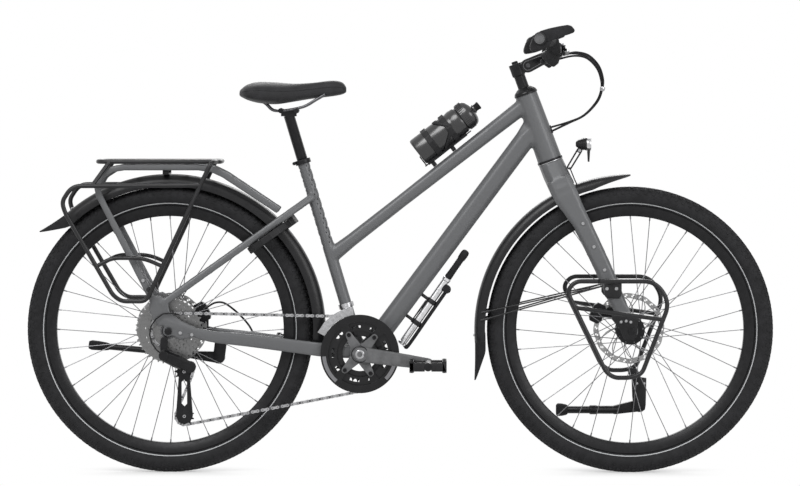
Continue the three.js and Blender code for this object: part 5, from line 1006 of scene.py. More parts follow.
TYRE = {"centre": 335, "wall": 23.6, "bead": 304, "shoulder": 130, "stripe": (138, 131)}
RIM = {"inner": 286, "hook": 312.4, "half": 15, "crown": 8, "well": 302.5}
HUBS = {
    "front": {"radius": 32, "flange": 36, "left": 27, "right": -30, "bore": 6.5, "far": 55.5, "end": 14},
    "rear": {"radius": 19, "flange": 29, "left": 34, "right": -20, "bore": 6.5, "far": 70.5, "end": 14.6},
}
ROTOR = {
    "radius": 90, "band": 14, "half": 0.9, "hub": 26, "offset": 47, "arms": 10, "lean": 0.42, "arm_half": 1.7,
    "scallop": 0.9, "scallops": 12, "steps": 120, "rows": 4,
}
NIPPLE_LENGTH = 9
LACING_ANGLE = radians(58)
# Rows of the tread: half length and width, lean off the crown, twist, phase, and height past the crown's
TREAD = {
    "centre": (6.4, 2.3, 4, 24, 0.0, 0.0),
    "inner": (5.6, 2.6, 18, -34, 0.25, 0.0),
    "shoulder": (4.6, 4.6, 37, 16, 0.0, 0.0),
    "edge": (3.4, 5.4, 62, 20, 0.5, -0.4),
    "flank": (1.3, 4.2, 84, 28, 0.25, -0.9),
}
BLOCK_ROOT, BLOCK_TOP_SHARE = -1.2, 0.86


def tyre_profile():
    bead = [(TYRE["bead"], 11.6), (313, 11.9), (316, 14.6)]
    points = [(r, -y) for r, y in bead]
    for i in range(33):
        lean = radians(-TYRE["shoulder"] + 2 * TYRE["shoulder"] * i / 32)
        points.append((TYRE["centre"] + TYRE["wall"] * cos(lean), TYRE["wall"] * sin(lean)))
    return points + bead[::-1]


def tread_block(half_x, half_y, height):
    corners = ((-half_x, -half_y), (half_x, -half_y), (half_x, half_y), (-half_x, half_y))
    low = [at(x, BLOCK_ROOT, y) for x, y in corners]
    top = [at(x * BLOCK_TOP_SHARE, height, y * BLOCK_TOP_SHARE) for x, y in corners]
    return item_of("tread_block", [strip([low, top])])


def on_casing(angle, wall=TYRE["wall"]):
    """Radius from the axle and place along it of a point of the tyre's round section."""
    return TYRE["centre"] + wall * cos(angle), wall * sin(angle)


def build_tyre(which, axle, wheels):
    node, tread = which + "_tyre", which + "_tread"
    skin(node, node + "_casing", [wheel(tyre_profile(), axle, wheels.steps)], tread, 50)
    rows = []
    for label, (half_x, half_y, lean, twist, phase, rise) in TREAD.items():
        for side in (1, -1):
            item = tread_block(half_x, half_y, wheels.block_height / MM + rise)
            radius, across = on_casing(radians(side * lean))
            start = phase if side > 0 else (phase + 0.5) % 1
            rows.append(wheel_row(
                which + "_tread_" + label, item, axle, wheels.blocks, radius, across, tread,
                side * lean, side * twist, start,
            ))
            drop(item)
    stand_for(united(which + "_tread_blocks", rows), node, hides=False)
    bands = []
    for side in (-1, 1):
        leans = [radians(side * angle) for angle in TYRE["stripe"]]
        band = [on_casing(angle, TYRE["wall"] + 0.25) for angle in leans]
        band += [on_casing(angle, TYRE["wall"] - 0.8) for angle in leans[::-1]]
        bands.append(wheel(band, axle, wheels.steps))
    trim(node, which + "_tyre_stripe", bands, "band", 50)


def build_rim(which, axle, wheels):
    inner, hook, half, crown = RIM["inner"], RIM["hook"], RIM["half"], RIM["crown"]
    left = [
        (inner, crown), (inner + 3, crown + 2.4), (hook - 5, half - 0.4), (hook - 1, half), (hook, half - 1),
        (hook, half - 2.4), (RIM["well"], half - 3),
    ]
    profile = [(radius, -y) for radius, y in left] + left[::-1]
    skin(which + "_rim", which + "_rim_profile", [wheel(profile, axle, wheels.steps)], "anodised", 35)


def spoke_ends(axle, hub, count):
    step = TURN / count
    for i in range(count):
        left, leading = i % 2 == 0, 1 if i % 4 < 2 else -1
        rim_angle = i * step
        hub_angle = rim_angle - leading * LACING_ANGLE
        flange = hub["left"] if left else hub["right"]
        yield (
            on_circle(axle, hub["flange"] * 0.86, hub_angle, flange + leading * 1.6),
            on_circle(axle, RIM["inner"] + 1, rim_angle, (1 if left else -1) * RIM["crown"] * 0.4),
        )


def build_spokes(which, axle, hub, wheels):
    item = item_of("spoke_item", [strip([
        [Vector((cos(a), sin(a), height)) for a in round_angles(8)] for height in (0, 1)
    ])])
    spokes, nipples = [], []
    thick = wheels.spoke_radius
    for start, end in spoke_ends(axle, hub, wheels.spokes):
        line = end - start
        up = line.normalized()
        side = up.cross(LATERAL).normalized()
        spokes.append((start, up, side, (thick, thick, line.length)))
        length = NIPPLE_LENGTH * MM
        nipples.append((end - up * length, up, side, (thick * 1.8, thick * 1.8, length)))
        nipples.append((start - up * MM, up, side, (thick * 1.9, thick * 1.9, 2.5 * MM)))
    laid = repeated(which + "_spokes", item, spokes, "spoke")
    ends = repeated(which + "_nipples", item, nipples, "spoke")
    drop(item)
    for obj in (laid, ends):
        stand_for(obj, which + "_hub", hides=False)


def build_rotor(which, axle):
    """A brake disc: a pierced and scalloped band on leaning arms, with its carrier on the hub."""
    count, rows, hub = ROTOR["steps"], ROTOR["rows"], ROTOR["hub"]
    inner, outer = ROTOR["radius"] - ROTOR["band"], ROTOR["radius"]
    corners, faces = [], []
    for i in range(count):
        scallop = ROTOR["scallop"] * cos(ROTOR["scallops"] * TURN * i / count)
        for row in range(rows + 1):
            reach = inner + (outer - inner) * row / rows
            reach += scallop if row in (0, rows) else 0
            reach -= ROTOR["scallop"] if row == rows else 0
            corners.append(on_circle(axle, reach, TURN * (i + 0.35 * row) / count))
    for i in range(count):
        for row in range(rows):
            if row in (1, 2) and (i + row) % 4 == 0:
                continue
            a, b = i * (rows + 1) + row, (i + 1) % count * (rows + 1) + row
            faces.append((a, a + 1, b + 1, b))
    for angle in round_angles(ROTOR["arms"]):
        base = len(corners)
        for k in range(7):
            t = k / 6
            reach = hub * 0.8 + (inner + 1.5 - hub * 0.8) * t
            middle, half = angle + ROTOR["lean"] * t * t, ROTOR["arm_half"] / reach
            corners += [on_circle(axle, reach, middle - half), on_circle(axle, reach, middle + half)]
        faces += [(base + k, base + k + 1, base + k + 3, base + k + 2) for k in range(0, 12, 2)]
    corners = [Vector((c.x, (ROTOR["offset"] - ROTOR["half"]) * MM, c.z)) for c in corners]
    disc = shape(which + "_rotor", [(corners, faces)], which + "_steel", 30)
    stand_for(thickened(disc, 2 * ROTOR["half"]), which + "_hub", hides=False)
    near, step, far = (ROTOR["offset"] + y for y in (-2.5, 1.6, 3.4))
    carrier = [(10, near), (hub, near), (hub, step), (hub - 5, far), (10, far)]
    trim(which + "_hub", which + "_rotor_carrier", [wheel(carrier, axle, 48)], "anodised", 35)


def build_hub(which, axle, hub):
    wall = 1.7
    r, flange, left, right = hub["radius"], hub["flange"], hub["left"], hub["right"]
    body = [
        (hub["bore"], -hub["far"]), (hub["end"], -hub["far"]), (hub["end"], right - wall * 2.6),
        (flange * 0.8, right - wall * 1.8), (flange, right - wall), (flange, right + wall),
        (flange * 0.8, right + wall * 2), (r, right + wall * 4), (r * 0.96, (left + right) / 2),
        (r, left - wall * 4), (flange * 0.8, left - wall * 2), (flange, left - wall), (flange, left + wall),
        (flange * 0.8, left + wall * 1.8), (20, left + wall * 3), (20, 50), (13, 52), (13, hub["far"]),
        (hub["bore"], hub["far"]),
    ]
    skin(which + "_hub", which + "_hub_shell", [wheel(body, axle, 64)], "anodised", 35)


class BuildWheels(bpy.types.Operator):
    """Make the tyres, rims, spokes, hubs and brake discs"""

    bl_idname = "bicycle.build_wheels"
    bl_label = "Wheels"

    def execute(self, context):
        wheels = context.scene.bicycle_wheels
        for which, axle in (("rear", REAR_AXLE), ("front", FRONT_AXLE)):
            build_tyre(which, axle, wheels)
            build_rim(which, axle, wheels)
            build_hub(which, axle, HUBS[which])
            build_spokes(which, axle, HUBS[which], wheels)
            build_rotor(which, axle)
            crisp(which + "_axle", "anodised", 0.6)
        return {"FINISHED"}


# Frame, fork and mudguards

SURFACES = {}


def surface_at(node, x, z, side):
    """Where a line along Y first meets the node's form, from the left (1) or the right (-1), in metres."""
    if node not in SURFACES:
        mesh = frame["nodes"][node].data
        corners = [v.co.copy() for v in mesh.vertices]
        SURFACES[node] = BVHTree.FromPolygons(corners, [tuple(p.vertices) for p in mesh.polygons])
    place, _, _, _ = SURFACES[node].ray_cast(at(x, z, side * 400), Vector((0, -side, 0)))
    if place is None:
        raise RuntimeError(f"{node} has no surface at {x}, {z}")
    return place


def bolt_item():
    """A socket head of radius 1 and height 0.9, standing on the ground plane."""
    def ring(radius, height):
        return [Vector((radius * cos(a), radius * sin(a), height)) for a in round_angles(24)]

    def hexagon(radius, height):
        made = []
        for a in round_angles(24):
            reach = radius / cos((a + pi / 6) % (pi / 3) - pi / 6)
            made.append(Vector((reach * cos(a), reach * sin(a), height)))
        return made

    rings = [ring(1, -0.3), ring(1, 0.7), ring(0.84, 0.9), hexagon(0.46, 0.9), hexagon(0.46, 0.35)]
    return item_of("bolt_item", [strip(rings)])


# Rows of the chain stay: ahead of and above the rear axle, outwards, and half of the depth, in millimetres
CHAIN_STAY = (
    (45, 5, 74, 11), (102, -12.5, 69.6, 14), (205, -25, 52.5, 16), (330, -42, 37.6, 17.2),
    (380, -48.3, 36.9, 17.6), (416, -52, 30.5, 17), (452, -56, 28, 14.5),
)
CHAIN_STAY_HALF = 5.9
FORK_END = (
    (531, 403), (595, 395.5), (594.5, 372), (592.5, 351), (588, 342), (580.6, 338.4), (567, 338.4),
    (560, 342), (556, 351), (547, 372), (538, 380), (530, 390),
)
FORK_END_FACES = {"near": 68.2, "far": 71.8, "socket": 72, "overlap": 0.2}
FORK_END_SOCKET = (575.6, 357.5)
FORK_END_BOLTS = ((553, 384), (565.5, 386), (577, 383.5))
BLADE_BOLTS = ((458, 629), (485.5, 571), (512, 513))
STAY_BOLTS = ((-548.6, 356.2), (-519.6, 351.9), (-641, 487))


def build_chain_stays():
    """The deep flattened tubes between the rear axle and the bottom bracket."""
    between_rows = 6
    for side, name in SIDES:
        corners = [at(REAR_AXLE[0] + x, REAR_AXLE[1] + z, side * y) for x, z, y, _ in CHAIN_STAY]
        points = flowing(corners, between_rows)
        rings = []
        for i, (p, (ahead, _, _)) in enumerate(zip(points, frames_along(points, UP))):
            spot = min(i / between_rows, len(CHAIN_STAY) - 1.001)
            low = int(spot)
            deep = CHAIN_STAY[low][3] + (CHAIN_STAY[low + 1][3] - CHAIN_STAY[low][3]) * (spot - low)
            out = ahead.cross(UP).normalized()
            rings.append([
                p + UP * (swell(sin(a), 0.6) * deep * MM) + out * (swell(cos(a), 0.6) * CHAIN_STAY_HALF * MM)
                for a in round_angles(20)
            ])
        trim("main_frame", name + "_chain_stay_skin", [strip(rings)], "paint", 60)


def build_fork_ends():
    """The covers over the fork ends, each with a socket and three bolts."""
    far = FORK_END_FACES["far"] - FORK_END_FACES["overlap"]
    for side, name in SIDES:
        cover = side_plate(FORK_END, side, FORK_END_FACES["near"], FORK_END_FACES["far"])
        trim("fork", name + "_fork_end_cover", [cover], "plastic", 30, 0.9)
        socket = drum(FORK_END_SOCKET, 8, *between(side, far, FORK_END_FACES["socket"]))
        trim("fork", name + "_fork_end_socket", [socket], "gloss", 30)
        places = [(at(x, z, side * far), (0, side, 0), 3.8) for x, z in FORK_END_BOLTS]
        bolts(name + "_fork_end_bolts", "fork", places)


def build_headset():
    """The cups in both ends of the head tube and the race on the fork's crown."""
    up = (steered(0, 1) - steered(0, 0)).normalized()
    foot = steered(0, CROWN_HEIGHT)
    cups = []
    for low, high, radius in ((0.6, 5.5, 32.6), (178, 182.6, 29.8)):
        cups.append(turned([(22, low), (radius, low), (radius, high), (22, high)], foot, up, 64))
    trim("main_frame", "headset_cups", cups, "anodised", 30, 0.5)
    race = turned([(24, -1.6), (32.9, -1.6), (32.9, 0.2), (24, 0.2)], foot, up, 64)
    trim("fork", "crown_race", [race], "bolt", 30, 0.3)


def bolts(name, node, places, finish="bolt"):
    """Socket heads on a node: each place is a point, the way out and a radius in millimetres."""
    item = bolt_item()
    rows = []
    for point, out, radius in places:
        out = Vector(out).normalized()
        along = out.cross(UP if abs(out.z) < 0.8 else LATERAL).normalized()
        rows.append((point, out, along, (radius * MM, radius * MM, radius * MM * 0.9)))
    obj = repeated(name, item, rows, finish, 30)
    drop(item)
    return stand_for(obj, node, hides=False)


def side_bolts(name, node, spots, radius):
    """Socket heads on both side faces of a node, at the given x and z."""
    rows = [(surface_at(node, x, z, side), (0, side, 0), radius) for side in (-1, 1) for x, z in spots]
    return bolts(name, node, rows)


# Angles in degrees round each axle, and the radius that the sides reach down to
GUARDS = {
    "rear": {"axle": REAR_AXLE, "from": -5, "to": 132, "flap": 143, "pointed": False, "skirt": 361.5},
    "front": {"axle": FRONT_AXLE, "from": 90, "to": 185, "flap": 198, "pointed": True, "skirt": 366},
}
GUARD = {"crown": 392, "half": 30, "wall": 1.8, "step": 1.5}
# The flap's section: a share of its half width, and a height in millimetres
FLAP_SECTION = (
    (-1, 0), (-0.93, 0.4), (-0.8, 0.5), (-0.5, 0.7), (0, 0.9), (0.5, 0.7), (0.8, 0.5), (0.93, 0.4), (1, 0),
    (1, 1.8), (0.93, 2.2), (0.8, 2.3), (0.5, 2.5), (0, 2.7), (-0.5, 2.5), (-0.8, 2.3), (-0.93, 2.2),
    (-1, 1.8),
)
STRAP = {"back": 15, "rise": 3.6, "ear": 12, "half": 46, "sheet": 2}
STAY_ANGLES = (176, 173)
STAY_FOOT = (508, 472, 45)
LAMP_EYE = (78, 467.5)


def guard_section(share, depth):
    """The mudguard's section. Share gives its width and depth how far its sides reach down."""
    half = GUARD["half"] * share
    outside = []
    for i in range(17):
        a = pi * i / 16
        across, up = -cos(a), sin(a)
        outside.append((swell(across, 0.72) * half, GUARD["crown"] - depth * (1 - up ** 0.8)))
    inside = [(y * (1 - GUARD["wall"] / half), r - GUARD["wall"] * (0.5 if i in (0, 16) else 1))
              for i, (y, r) in enumerate(outside)][::-1]
    return outside + inside


def build_guard_arch(which, guard, deep):
    steps = round((guard["to"] - guard["from"]) / GUARD["step"])
    rings = []
    for i in range(steps + 1):
        angle = guard["from"] + (guard["to"] - guard["from"]) * i / steps
        near_end = min(i, steps - i) / 3
        share = 1 if near_end >= 1 else 0.86 + 0.14 * sqrt(1 - (1 - near_end) ** 2)
        depth = deep
        if guard["pointed"]:
            depth *= 0.14 + 0.86 * min(1, i / 10) ** 0.8
            share *= 0.45 + 0.55 * min(1, i / 7) ** 0.5
        section = guard_section(share, depth)
        rings.append([on_circle(guard["axle"], radius, radians(angle), y) for y, radius in section])
    skin(which + "_mudguard", which + "_guard_arch", [strip(rings)], "guard", 50)


def build_guard_flap(which, guard, deep):
    """The rubber flap at the arch's end, which grows flat and narrow downwards, and its rivets."""
    node, axle, start = which + "_mudguard", guard["axle"], guard["to"] - 4
    rings = []
    for i in range(13):
        t = i / 12
        angle = radians(start + (guard["flap"] - start) * t)
        half = GUARD["half"] * (0.93 - 0.1 * t - 0.3 * t ** 5)
        inner = GUARD["crown"] - GUARD["wall"] * 2.2 + 21 * t ** 2.2
        droop = (deep - 3) * (1 - max(0, t - 0.45) / 0.55) ** 0.9 + 1
        rings.append([
            on_circle(axle, inner + up - droop * across ** 6, angle, across * half)
            for across, up in FLAP_SECTION])
    trim(node, which + "_guard_flap", [strip(rings)], "rubber", 50)
    angle = radians(guard["to"] - 3)
    rivets = [on_circle(axle, GUARD["crown"] + 0.6, angle, y) for y in (-11, 11)]
    bolts(which + "_flap_rivets", node, [(place, (cos(angle), 0, sin(angle)), 2.6) for place in rivets])


def build_guard_strap():
    """The strap that holds the rear mudguard to the carrier: a flat band with an ear at each end."""
    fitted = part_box("rear_mudguard")
    low, back = REAR_AXLE[1] + GUARD["crown"] - 1, REAR_AXLE[0] - STRAP["back"]
    half = min(STRAP["half"], fitted[1].y / MM)

    def sheet(rise, y_low, y_high):
        high = min(low + rise, fitted[1].z / MM)
        ends = ((back, low), (REAR_AXLE[0], low), (REAR_AXLE[0], high), (back, high))
        return plate([at(x, z) for x, z in ends], y_low, y_high)

    ear = half * (1 - STRAP["sheet"] / STRAP["half"])
    parts = [sheet(STRAP["rise"], -half, half)]
    parts += [sheet(STRAP["ear"], *between(side, ear, half)) for side in (-1, 1)]
    trim("rear_mudguard", "rear_guard_strap", parts, "anodised", 30, 0.5)


def build_guard_stays():
    """The wires that hold the front mudguard's lower end to the fork, each with its clip."""
    wires = []
    for side in (-1, 1):
        for angle in STAY_ANGLES:
            start = on_circle(FRONT_AXLE, GUARDS["front"]["skirt"] + 6, radians(angle), side * 29.5)
            end = at(*STAY_FOOT[:2], side * STAY_FOOT[2])
            wires.append(rod(start, end, 1.9, 12))
            wires.append(rod(start - (end - start).normalized() * 5 * MM, mix(start, end, 0.05), 3.6, 12))
    trim("front_mudguard", "front_guard_stays", wires, "powder", 40)


def build_lamp_bracket():
    """A strap down the crown and two arms up to the headlamp's eye."""
    points = [steered(40.5, 437), steered(41.7, 402), steered(43, 390)]
    ahead = (points[-1] - points[0]).normalized().cross(LATERAL).normalized()
    section = ((-11, -1.2), (11, -1.2), (11, 1.2), (-11, 1.2))
    strap = strip([[p + LATERAL * (y * MM) + ahead * (d * MM) for y, d in section] for p in points])
    foot, eye = ((p.x / MM, p.z / MM) for p in (points[0], steered(*LAMP_EYE)))
    arms = []
    for side in (-1, 1):
        outer, inner = hull_outline(foot, 6.4, eye, 7), hull_outline(foot, 3, eye, 3.4)
        arms.append(ring_plate(outer, inner, *between(side, 5, 7.5)))
    pin = drum(eye, 2.4, -9.5, 9.5, 16)
    trim("front_mudguard", "lamp_bracket_arms", [strap, *arms, pin], "anodised", 30, 0.4)
    places = [(at(*eye, side * 9), (0, side, 0), 4.4) for side in (-1, 1)]
    bolts("lamp_bracket_bolt", "front_mudguard", places)


class BuildFrame(bpy.types.Operator):
    """Make the painted frame and fork, their fittings and the mudguards"""

    bl_idname = "bicycle.build_frame"
    bl_label = "Frame and mudguards"

    def execute(self, context):
        rounded("main_frame", "paint", 2.4, 14)
        rounded("fork", "paint", 2.0, 14)
        crisp("seat_clamp", "anodised", 0.5)
        crisp("bottom_bracket", "anodised", 0.6)
        crisp("rear_stand_bracket", "anodised", 0.8)
        build_chain_stays()
        side_bolts("blade_bolts", "fork", BLADE_BOLTS, 4.4)
        side_bolts("stay_bolts", "main_frame", STAY_BOLTS, 4.6)
        build_fork_ends()
        build_headset()
        for which, guard in GUARDS.items():
            deep = GUARD["crown"] - guard["skirt"]
            build_guard_arch(which, guard, deep)
            build_guard_flap(which, guard, deep)
        build_guard_strap()
        build_guard_stays()
        build_lamp_bracket()
        return {"FINISHED"}


# Drive

def pitch_radius(teeth):
    return teeth * CHAIN_PITCH / TURN


TOOTH = {"seat": 3.9, "tip": 2.6, "half": 1.1}
WAIST_SHARE = 0.74
COG = {"hub": 17.4, "rim": 5, "turn": 0.31, "sheet": 1.8}
COG_ROW_SHARES = (0, 0.16, 0.42, 0.58, 0.86, 1)
# Radii of the outer ring's web, across the drive side, in millimetres
RING_WEB = (58, 62.5, 71, 78)
INNER_RING = {"web": 44, "near": -40.4, "far": -38.6}
BOLT_CIRCLE = 55.5
SPIDER = {"near": -58.4, "far": -56.3}
# Two arcs of silver grey in the guard's groove, at the angles given, are painted highlights of the lamps
CHAIN_GUARD = {
    "y": -54.93, "half": 1.1, "outer": 98.7, "inner": 79, "groove": (94.5, 85.5),
    "groove_highlights": ((184, 229), (316, 343)),
}
CRANK = {"boss": 19, "eye": 14.5, "near": 56.93, "far": 70.93, "face": 70.6}
PEDAL = {"near": 76.93, "far": 172.93, "half": 46, "bar": 11, "rise": 13, "plate": 9, "end": 12}


class Loop:
    """The chain's line round its wheels, as seen from the drive side, and its pins."""

    def __init__(self):
        def excess(angle):
            self.lay(angle)
            return self.total - self.links * CHAIN_PITCH

        self.lay(CAGE_REST)
        self.links = 2 * round(self.total / CHAIN_PITCH / 2)
        low, high = CAGE_REST - 0.3, CAGE_REST + 0.3
        rising = excess(high) > excess(low)
        for _ in range(50):
            middle = (low + high) / 2
            if (excess(middle) > 0) == rising:
                high = middle
            else:
                low = middle
        self.lay((low + high) / 2)
        self.pins = [self.point(i * self.total / self.links) for i in range(self.links)]

    def lay(self, angle):
        self.tension = round_spot(GUIDE_CENTRE, CAGE_REACH, angle)
        # Centre, radius, and 1 where the chain runs clockwise
        wheels = [
            (BRACKET, pitch_radius(OUTER_TEETH), 1), (self.tension, pitch_radius(PULLEY_TEETH), 1),
            (GUIDE_CENTRE, pitch_radius(PULLEY_TEETH), -1),
            (REAR_AXLE, pitch_radius(COG_TEETH[DRIVEN_COG]), 1),
        ]
        runs = []
        for i, (a, ra, sa) in enumerate(wheels):
            b, rb, sb = wheels[(i + 1) % 4]
            dx, dz = b[0] - a[0], b[1] - a[1]
            offset, square = sb * rb - sa * ra, dx * dx + dz * dz
            length = sqrt(square - offset ** 2)
            along = ((length * dx - offset * dz) / square, (length * dz + offset * dx) / square)
            start = (a[0] - sa * ra * along[1], a[1] + sa * ra * along[0])
            runs.append((start, along, length))
        self.parts = []
        for i, (start, along, length) in enumerate(runs):
            self.parts.append(("run", length, start, along))
            centre, radius, sense = wheels[(i + 1) % 4]
            following = runs[(i + 1) % 4][0]
            last = [start[axis] + along[axis] * length - centre[axis] for axis in (0, 1)]
            arrive = atan2(last[1], last[0])
            leave = atan2(following[1] - centre[1], following[0] - centre[0])
            turn = (arrive - leave if sense > 0 else leave - arrive) % TURN
            self.parts.append(("arc", turn * radius, (centre, radius, sense), arrive))
        self.total = sum(part[1] for part in self.parts)

    def point(self, distance):
        left = distance
        for kind, length, place, way in self.parts:
            if left <= length:
                if kind == "run":
                    return (place[0] + way[0] * left, place[1] + way[1] * left)
                centre, radius, sense = place
                angle = way - sense * left / radius
                return round_spot(centre, radius, angle)
            left -= length
        return self.point(0)

    def phase(self, centre, radius):
        """The angle of a pin that lies on the wheel, so that the teeth stand between the pins."""
        held = [p for p in self.pins if abs(hypot(p[0] - centre[0], p[1] - centre[1]) - radius) < 0.02]
        pin = held[len(held) // 2]
        return atan2(pin[1] - centre[1], pin[0] - centre[0])


def toothed(centre, teeth, phase):
    """The outline of a toothed wheel, with a round seat for each roller and a rounded tip."""
    radius = pitch_radius(teeth)
    points = []
    for i in range(teeth):
        valley = phase + TURN * i / teeth
        for k in range(5):
            a = radians(-68 + 34 * k)
            points.append(on_circle(
                centre, radius - TOOTH["seat"] * cos(a), valley + TOOTH["seat"] * sin(a) / radius))
        top = valley + pi / teeth
        for half in (-TOOTH["half"], TOOTH["half"]):
            points.append(on_circle(centre, radius + TOOTH["tip"], top + half / radius))
    return points


def toothed_ring(centre, teeth, phase, inner, y_low, y_high):
    outer = toothed(centre, teeth, phase)
    middle = at(*centre)
    hole = [middle + (Vector((p.x, 0, p.z)) - middle).normalized() * (inner * MM) for p in outer]
    return ring_plate(outer, hole, y_low, y_high)


def link_item(name, half, faces):
    """Both plates of a link, from pin to pin along X, with a waist."""
    top = []
    for i in range(13):
        a = radians(90 + 180 * i / 12)
        top.append((half * cos(a), half * sin(a)))
    other = [(CHAIN_PITCH - x, -z) for x, z in top]
    outline = top + [(CHAIN_PITCH / 2, -half * WAIST_SHARE)] + other + [(CHAIN_PITCH / 2, half * WAIST_SHARE)]
    return item_of(name, [plate([at(x, z) for x, z in outline], low, high) for low, high in faces])


def build_chain(loop, drive):
    pins = [at(*p, CHAIN_LINE) for p in loop.pins]
    half, roller_radius = drive.plate_height / 2 / MM, drive.roller_radius / MM
    wide = link_item("outer_link", half, [(-3.2, -2.2), (2.2, 3.2)])
    narrow = link_item("inner_link", half, [(-2.1, -1.2), (1.2, 2.1)])
    barrel, pin = drum((0, 0), roller_radius, -1.15, 1.15, 20), drum((0, 0), 1.9, -3.5, 3.5, 16)
    roller = item_of("roller_item", [barrel, pin])
    places = []
    for i, pin in enumerate(pins):
        along = (pins[(i + 1) % len(pins)] - pin).normalized()
        up = along.cross(LATERAL).normalized() * -1
        places.append((pin, up, along, (1, 1, 1)))
    stand_for(repeated("chain_outer_links", wide, places[::2], "bolt"), "chain")
    for label, item, spots, finish in (
        ("chain_inner_links", narrow, places[1::2], "dark_steel"), ("chain_rollers", roller, places, "chain"),
    ):
        stand_for(repeated(label, item, spots, finish), "chain", hides=False)
    drop(wide, narrow, roller)


def build_cassette(loop):
    seated = loop.phase(REAR_AXLE, pitch_radius(COG_TEETH[DRIVEN_COG]))
    hub = COG["hub"]
    parts = []
    for i, teeth in enumerate(COG_TEETH):
        y = CHAIN_LINE + (DRIVEN_COG - i) * COG_SPACING
        root = pitch_radius(teeth) - COG["rim"]
        phase = seated if i == DRIVEN_COG else i * COG["turn"]
        radii = [hub + (root - hub) * share for share in COG_ROW_SHARES]
        holes = max(5, teeth // 2)

        def open_cell(share, row, holes=holes, wide=teeth > 16):
            turn = share * holes + (0.5 if row == 3 else 0)
            return wide and row in (1, 3) and 0.2 < turn % 1 < 0.78

        parts.append(pierced(toothed(REAR_AXLE, teeth, phase), REAR_AXLE, radii, open_cell, y))
    stand_for(thickened(shape("cassette_cogs", parts, "cogs", 30), COG["sheet"]), "cassette")
    core = [(15.8, -72), (18.5, -72), (18.5, -69.6), (17.6, -69.6), (17.6, -30), (21, -29), (21, -27),
            (15.8, -27)]
    trim("cassette", "cassette_spacers", [wheel(core, REAR_AXLE, 48)], "dark_steel", 30)


def ring_tabs(inner, radius, outer, outer_radius, y_low, y_high, steps=10):
    """Tabs of a ring that reach from its web to the spider's bolts."""
    made = []
    for angle in SPIDER_ANGLES:
        ends = [round_spot(BRACKET, reach, radians(angle)) for reach in (inner, outer)]
        made.append(hull_plate(ends[0], radius, ends[1], outer_radius, y_low, y_high, steps))
    return made


def build_rings(loop):
    phase = loop.phase(BRACKET, pitch_radius(OUTER_TEETH))

    def open_cell(share, row):
        return row == 1 and 0.22 < (share * 9 + 0.15) % 1 < 0.72

    teeth = pierced(toothed(BRACKET, OUTER_TEETH, phase), BRACKET, RING_WEB, open_cell, CHAIN_LINE)
    stand_for(thickened(shape("outer_ring_teeth", [teeth], "ring_steel", 30), 2), "outer_chainring")
    tabs = ring_tabs(75, 12, BOLT_CIRCLE, 7.5, CHAIN_LINE - 1.5, CHAIN_LINE + 1.5)
    trim("outer_chainring", "outer_ring_tabs", tabs, "ring_steel", 30)
    near, far = INNER_RING["near"], INNER_RING["far"]
    ring = [toothed_ring(BRACKET, INNER_TEETH, 0.1, INNER_RING["web"], near, far)]
    ring += ring_tabs(INNER_RING["web"] + 2, 9, BOLT_CIRCLE, 7, near, far, 8)
    trim("right_crank", "inner_ring", ring, "ring_steel", 30, 0.3)


def build_chain_guard():
    low, high = CHAIN_GUARD["y"] - CHAIN_GUARD["half"], CHAIN_GUARD["y"] + CHAIN_GUARD["half"]
    outer, inner = circle(BRACKET, CHAIN_GUARD["outer"], 144), circle(BRACKET, CHAIN_GUARD["inner"], 144)
    parts = [ring_plate(outer, inner, low, high)]
    parts += ring_tabs(CHAIN_GUARD["inner"], 12, BOLT_CIRCLE, 7.5, low + 0.2, high - 0.2)
    skin("chain_guard", "guard_ring", parts, "gloss", 30, 0.4)
    # Painted highlights: silver grey arcs in the groove where the lamps reflect, laid on the guard's face
    groove_highlights = []
    for start, stop in CHAIN_GUARD["groove_highlights"]:
        angles = [radians(start + (stop - start) * i / 32) for i in range(33)]
        outside, inside = (
            [on_circle(BRACKET, reach, angle) for angle in angles] for reach in CHAIN_GUARD["groove"])
        groove_highlights.append(plate(outside + inside[::-1], low - 0.25, low + 0.2))
    trim("chain_guard", "guard_inlays", groove_highlights, "groove_highlight", 30)


def crank_end(side):
    return round_spot(BRACKET, side * CRANK_LENGTH, CRANK_ANGLE)


def crank_arm(side):
    """A forged arm: a lofted bar between the axle's boss and the pedal's eye. Side 1 is the drive side."""
    start, end = at(*BRACKET), at(*crank_end(side))
    heading = (end - start).normalized()
    across = Vector((-heading.z, 0, heading.x))
    boss, eye = CRANK["boss"], CRANK["eye"]
    middle_y = -side * (CRANK["near"] + CRANK["far"]) / 2
    half_y = (CRANK["far"] - CRANK["near"]) / 2
    rings = []
    for i in range(25):
        t = i / 24
        along = -boss * (1 - t) + (CRANK_LENGTH + eye) * t
        if along < 0:
            half = sqrt(max(0, boss ** 2 - along ** 2))
        elif along > CRANK_LENGTH:
            half = sqrt(max(0, eye ** 2 - (along - CRANK_LENGTH) ** 2))
        else:
            half = boss + (eye - boss) * (along / CRANK_LENGTH) ** 1.6
        half = max(half, 2.5)
        middle = start + heading * (along * MM)
        rings.append([
            middle + across * (swell(cos(a), 0.55) * half * MM)
            + LATERAL * ((middle_y + swell(sin(a), 0.4) * half_y) * MM)
            for a in round_angles(20)
        ])
    return strip(rings)


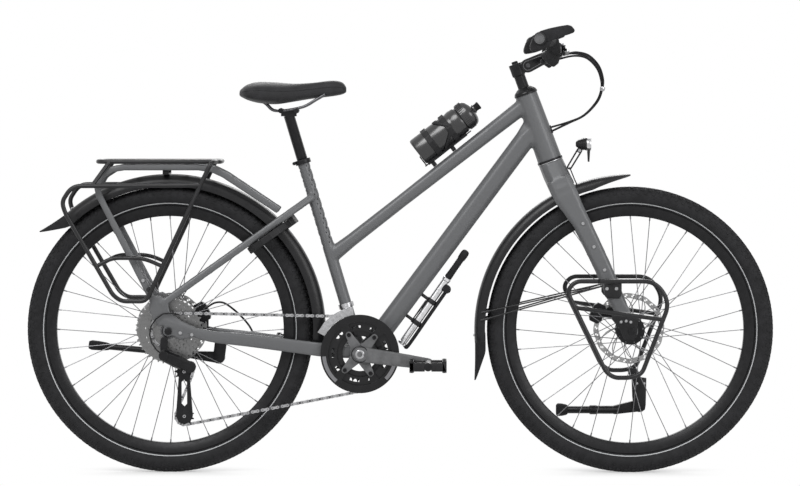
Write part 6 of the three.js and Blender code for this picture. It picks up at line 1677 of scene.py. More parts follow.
def build_cranks():
    near, far = SPIDER["near"], SPIDER["far"]
    star = [drum(BRACKET, 22, near - 0.1, far - 0.1, 48)]
    for angle in SPIDER_ANGLES:
        end = round_spot(BRACKET, BOLT_CIRCLE, radians(angle))
        star.append(hull_plate(BRACKET, 17, end, 8, near, far, 12))
        star.append(drum(end, 4.5, near + 0.4, -38, 20))
    skin("right_crank", "crank_spider", star, "crank", 30, 0.4)
    trim("right_crank", "right_crank_arm", [crank_arm(1)], "crank", 50)
    skin("left_crank", "left_crank_arm", [crank_arm(-1)], "crank", 50)
    trim("right_crank", "crank_axle", [drum(BRACKET, 12, -56, 66, 32)], "bolt", 30)
    spots = [on_circle(BRACKET, BOLT_CIRCLE, radians(angle), near + 0.1) for angle in SPIDER_ANGLES]
    heads = [(spot, (0, -1, 0), 5.2) for spot in spots]
    bolts("ring_bolts", "right_crank", heads, "anodised")
    rim = [(19.4, -2), (19.4, 0.3), (21.6, -0.4), (21.6, -2)]
    cap = [(6.6, 0), (6.6, 1.2), (9.6, 1.4), (11.4, 0.2), (11.4, -2), (6.6, -2)]
    for side, node in ((1, "right_crank"), (-1, "left_crank")):
        face, out = -side * CRANK["face"], (0, -side, 0)
        trim(node, node + "_boss_rim", [turned(rim, at(*BRACKET, face), out, 56)], "gloss", 30)
        trim(node, node + "_cap", [turned(cap, at(*BRACKET, face), out, 40)], "bolt", 30)
        bolts(node + "_eye", node, [(at(*crank_end(side), face), out, 5.4)], "dark_steel")


def build_pedal(side, node):
    """A platform pedal: a caged body with ribbed treads and amber reflectors. Side -1 is the drive side."""
    x, z = crank_end(-side)
    near, far, half, rise = PEDAL["near"], PEDAL["far"], PEDAL["half"], PEDAL["rise"]

    def block(x0, x1, z0, z1, y0, y1):
        corners = ((x0, z0), (x1, z0), (x1, z1), (x0, z1))
        return plate([at(x + dx, z + dz) for dx, dz in corners], *between(side, y0, y1))

    lengths = ((10.5, near, far, 32), (6, 57.5, near + 2, 24), (8.5, 71.5, 76, 6))
    spin = [drum((x, z), radius, *between(side, low, high), sides) for radius, low, high, sides in lengths]
    skin(node, node + "_barrel", spin, "anodised", 30, 0.5)
    parts, lens = [], []
    for sign in (-1, 1):
        for y0, y1 in ((near, near + PEDAL["plate"]), (far - PEDAL["plate"], far)):
            parts.append(block(*between(sign, half, 8), -11, 11, y0, y1))
        bar = between(sign, half, half - PEDAL["bar"])
        parts.append(block(*bar, -rise, -6, near, far))
        parts.append(block(*bar, 6, rise, near, far))
        parts.append(block(*bar, -rise, rise, near, near + PEDAL["end"]))
        parts.append(block(*bar, -rise, rise, far - PEDAL["end"], far))
        lens.append(block(*between(sign, 44.6, 38), -6, 6, near + PEDAL["end"], far - PEDAL["end"]))
    trim(node, node + "_cage", parts, "plastic", 30, 1.6)
    trim(node, node + "_reflectors", lens, "reflector", 30, 0.8)
    stud = item_of("stud_item", [box_item(3.4, 1.5, -0.4, 1)])
    places = []
    for sign in (-1, 1):
        for up in (-1, 1):
            for i in range(9):
                y = near + 8 + (far - near - 16) * i / 8
                place = at(x + sign * 40.5, z + up * rise, side * y)
                places.append((place, Vector((0, 0, up)), Vector((1, 0, 0)), (MM, MM, 1.8 * MM)))
    ridges = repeated(node + "_ridges", stud, places, "rubber")
    drop(stud)
    stand_for(ridges, node, hides=False)


def build_pulleys(loop):
    for node, centre in (("guide_pulley", GUIDE_CENTRE), ("tension_pulley", loop.tension)):
        phase = loop.phase(centre, pitch_radius(PULLEY_TEETH))
        parts = [toothed_ring(centre, PULLEY_TEETH, phase, 8.2, CHAIN_LINE - 1, CHAIN_LINE + 1)]
        parts.append(wheel([(4.6, -2.4), (8.6, -2.4), (8.6, 2.4), (4.6, 2.4)], centre, 32, CHAIN_LINE))
        skin(node, node + "_wheel", parts, "plastic", 30, 0.2)
        places = [(at(*centre, CHAIN_LINE + side * 5.2), (0, side, 0), 4.2) for side in (-1, 1)]
        bolts(node + "_bolt", "derailleur_cage", places)


class BuildDrive(bpy.types.Operator):
    """Make the chain, the rings, the cassette, the cranks, the pedals and the derailleurs"""

    bl_idname = "bicycle.build_drive"
    bl_label = "Drive"

    def execute(self, context):
        loop = Loop()
        build_chain(loop, context.scene.bicycle_drive)
        build_cassette(loop)
        build_rings(loop)
        build_chain_guard()
        build_cranks()
        for side, name in SIDES:
            build_pedal(side, name + "_pedal")
        build_pulleys(loop)
        crisp("derailleur_cage", "anodised", 0.3, 40)
        rounded("rear_derailleur", "anodised", 0.9, 6)
        crisp("front_derailleur", "bolt", 0.4, 40)
        return {"FINISHED"}


# Seat

# Rows of the saddle from the back: place along it, width, underside and top
SADDLE_SHARES = (
    (0, 0.52, 0.36, 0.58), (0.07, 0.93, 0.2, 0.82), (0.18, 1, 0.07, 0.94), (0.34, 0.86, 0.02, 0.93),
    (0.5, 0.54, 0.12, 0.88), (0.67, 0.33, 0.24, 0.92), (0.86, 0.28, 0.34, 1), (0.96, 0.23, 0.42, 0.92),
    (1, 0.1, 0.52, 0.7),
)
SADDLE_RAIL_SHARES = ((0.12, 0.36), (0.24, 0.06), (0.34, -0.24), (0.58, -0.1), (0.72, 0.22), (0.8, 0.42))
SADDLE = {"length": 268, "width": 164, "rise": 62, "x": -402.59, "z": 925.58, "rails": 22, "sides": 40}
STITCH = {"half": 1.5, "step": 4.6}


def saddle_rows(count):
    """The saddle's rows of sizes, smoothed to a larger count."""
    columns = flowing([Vector(row[:3]) for row in SADDLE_SHARES], count)
    tops = flowing([Vector((row[3], 0, 0)) for row in SADDLE_SHARES], count)
    return [(c.x, max(0.06, c.y), c.z, t.x) for c, t in zip(columns, tops)]


def saddle_ring(row, sides, grow=0.0):
    place, half, low, top = row
    x = SADDLE["x"] + place * SADDLE["length"]
    middle = SADDLE["z"] + (low + top) / 2 * SADDLE["rise"]
    rise = (top - low) / 2 * SADDLE["rise"] + grow
    reach = half * SADDLE["width"] / 2 + grow
    ring = []
    for a in round_angles(sides):
        c, s = cos(a), sin(a)
        across = swell(c, 0.78)
        up = swell(s, 0.72 if s > 0 else 0.5)
        dip = 3.6 * exp(-(across * reach / 9) ** 2) * sin(pi * min(1, place * 1.05)) if s > 0 else 0
        crown = -2.6 * across * across * (1 if s > 0 else 0)
        ring.append(at(x, middle + up * rise - dip + crown, across * reach))
    return ring


def build_saddle():
    cushion = [strip([saddle_ring(row, SADDLE["sides"]) for row in saddle_rows(4)])]
    cover = shape("saddle_cushion", cushion, "saddle", 70)
    surface = cover.modifiers.new("surface", "SUBSURF")
    surface.levels = surface.render_levels = 1
    settled(cover)
    smooth_by(cover.data, 70)
    stand_for(cover, "saddle")
    rails = []
    for side in (-1, 1):
        corners = []
        for along, up in SADDLE_RAIL_SHARES:
            x, z = SADDLE["x"] + along * SADDLE["length"], SADDLE["z"] + up * SADDLE["rise"]
            corners.append(at(x, z, side * SADDLE["rails"]))
        rails.append(tube(flowing(corners, 8), 3.5, 16))
    trim("saddle", "saddle_rails", rails, "dark_steel", 50)


def build_seam():
    """Stitches of even length along both shoulders of the saddle."""
    thread = [Vector((x, 0, cos(x * 1.5) * 0.35)) for x in (-1, -0.5, 0, 0.5, 1)]
    stitch = item_of("stitch_item", [tube(thread, [180, 330, 360, 330, 180], 8)])
    places = []
    for side in (-1, 1):
        corner = 1 if side > 0 else SADDLE["sides"] // 2 - 1
        line = [saddle_ring(row, SADDLE["sides"], 0.25)[corner] for row in saddle_rows(10)[6:-6]]
        travelled, following = 0.0, 0.0
        for a, b in zip(line, line[1:]):
            step = (b - a).length
            along = (b - a).normalized()
            out = Vector((0, side, 0.35))
            out = (out - along * out.dot(along)).normalized()
            while following < travelled + step:
                spot = mix(a, b, (following - travelled) / step)
                places.append((spot, out, along, (STITCH["half"] * MM,) * 3))
                following += STITCH["step"] * MM
            travelled += step
    seam = repeated("saddle_stitches", stitch, places, "rubber", 60)
    drop(stitch)
    stand_for(seam, "saddle", hides=False)


class BuildSeat(bpy.types.Operator):
    """Make the padded saddle, its rails, its seam and the seat post"""

    bl_idname = "bicycle.build_seat"
    bl_label = "Seat"

    def execute(self, context):
        build_saddle()
        build_seam()
        crisp("seat_post", "anodised", 0.5)
        return {"FINISHED"}


# Cockpit

BAR = {"half": 316, "sweep": 50, "rise": 23, "radius": 11.1, "swelling": 4.8, "clamp": 46, "taper": 16}
BAR_CENTRE = (391.347, 1062.697)
BAR_BEND_SHARES = (0.4, 0.18, 0.8)
BAR_SHARES = ((-1, 1, 1), (-0.4, 0.18, 0.8), (-0.19, 0, 0), (0.19, 0, 0), (0.4, 0.18, 0.8), (1, 1, 1))
STEM_PIVOT = (321, 1024)
STEM_CLAMP = (361.9, 1043.2)
STEM_BOLTS = {"ahead": 128.5, "up": HEAD_TOP + 74.5, "apart": 9, "aside": 16}
SHIFTER_POD = ((347, 1050), (359, 1033), (380, 1018), (392, 1028), (397, 1046), (390, 1058), (365, 1062))
PALM = (
    (318, 1062), (318.5, 1070), (323, 1084), (330, 1096), (343, 1105), (360, 1110), (370, 1108), (374, 1097),
    (372, 1082), (364, 1066), (349, 1061), (334, 1058), (322, 1056.5),
)
HORN = (
    (330, 1090), (343, 1105), (363, 1111), (386, 1116), (408, 1119.5), (418, 1117), (426, 1107), (424, 1101),
    (412, 1096.5), (393, 1091), (379, 1085), (360, 1078),
)
GRIP_FACE = (340, 1085.7)


def bar_point(across, back, up):
    """A point of the handlebar's line, from shares of its half width, its sweep and its rise."""
    return at(BAR_CENTRE[0] - back * BAR["sweep"], BAR_CENTRE[1] + up * BAR["rise"], across * BAR["half"])


def build_handlebar():
    corners = [bar_point(*row) for row in BAR_SHARES]
    line = [mix(a, b, i / 8) for a, b in zip(corners, corners[1:]) for i in range(8)] + corners[-1:]
    for _ in range(6):
        line = line[:1] + [(a + b * 2 + c) / 4 for a, b, c in zip(line, line[1:], line[2:])] + line[-1:]
    radii = []
    for p in line:
        share = max(0, min(1, (BAR["clamp"] - abs(p.y) / MM) / BAR["taper"]))
        radii.append(BAR["radius"] + BAR["swelling"] * share)
    skin("handlebar", "handlebar_tube", [tube(line, radii, 32)], "anodised", 50)


def build_stem():
    """The stem's cheeks on the pivot, each with a thin ring on its face round a long recess that is not cut,
    its bolts and the seal below it.
    """
    heading = atan2(STEM_CLAMP[1] - STEM_PIVOT[1], STEM_CLAMP[0] - STEM_PIVOT[0])
    short, long = (round_spot(STEM_PIVOT, reach, heading) for reach in (38, 52))
    parts, rims = [], []
    for side in (-1, 1):
        parts.append(hull_plate(STEM_PIVOT, 17.6, long, 14.6, *between(side, 14.5, 18.6), 20))
        outer, inner = (hull_outline(STEM_PIVOT, 17.6 - cut, short, 14.4 - cut, 20) for cut in (5.2, 6.8))
        rims.append(ring_plate(outer, inner, *between(side, 18.4, 19.1)))
    trim("stem_extension", "stem_cheeks", parts, "gloss", 30, 1.6)
    trim("stem_extension", "stem_recess_rims", rims, "crank", 30, 0.2)
    ahead, up = steered(1, 0) - steered(0, 0), steered(0, 1) - steered(0, 0)
    bolts("stem_bolts", "stem_extension", [
        (steered(STEM_BOLTS["ahead"], STEM_BOLTS["up"] + up_side * STEM_BOLTS["apart"],
                 y_side * STEM_BOLTS["aside"]), ahead, 3.4)
        for up_side in (-1, 1) for y_side in (-1, 1)])
    places = [(at(*STEM_PIVOT, side * 19.2), (0, side, 0), 5.6) for side in (-1, 1)]
    bolts("stem_pivot_bolts", "stem_riser", places, "dark_steel")
    bolts("stem_top_bolt", "stem_riser", [(steered(0, HEAD_TOP + 77), up, 8)], "anodised")
    seal = [(21, -1.6), (28.9, -1.6), (29.6, 0), (28.9, 1.6), (21, 1.6)]
    trim("stem_riser", "headset_seal", [turned(seal, steered(0, HEAD_TOP), up, 56)], "gloss", 40)


def build_grip(side, node):
    """A grip's sleeve, its winged palm rest and bar end, and the cap on the handlebar's end."""
    across, back, up = BAR_BEND_SHARES
    start, end = bar_point(side * across, back, up), bar_point(side, 1, 1)
    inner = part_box(node)[0].y if side > 0 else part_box(node)[1].y
    share = (inner - start.y) / (end.y - start.y)
    sleeve = tube([mix(start, end, t) for t in (share, share + 0.01, 0.99)], [16, 17, 17], 40)
    skin(node, node + "_sleeve", [sleeve], "grip", 35)
    trim(node, node + "_palm", [side_plate(PALM, side, 240, 314)], "grip", 35, 6, 4)
    trim(node, node + "_horn", [side_plate(HORN, side, 284, 316)], "grip", 35, 5, 4)
    face = [(0, 0), (10.6, 0), (10.6, 1.8), (12.2, 1.8), (12.2, -6), (0, -6)]
    trim(node, node + "_face", [turned(face, at(*GRIP_FACE, side * 320), LATERAL * side, 40)], "crank", 40)
    along = (end - start).normalized()
    cap = [(0, -5), (15.5, -5), (15.5, -3.4), (13, -2.4), (0, -2.4)]
    trim(node, node + "_end", [turned(cap, end + along * (4 * MM), along, 40)], "plastic", 40)


def build_lamp():
    """The headlamp: a finned shell on its eye, with mirror, bezel, lens and the flap below."""
    eye = steered(*LAMP_EYE)
    middle = eye + at(9.5, 16)

    def barrel(profile, steps):
        return turned(profile, middle, (1, 0, 0), steps)

    shell = barrel([
        (0, -19), (4.5, -18.8), (7.5, -17), (9.5, -13), (12, -5), (15, 4), (16.5, 9), (16.5, 18), (15.6, 19),
        (14.6, 19), (14.2, 17.4), (0, 17.2),
    ], 56)
    low, high = ((p.x / MM, p.z / MM) for p in (eye, middle))
    tongue = hull_plate(low, 6, high, 6.4, -4.4, 4.4, 12)
    skin("headlamp", "headlamp_shell", [shell, tongue], "plastic", 35, 0.3)
    mirror = barrel([(0, 17.3), (6, 17.4), (13.6, 18.2), (13.6, 17.6), (0, 17)], 40)
    bezel = barrel([(15.9, 8), (17, 9.5), (17.2, 18), (16, 19.6), (15, 19.6), (15, 8)], 56)
    trim("headlamp", "headlamp_mirror", [mirror, bezel], "mirror", 50)
    lens = barrel([(0, 20.6), (7, 20.2), (12, 19.4), (14.4, 18.4), (14.4, 18), (0, 18.4)], 40)
    trim("headlamp", "headlamp_lens", [lens], "lens", 50)
    flap = [middle + at(x, z) for x, z in ((9.5, -8), (17.6, -8), (15.4, -44.5), (11.6, -44.5))]
    trim("headlamp", "headlamp_flap", [plate(flap, -9.5, 9.5)], "plastic", 30, 1.0)
    fins = []
    for i in range(4):
        back, radius = -13 + i * 4.2, 10 + i * 1.5
        root, rim, front = radius - 1.5, radius + 1.1, back + 1.6
        fins.append(barrel([(root, back), (rim, back), (rim, front), (root, front)], 48))
    trim("headlamp", "headlamp_fins", fins, "plastic", 30)


# Points of the hoses and the cable: forward, up and to the left, in millimetres
HOSES = {
    "rear_brake_hose": [
        (416, 1052, -133), (438, 1056, -112), (470, 1049, -72), (497, 1024, -36), (509, 992, -16),
        (508, 966, -9), (496, 934, -8), (464, 900, -8), (424, 880, -8),
    ],
    "shift_cable": [
        (394, 1039, -138), (432, 1047, -112), (465, 1042, -74), (492, 1018, -36), (504, 989, -14),
        (505, 964, -3), (493, 933, 0), (461, 899, 0), (422, 882, 0),
    ],
    "front_brake_hose": [
        (416, 1052, 133), (438, 1056, 112), (470, 1049, 72), (497, 1024, 36), (509, 992, 16),
        (508, 966, 9), (496, 934, 8), (464, 900, 8), (424, 880, 8),
    ],
}
TAIL_HOSE = (
    (-489, 413, 47), (-470, 424, 47), (-448, 424, 51), (-424, 408, 55), (-402, 388, 55), (-384, 367, 53),
    (-375, 351, 52),
)
HOSE_RADIUS = 2.5
CLIP_POINT = 5
PORT = {"radius": 28.5, "side_up": 70, "side_out": 2.6, "middle_up": 80, "middle_out": 1.8}


def build_hose(node, route):
    """A hose in two pieces that meet where the clip sits, with a grommet at its port; only a hose on the
    right gets the clip.
    """
    y = route[-1][2]
    place = "side" if y else "middle"
    up, out = CROWN_HEIGHT + PORT[place + "_up"], sqrt(PORT["radius"] ** 2 - y ** 2) + PORT[place + "_out"]
    port = steered(out, up, y)
    line = flowing([at(*p) for p in route] + [port], 10)
    cut = CLIP_POINT * 10
    upper, lower = line[:cut + 1], line[cut:]
    top, low = (
        shape(node + label, [tube(run, HOSE_RADIUS, 14, LATERAL)], "rubber", 60)
        for label, run in (("_upper", upper), ("_lower", lower)))
    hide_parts(node)
    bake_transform(top)
    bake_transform(low)
    grommet = [(2.7, -1.5), (5.2, -1.2), (5.4, 1.6), (2.7, 2.2)]
    inward = (steered(0, up, y) - port).normalized()
    trim("main_frame", node + "_grommet", [turned(grommet, port, inward, 28)], "rubber", 60)
    if y < 0:
        clip = [(0, -5.5), (5, -5.5), (6.6, -3), (6.6, 3), (5, 5.5), (0, 5.5)]
        clip = turned(clip, line[cut], line[cut + 1] - line[cut - 1], 24)
        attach(shape("hose_clip", [clip], "bolt", 40), "fork_assembly")


def build_tail():
    tail = tube(flowing([at(*p) for p in TAIL_HOSE], 8), HOSE_RADIUS, 14)
    skin("rear_hose_tail", "rear_hose_tail_tube", [tail], "rubber", 60)


class BuildCockpit(bpy.types.Operator):
    """Make the handlebar, stem, grips, levers, headlamp and hoses"""

    bl_idname = "bicycle.build_cockpit"
    bl_label = "Cockpit and lamp"

    def execute(self, context):
        build_handlebar()
        rounded("stem_extension", "anodised", 1.1, 6)
        rounded("stem_riser", "anodised", 1.2, 5)
        build_stem()
        for side, name in SIDES:
            rounded(name + "_controls", "plastic", 1.0, 6)
            rounded(name + "_brake_lever", "anodised", 0.8, 6)
            crisp(name + "_shift_lever", "plastic", 0.5, 40)
            pod = side_plate(SHIFTER_POD, side, 140, 166)
            trim(name + "_controls", name + "_shifter_pod", [pod], "plastic", 35, 4, 3)
            build_grip(side, name + "_grip")
        build_lamp()
        for node, route in HOSES.items():
            build_hose(node, route)
        build_tail()
        return {"FINISHED"}


# Luggage, bottle, pump, stands and lock

LOW_RIDER = {
    "x": 416, "z": 248, "long": 255, "high": 240, "out": 120, "in": 68, "bosses": (519, 545.5), "boss_z": 488,
}
LOW_RIDER_SHARES = (
    (0.3, 1), (0.86, 1), (1, 0.78), (0.73, 0.04), (0.62, 0), (0.46, 0), (0.38, 0.06), (0.06, 0.76), (0, 0.9),
    (0.08, 1), (0.32, 1),
)
LOW_RIDER_PAD = (
    (510.4, 486.8), (554.4, 486.8), (554.4, 451.2), (547.8, 442.4), (517, 442.4), (510.4, 451.2),
)
CARRIER = {
    "x": -842, "z": 436, "long": 362, "high": 292, "out": 90, "deck": 783.6, "half": 58, "rails": 19.3,
}
CARRIER_SIDE_SHARES = (
    (1.03, 1.19), (0.62, 0.11), (0.58, 0), (0.41, 0), (0.35, 0.05), (0.02, 0.76), (0, 0.85), (0.07, 0.985),
    (0.95, 0.99),
)
CARRIER_INNER_SHARES = ((0.24, 0.3), (0.34, 0.37), (0.56, 0.37), (0.69, 0.3))
CARRIER_RIM_SHARES = ((1.085, 0), (1.085, 1), (0.235, 1), (0.235, -1), (1.085, -1), (1.085, 0))
CARRIER_BEND = 34
STAND_BLOCK = (
    (590, 234), (628, 229), (626.5, 160), (624.5, 148), (617, 142.5), (609, 141.5), (601, 143), (596, 147),
    (592, 182),
)
STAND_ARM = ((577, 252.5), (583, 256), (600, 254), (607, 248), (613, 232), (596, 226), (587, 230))
FRONT_STAND_PIVOT = (608.5, 156.8)
FRONT_STAND_BOLTS = ((604, 215.3), (622, 215.3))


def build_low_rider(side, node):
    """A loop with a crossbar and a mounting pad on one side of the fork."""
    def spot(along, up):
        x, z = LOW_RIDER["x"] + along * LOW_RIDER["long"], LOW_RIDER["z"] + up * LOW_RIDER["high"]
        return at(x, z, side * LOW_RIDER["out"])

    loop = bent([spot(*share) for share in LOW_RIDER_SHARES], 30)
    parts = [tube(loop, 5.6, 16), rod(spot(0.06, 0.73), spot(0.95, 0.6), 5.4)]
    for x in LOW_RIDER["bosses"]:
        start, end = (at(x, LOW_RIDER["boss_z"], side * LOW_RIDER[place]) for place in ("in", "out"))
        parts.append(rod(start, end, 4.6))
    skin(node, node + "_tubes", parts, "powder", 50)
    trim(node, node + "_pad", [side_plate(LOW_RIDER_PAD, side, 66, 72)], "powder", 30, 1.6)
    bolts(node + "_bolts", node, [(at(x, 467, side * 71.9), (0, side, 0), 4.4) for x in (517.5, 541)])


def build_front_stand_mount():
    """The block that holds the front stand on the left low rider, with its arm, pin and bolts."""
    node = "left_low_rider"
    pin = drum(FRONT_STAND_PIVOT, 4, 117, 136)
    trim(node, "front_stand_plate", [side_plate(STAND_BLOCK, 1, 106, 117.6), pin], "anodised", 30, 1.2)
    trim(node, "front_stand_arm", [side_plate(STAND_ARM, 1, 104, 119)], "plastic", 30, 1.2)
    bolts("front_stand_bolts", node, [(at(x, z, 105.8), (0, -1, 0), 3.2) for x, z in FRONT_STAND_BOLTS])


def build_rear_carrier():
    """A tubular rack: a bent loop and a rail on each side, and a deck of rods inside a rim."""
    deck, half = CARRIER["deck"], CARRIER["half"]

    def spot(along, up, side):
        x, z = CARRIER["x"] + along * CARRIER["long"], CARRIER["z"] + up * CARRIER["high"]
        return at(x, z, side * CARRIER["out"])

    parts = []
    for side in (-1, 1):
        corners = [spot(*share, side) for share in CARRIER_SIDE_SHARES]
        corners[0].z = deck * MM
        corners.insert(0, corners[0] + at(11, 0))
        corners[0].y = side * half * MM
        parts.append(tube(bent(corners, CARRIER_BEND), 5.7, 16))
        inner = [spot(*share, side) for share in CARRIER_INNER_SHARES]
        parts.append(tube(bent(inner, CARRIER_BEND), 5.2, 16))
        parts.append(rod(at(-726, deck, side * half), spot(0.21, 0.99, side), 5.2))
        parts.append(rod(at(-625, 465, side * 78), at(-625, 465, side * CARRIER["out"]), 7, 20))
        parts.append(rod(*(at(x, deck, side * CARRIER["rails"]) for x in (-449, -757)), 4.6))
    rim = [
        at(CARRIER["x"] + along * CARRIER["long"], deck, across * half)
        for along, across in CARRIER_RIM_SHARES]
    parts.append(tube(bent(rim, CARRIER_BEND), 5.6, 16))
    for x in (-668, -534):
        parts.append(rod(at(x, deck, -half), at(x, deck, half), 4.6))
    skin("rear_carrier", "rear_carrier_tubes", parts, "powder", 50)


def build_stand(node, route, y, near, far, head, leg, foot):
    """A folding leg: a forged head on the pivot, a tube with its spring housing, and a rubber foot."""
    knee, tip = (at(*spot, y) for spot in route[1:])
    forged = hull_plate(route[0], head, route[1], leg * 1.05, near, far)
    shaft = tube([mix(knee, tip, t) for t in (-0.05, 0.3, 0.32, 0.42, 0.44, 0.9)],
                 [leg, leg, leg * 1.14, leg * 1.14, leg * 0.9, leg * 0.9], 24)
    skin(node, node + "_forging", [forged, shaft], "anodised", 30, 0.8)
    shoe = tube([mix(knee, tip, t) for t in (0.8, 0.83, 0.9, 0.97, 1.0)],
                [leg, foot * 0.86, foot, foot * 1.04, foot * 0.8], 24)
    trim(node, node + "_shoe", [shoe], "rubber", 30, 0.6)
    bolts(node + "_pivot_bolt", node, [(at(*route[0], far), (0, 1, 0), head * 0.55)], "dark_steel")


# The bottle's axis, its radius in millimetres and its number of ribs
BOTTLE_ALONG = Vector((0.78784, 0, 0.61589))
BOTTLE = {"radius": 36.5, "rib": 36, "rib_place": 151, "ribs": 44}
# The cage's wing: degrees round the bottle from the side of the frame, then millimetres from its base
BOTTLE_WING = (
    (12, 58), (28, 66), (44, 74), (58, 83), (70, 92), (80, 99), (90, 103), (100, 103), (110, 99), (122, 93),
    (136, 87), (150, 82), (162, 79),
)
WING_SECTION = ((-6, 0.5), (6, 0.5), (6.4, 1.8), (5, 3), (-5, 3), (-6.4, 1.8))
SPINE_SECTION = ((-9, -1.6), (9, -1.6), (9, 3.4), (5, 5.6), (-5, 5.6), (-9, 3.4))
SPINE_ENDS = (4, 126)


def bottle_places():
    """The bottle's axis, the way up from it, and the middle of its base."""
    axis = BOTTLE_ALONG
    up = Vector((-axis.z, 0, axis.x))
    corners = [v.co for v in frame["nodes"]["water_bottle"].data.vertices]
    heights = [p.dot(up) for p in corners]
    return axis, up, axis * min(p.dot(axis) for p in corners) + up * ((max(heights) + min(heights)) / 2)


def build_bottle():
    axis, up, base = bottle_places()
    r = BOTTLE["radius"]
    body = [
        (0, 1.6), (18, 1.6), (22, 0), (r * 0.86, 0), (r * 0.96, 1.6), (r * 0.99, 5.5), (r * 0.985, 40),
        (r * 0.97, 43), (r * 0.97, 47), (r * 0.985, 50), (r * 0.985, 108), (r * 0.965, 111), (r * 0.965, 114),
        (r * 0.985, 117), (r * 0.985, 134), (r * 0.95, 138.5), (33.2, 139.5), (33.2, 144), (0, 144),
    ]
    lid = [
        (0, 141), (35.2, 141), (36, 142.2), (36, 159), (35.2, 163.5), (32.6, 168.5), (27.5, 172.8),
        (20, 175.4), (13, 176.2), (11.6, 177.5), (11.4, 181), (0, 181),
    ]
    spout = [
        (0, 178), (9, 178), (9, 190), (10.2, 191.5), (10.2, 194), (8.4, 196), (3, 196), (2.4, 193), (0, 193),
    ]
    skin("water_bottle", "bottle_body", [turned(body, base, axis, 72)], "bottle", 60)
    trim("water_bottle", "bottle_lid", [turned(lid, base, axis, 72)], "bottle", 40)
    trim("water_bottle", "bottle_spout", [turned(spout, base, axis, 48)], "rubber", 40)
    rib = item_of("rib_item", [box_item(1.1, 8, -0.4, 0.8)])
    places = []
    for a in round_angles(BOTTLE["ribs"]):
        out = up * cos(a) + LATERAL * sin(a)
        place = base + axis * (BOTTLE["rib_place"] * MM) + out * (BOTTLE["rib"] * MM)
        places.append((place, out, out.cross(axis), (MM, MM, MM)))
    ribs = repeated("bottle_lid_ribs", rib, places, "bottle")
    drop(rib)
    stand_for(ribs, "water_bottle", hides=False)


def build_bottle_wings():
    """The cage's two wings round the bottle and its spine along the frame."""
    axis, up, base = bottle_places()
    r = BOTTLE["radius"]
    parts = []
    for side in (-1, 1):
        rings = []
        for turn, along in BOTTLE_WING:
            out = -up * cos(radians(turn)) + LATERAL * (side * sin(radians(turn)))
            rings.append([base + axis * ((along + a) * MM) + out * ((r + b) * MM) for a, b in WING_SECTION])
        parts.append(strip(rings))
    spine = [
        [base + axis * (along * MM) - up * ((r + rise) * MM) + LATERAL * (y * MM)
         for y, rise in SPINE_SECTION]
        for along in SPINE_ENDS]
    parts.append(strip(spine))
    trim("bottle_cage", "bottle_cage_wings", parts, "plastic", 50)


PUMP_LOW, PUMP_TOP = at(3.1, 322.1), at(120.1, 489.9)
PUMP = {
    "radius": 9.5, "hose_out": 16, "head_out": 14.4, "head_half": 13, "head_share": 0.88, "hose_share": 0.86,
}
PUMP_RIBS = {"first": 26, "step": 6.5, "crest": 8.75, "root": 8.1, "half": 3, "count": 5}


def build_pump():
    """The pump's barrel, its folded hose with the head, and the ribbed handle."""
    along = (PUMP_TOP - PUMP_LOW).normalized()
    out = LATERAL.cross(along)
    reach = (PUMP_TOP - PUMP_LOW).length / MM
    r = PUMP["radius"]
    barrel = [
        (0, 0), (r * 0.9, 0), (r * 1.2, 1.5), (r * 1.2, 7), (r, 8.5), (r, reach - 10),
        (r * 1.15, reach - 8.5), (r * 1.18, reach - 1.4), (r, reach), (0, reach),
    ]
    skin("pump_barrel", "pump_tube", [turned(barrel, PUMP_LOW, along, 40)], "pump", 40)

    def beside(forward, outward):
        return PUMP_LOW + along * (forward * MM) + out * (outward * MM)

    low, top = beside(4, PUMP["hose_out"]), beside(reach * PUMP["hose_share"], PUMP["hose_out"])
    line = flowing([beside(5, 4), beside(2.5, 11), beside(9, PUMP["hose_out"]), mix(low, top, 0.5), top], 8)
    middle = mix(PUMP_LOW, PUMP_TOP, PUMP["head_share"]) + out * (PUMP["head_out"] * MM)
    across = LATERAL * (PUMP["head_half"] * MM)
    head = rod(middle - across, middle + across, 10.4, 28)
    trim("pump_barrel", "pump_hose", [tube(line, 4.6, 20), head], "rubber", 40)
    handle = [
        (0, 0.4), (r * 0.9, 0.4), (r * 0.98, 3), (8.6, 20), (8.9, 45), (9.8, 60), (10.4, 70), (10.2, 76),
        (8.6, 81.5), (4.6, 84),
    ]
    for i in range(PUMP_RIBS["count"]):
        spot = PUMP_RIBS["first"] + i * PUMP_RIBS["step"]
        handle += [(PUMP_RIBS["crest"], spot), (PUMP_RIBS["root"] + 0.02 * i, spot + PUMP_RIBS["half"])]
    handle = sorted(handle, key=lambda corner: corner[1]) + [(0, 84.5)]
    skin("pump_handle", "pump_grip", [turned(handle, PUMP_TOP, along, 40)], "rubber", 40)


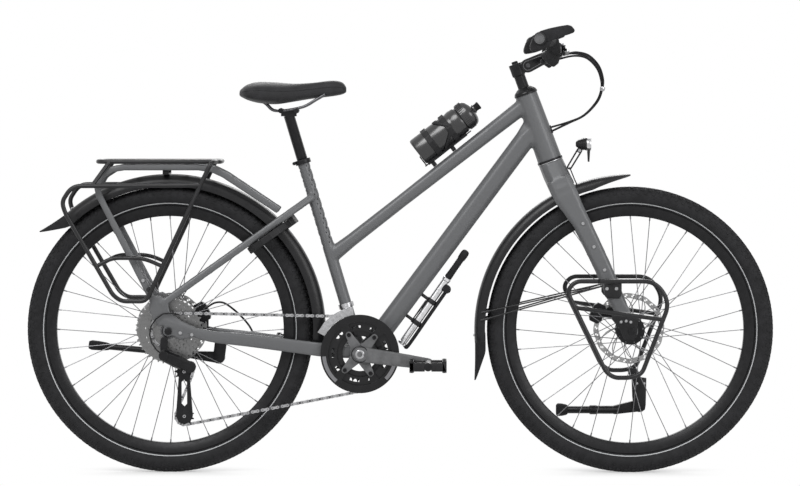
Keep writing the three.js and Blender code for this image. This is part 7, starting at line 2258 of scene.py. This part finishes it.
class BuildEquipment(bpy.types.Operator):
    """Make the carriers, bottle, pump, stands, lock and brakes"""

    bl_idname = "bicycle.build_equipment"
    bl_label = "Carriers and equipment"

    def execute(self, context):
        build_rear_carrier()
        for side, name in SIDES:
            build_low_rider(side, name + "_low_rider")
        build_front_stand_mount()
        build_bottle()
        build_bottle_wings()
        rounded("bottle_cage", "plastic", 1.1, 5)
        build_pump()
        crisp("pump_bracket", "plastic", 0.4, 40)
        build_stand("rear_stand_leg", ((-461, 283), (-534, 290), (-793, 314.9)), 83, 74.5, 92, 15, 8.6, 12)
        route = (FRONT_STAND_PIVOT, (549, 146), (398, 146))
        build_stand("front_stand_leg", route, 125.6, 118.4, 133, 15, 10.5, 16)
        rounded("ring_lock", "plastic", 1.1, 6)
        rounded("ring_lock_shackle", "bolt", 0.7, 5)
        for which in ("rear", "front"):
            rounded(which + "_brake_caliper", "anodised", 0.9, 4)
        return {"FINISHED"}


class BICYCLE_PT_build(bpy.types.Panel):
    """Settings and steps of the bicycle"""

    bl_idname = "BICYCLE_PT_build"
    bl_label = "Bicycle"
    bl_space_type = "VIEW_3D"
    bl_region_type = "UI"
    bl_category = "Bicycle"

    def draw(self, context):
        for group in ("bicycle_colours", "bicycle_wheels", "bicycle_drive", "bicycle_stage"):
            settings = getattr(context.scene, group)
            box = self.layout.box()
            for prop in settings.bl_rna.properties:
                if prop.identifier not in ("rna_type", "name"):
                    box.prop(settings, prop.identifier)
        for step in OPERATORS:
            self.layout.operator(step.bl_idname)


SETTINGS = {
    "bicycle_colours": BicycleColours, "bicycle_wheels": BicycleWheels, "bicycle_drive": BicycleDrive,
    "bicycle_stage": BicycleStage,
}
OPERATORS = (BuildStage, BuildWheels, BuildFrame, BuildDrive, BuildSeat, BuildCockpit, BuildEquipment)


def register():
    for kind in (*SETTINGS.values(), *OPERATORS, BICYCLE_PT_build):
        bpy.utils.register_class(kind)
    for name, kind in SETTINGS.items():
        setattr(bpy.types.Scene, name, bpy.props.PointerProperty(type=kind))


def unregister():
    for name in SETTINGS:
        delattr(bpy.types.Scene, name)
    for kind in reversed((*SETTINGS.values(), *OPERATORS, BICYCLE_PT_build)):
        bpy.utils.unregister_class(kind)


def main():
    register()
    bpy.ops.bicycle.build_stage()
    bpy.ops.bicycle.build_wheels()
    bpy.ops.bicycle.build_frame()
    bpy.ops.bicycle.build_drive()
    bpy.ops.bicycle.build_seat()
    bpy.ops.bicycle.build_cockpit()
    bpy.ops.bicycle.build_equipment()


if __name__ == "__main__":
    main()
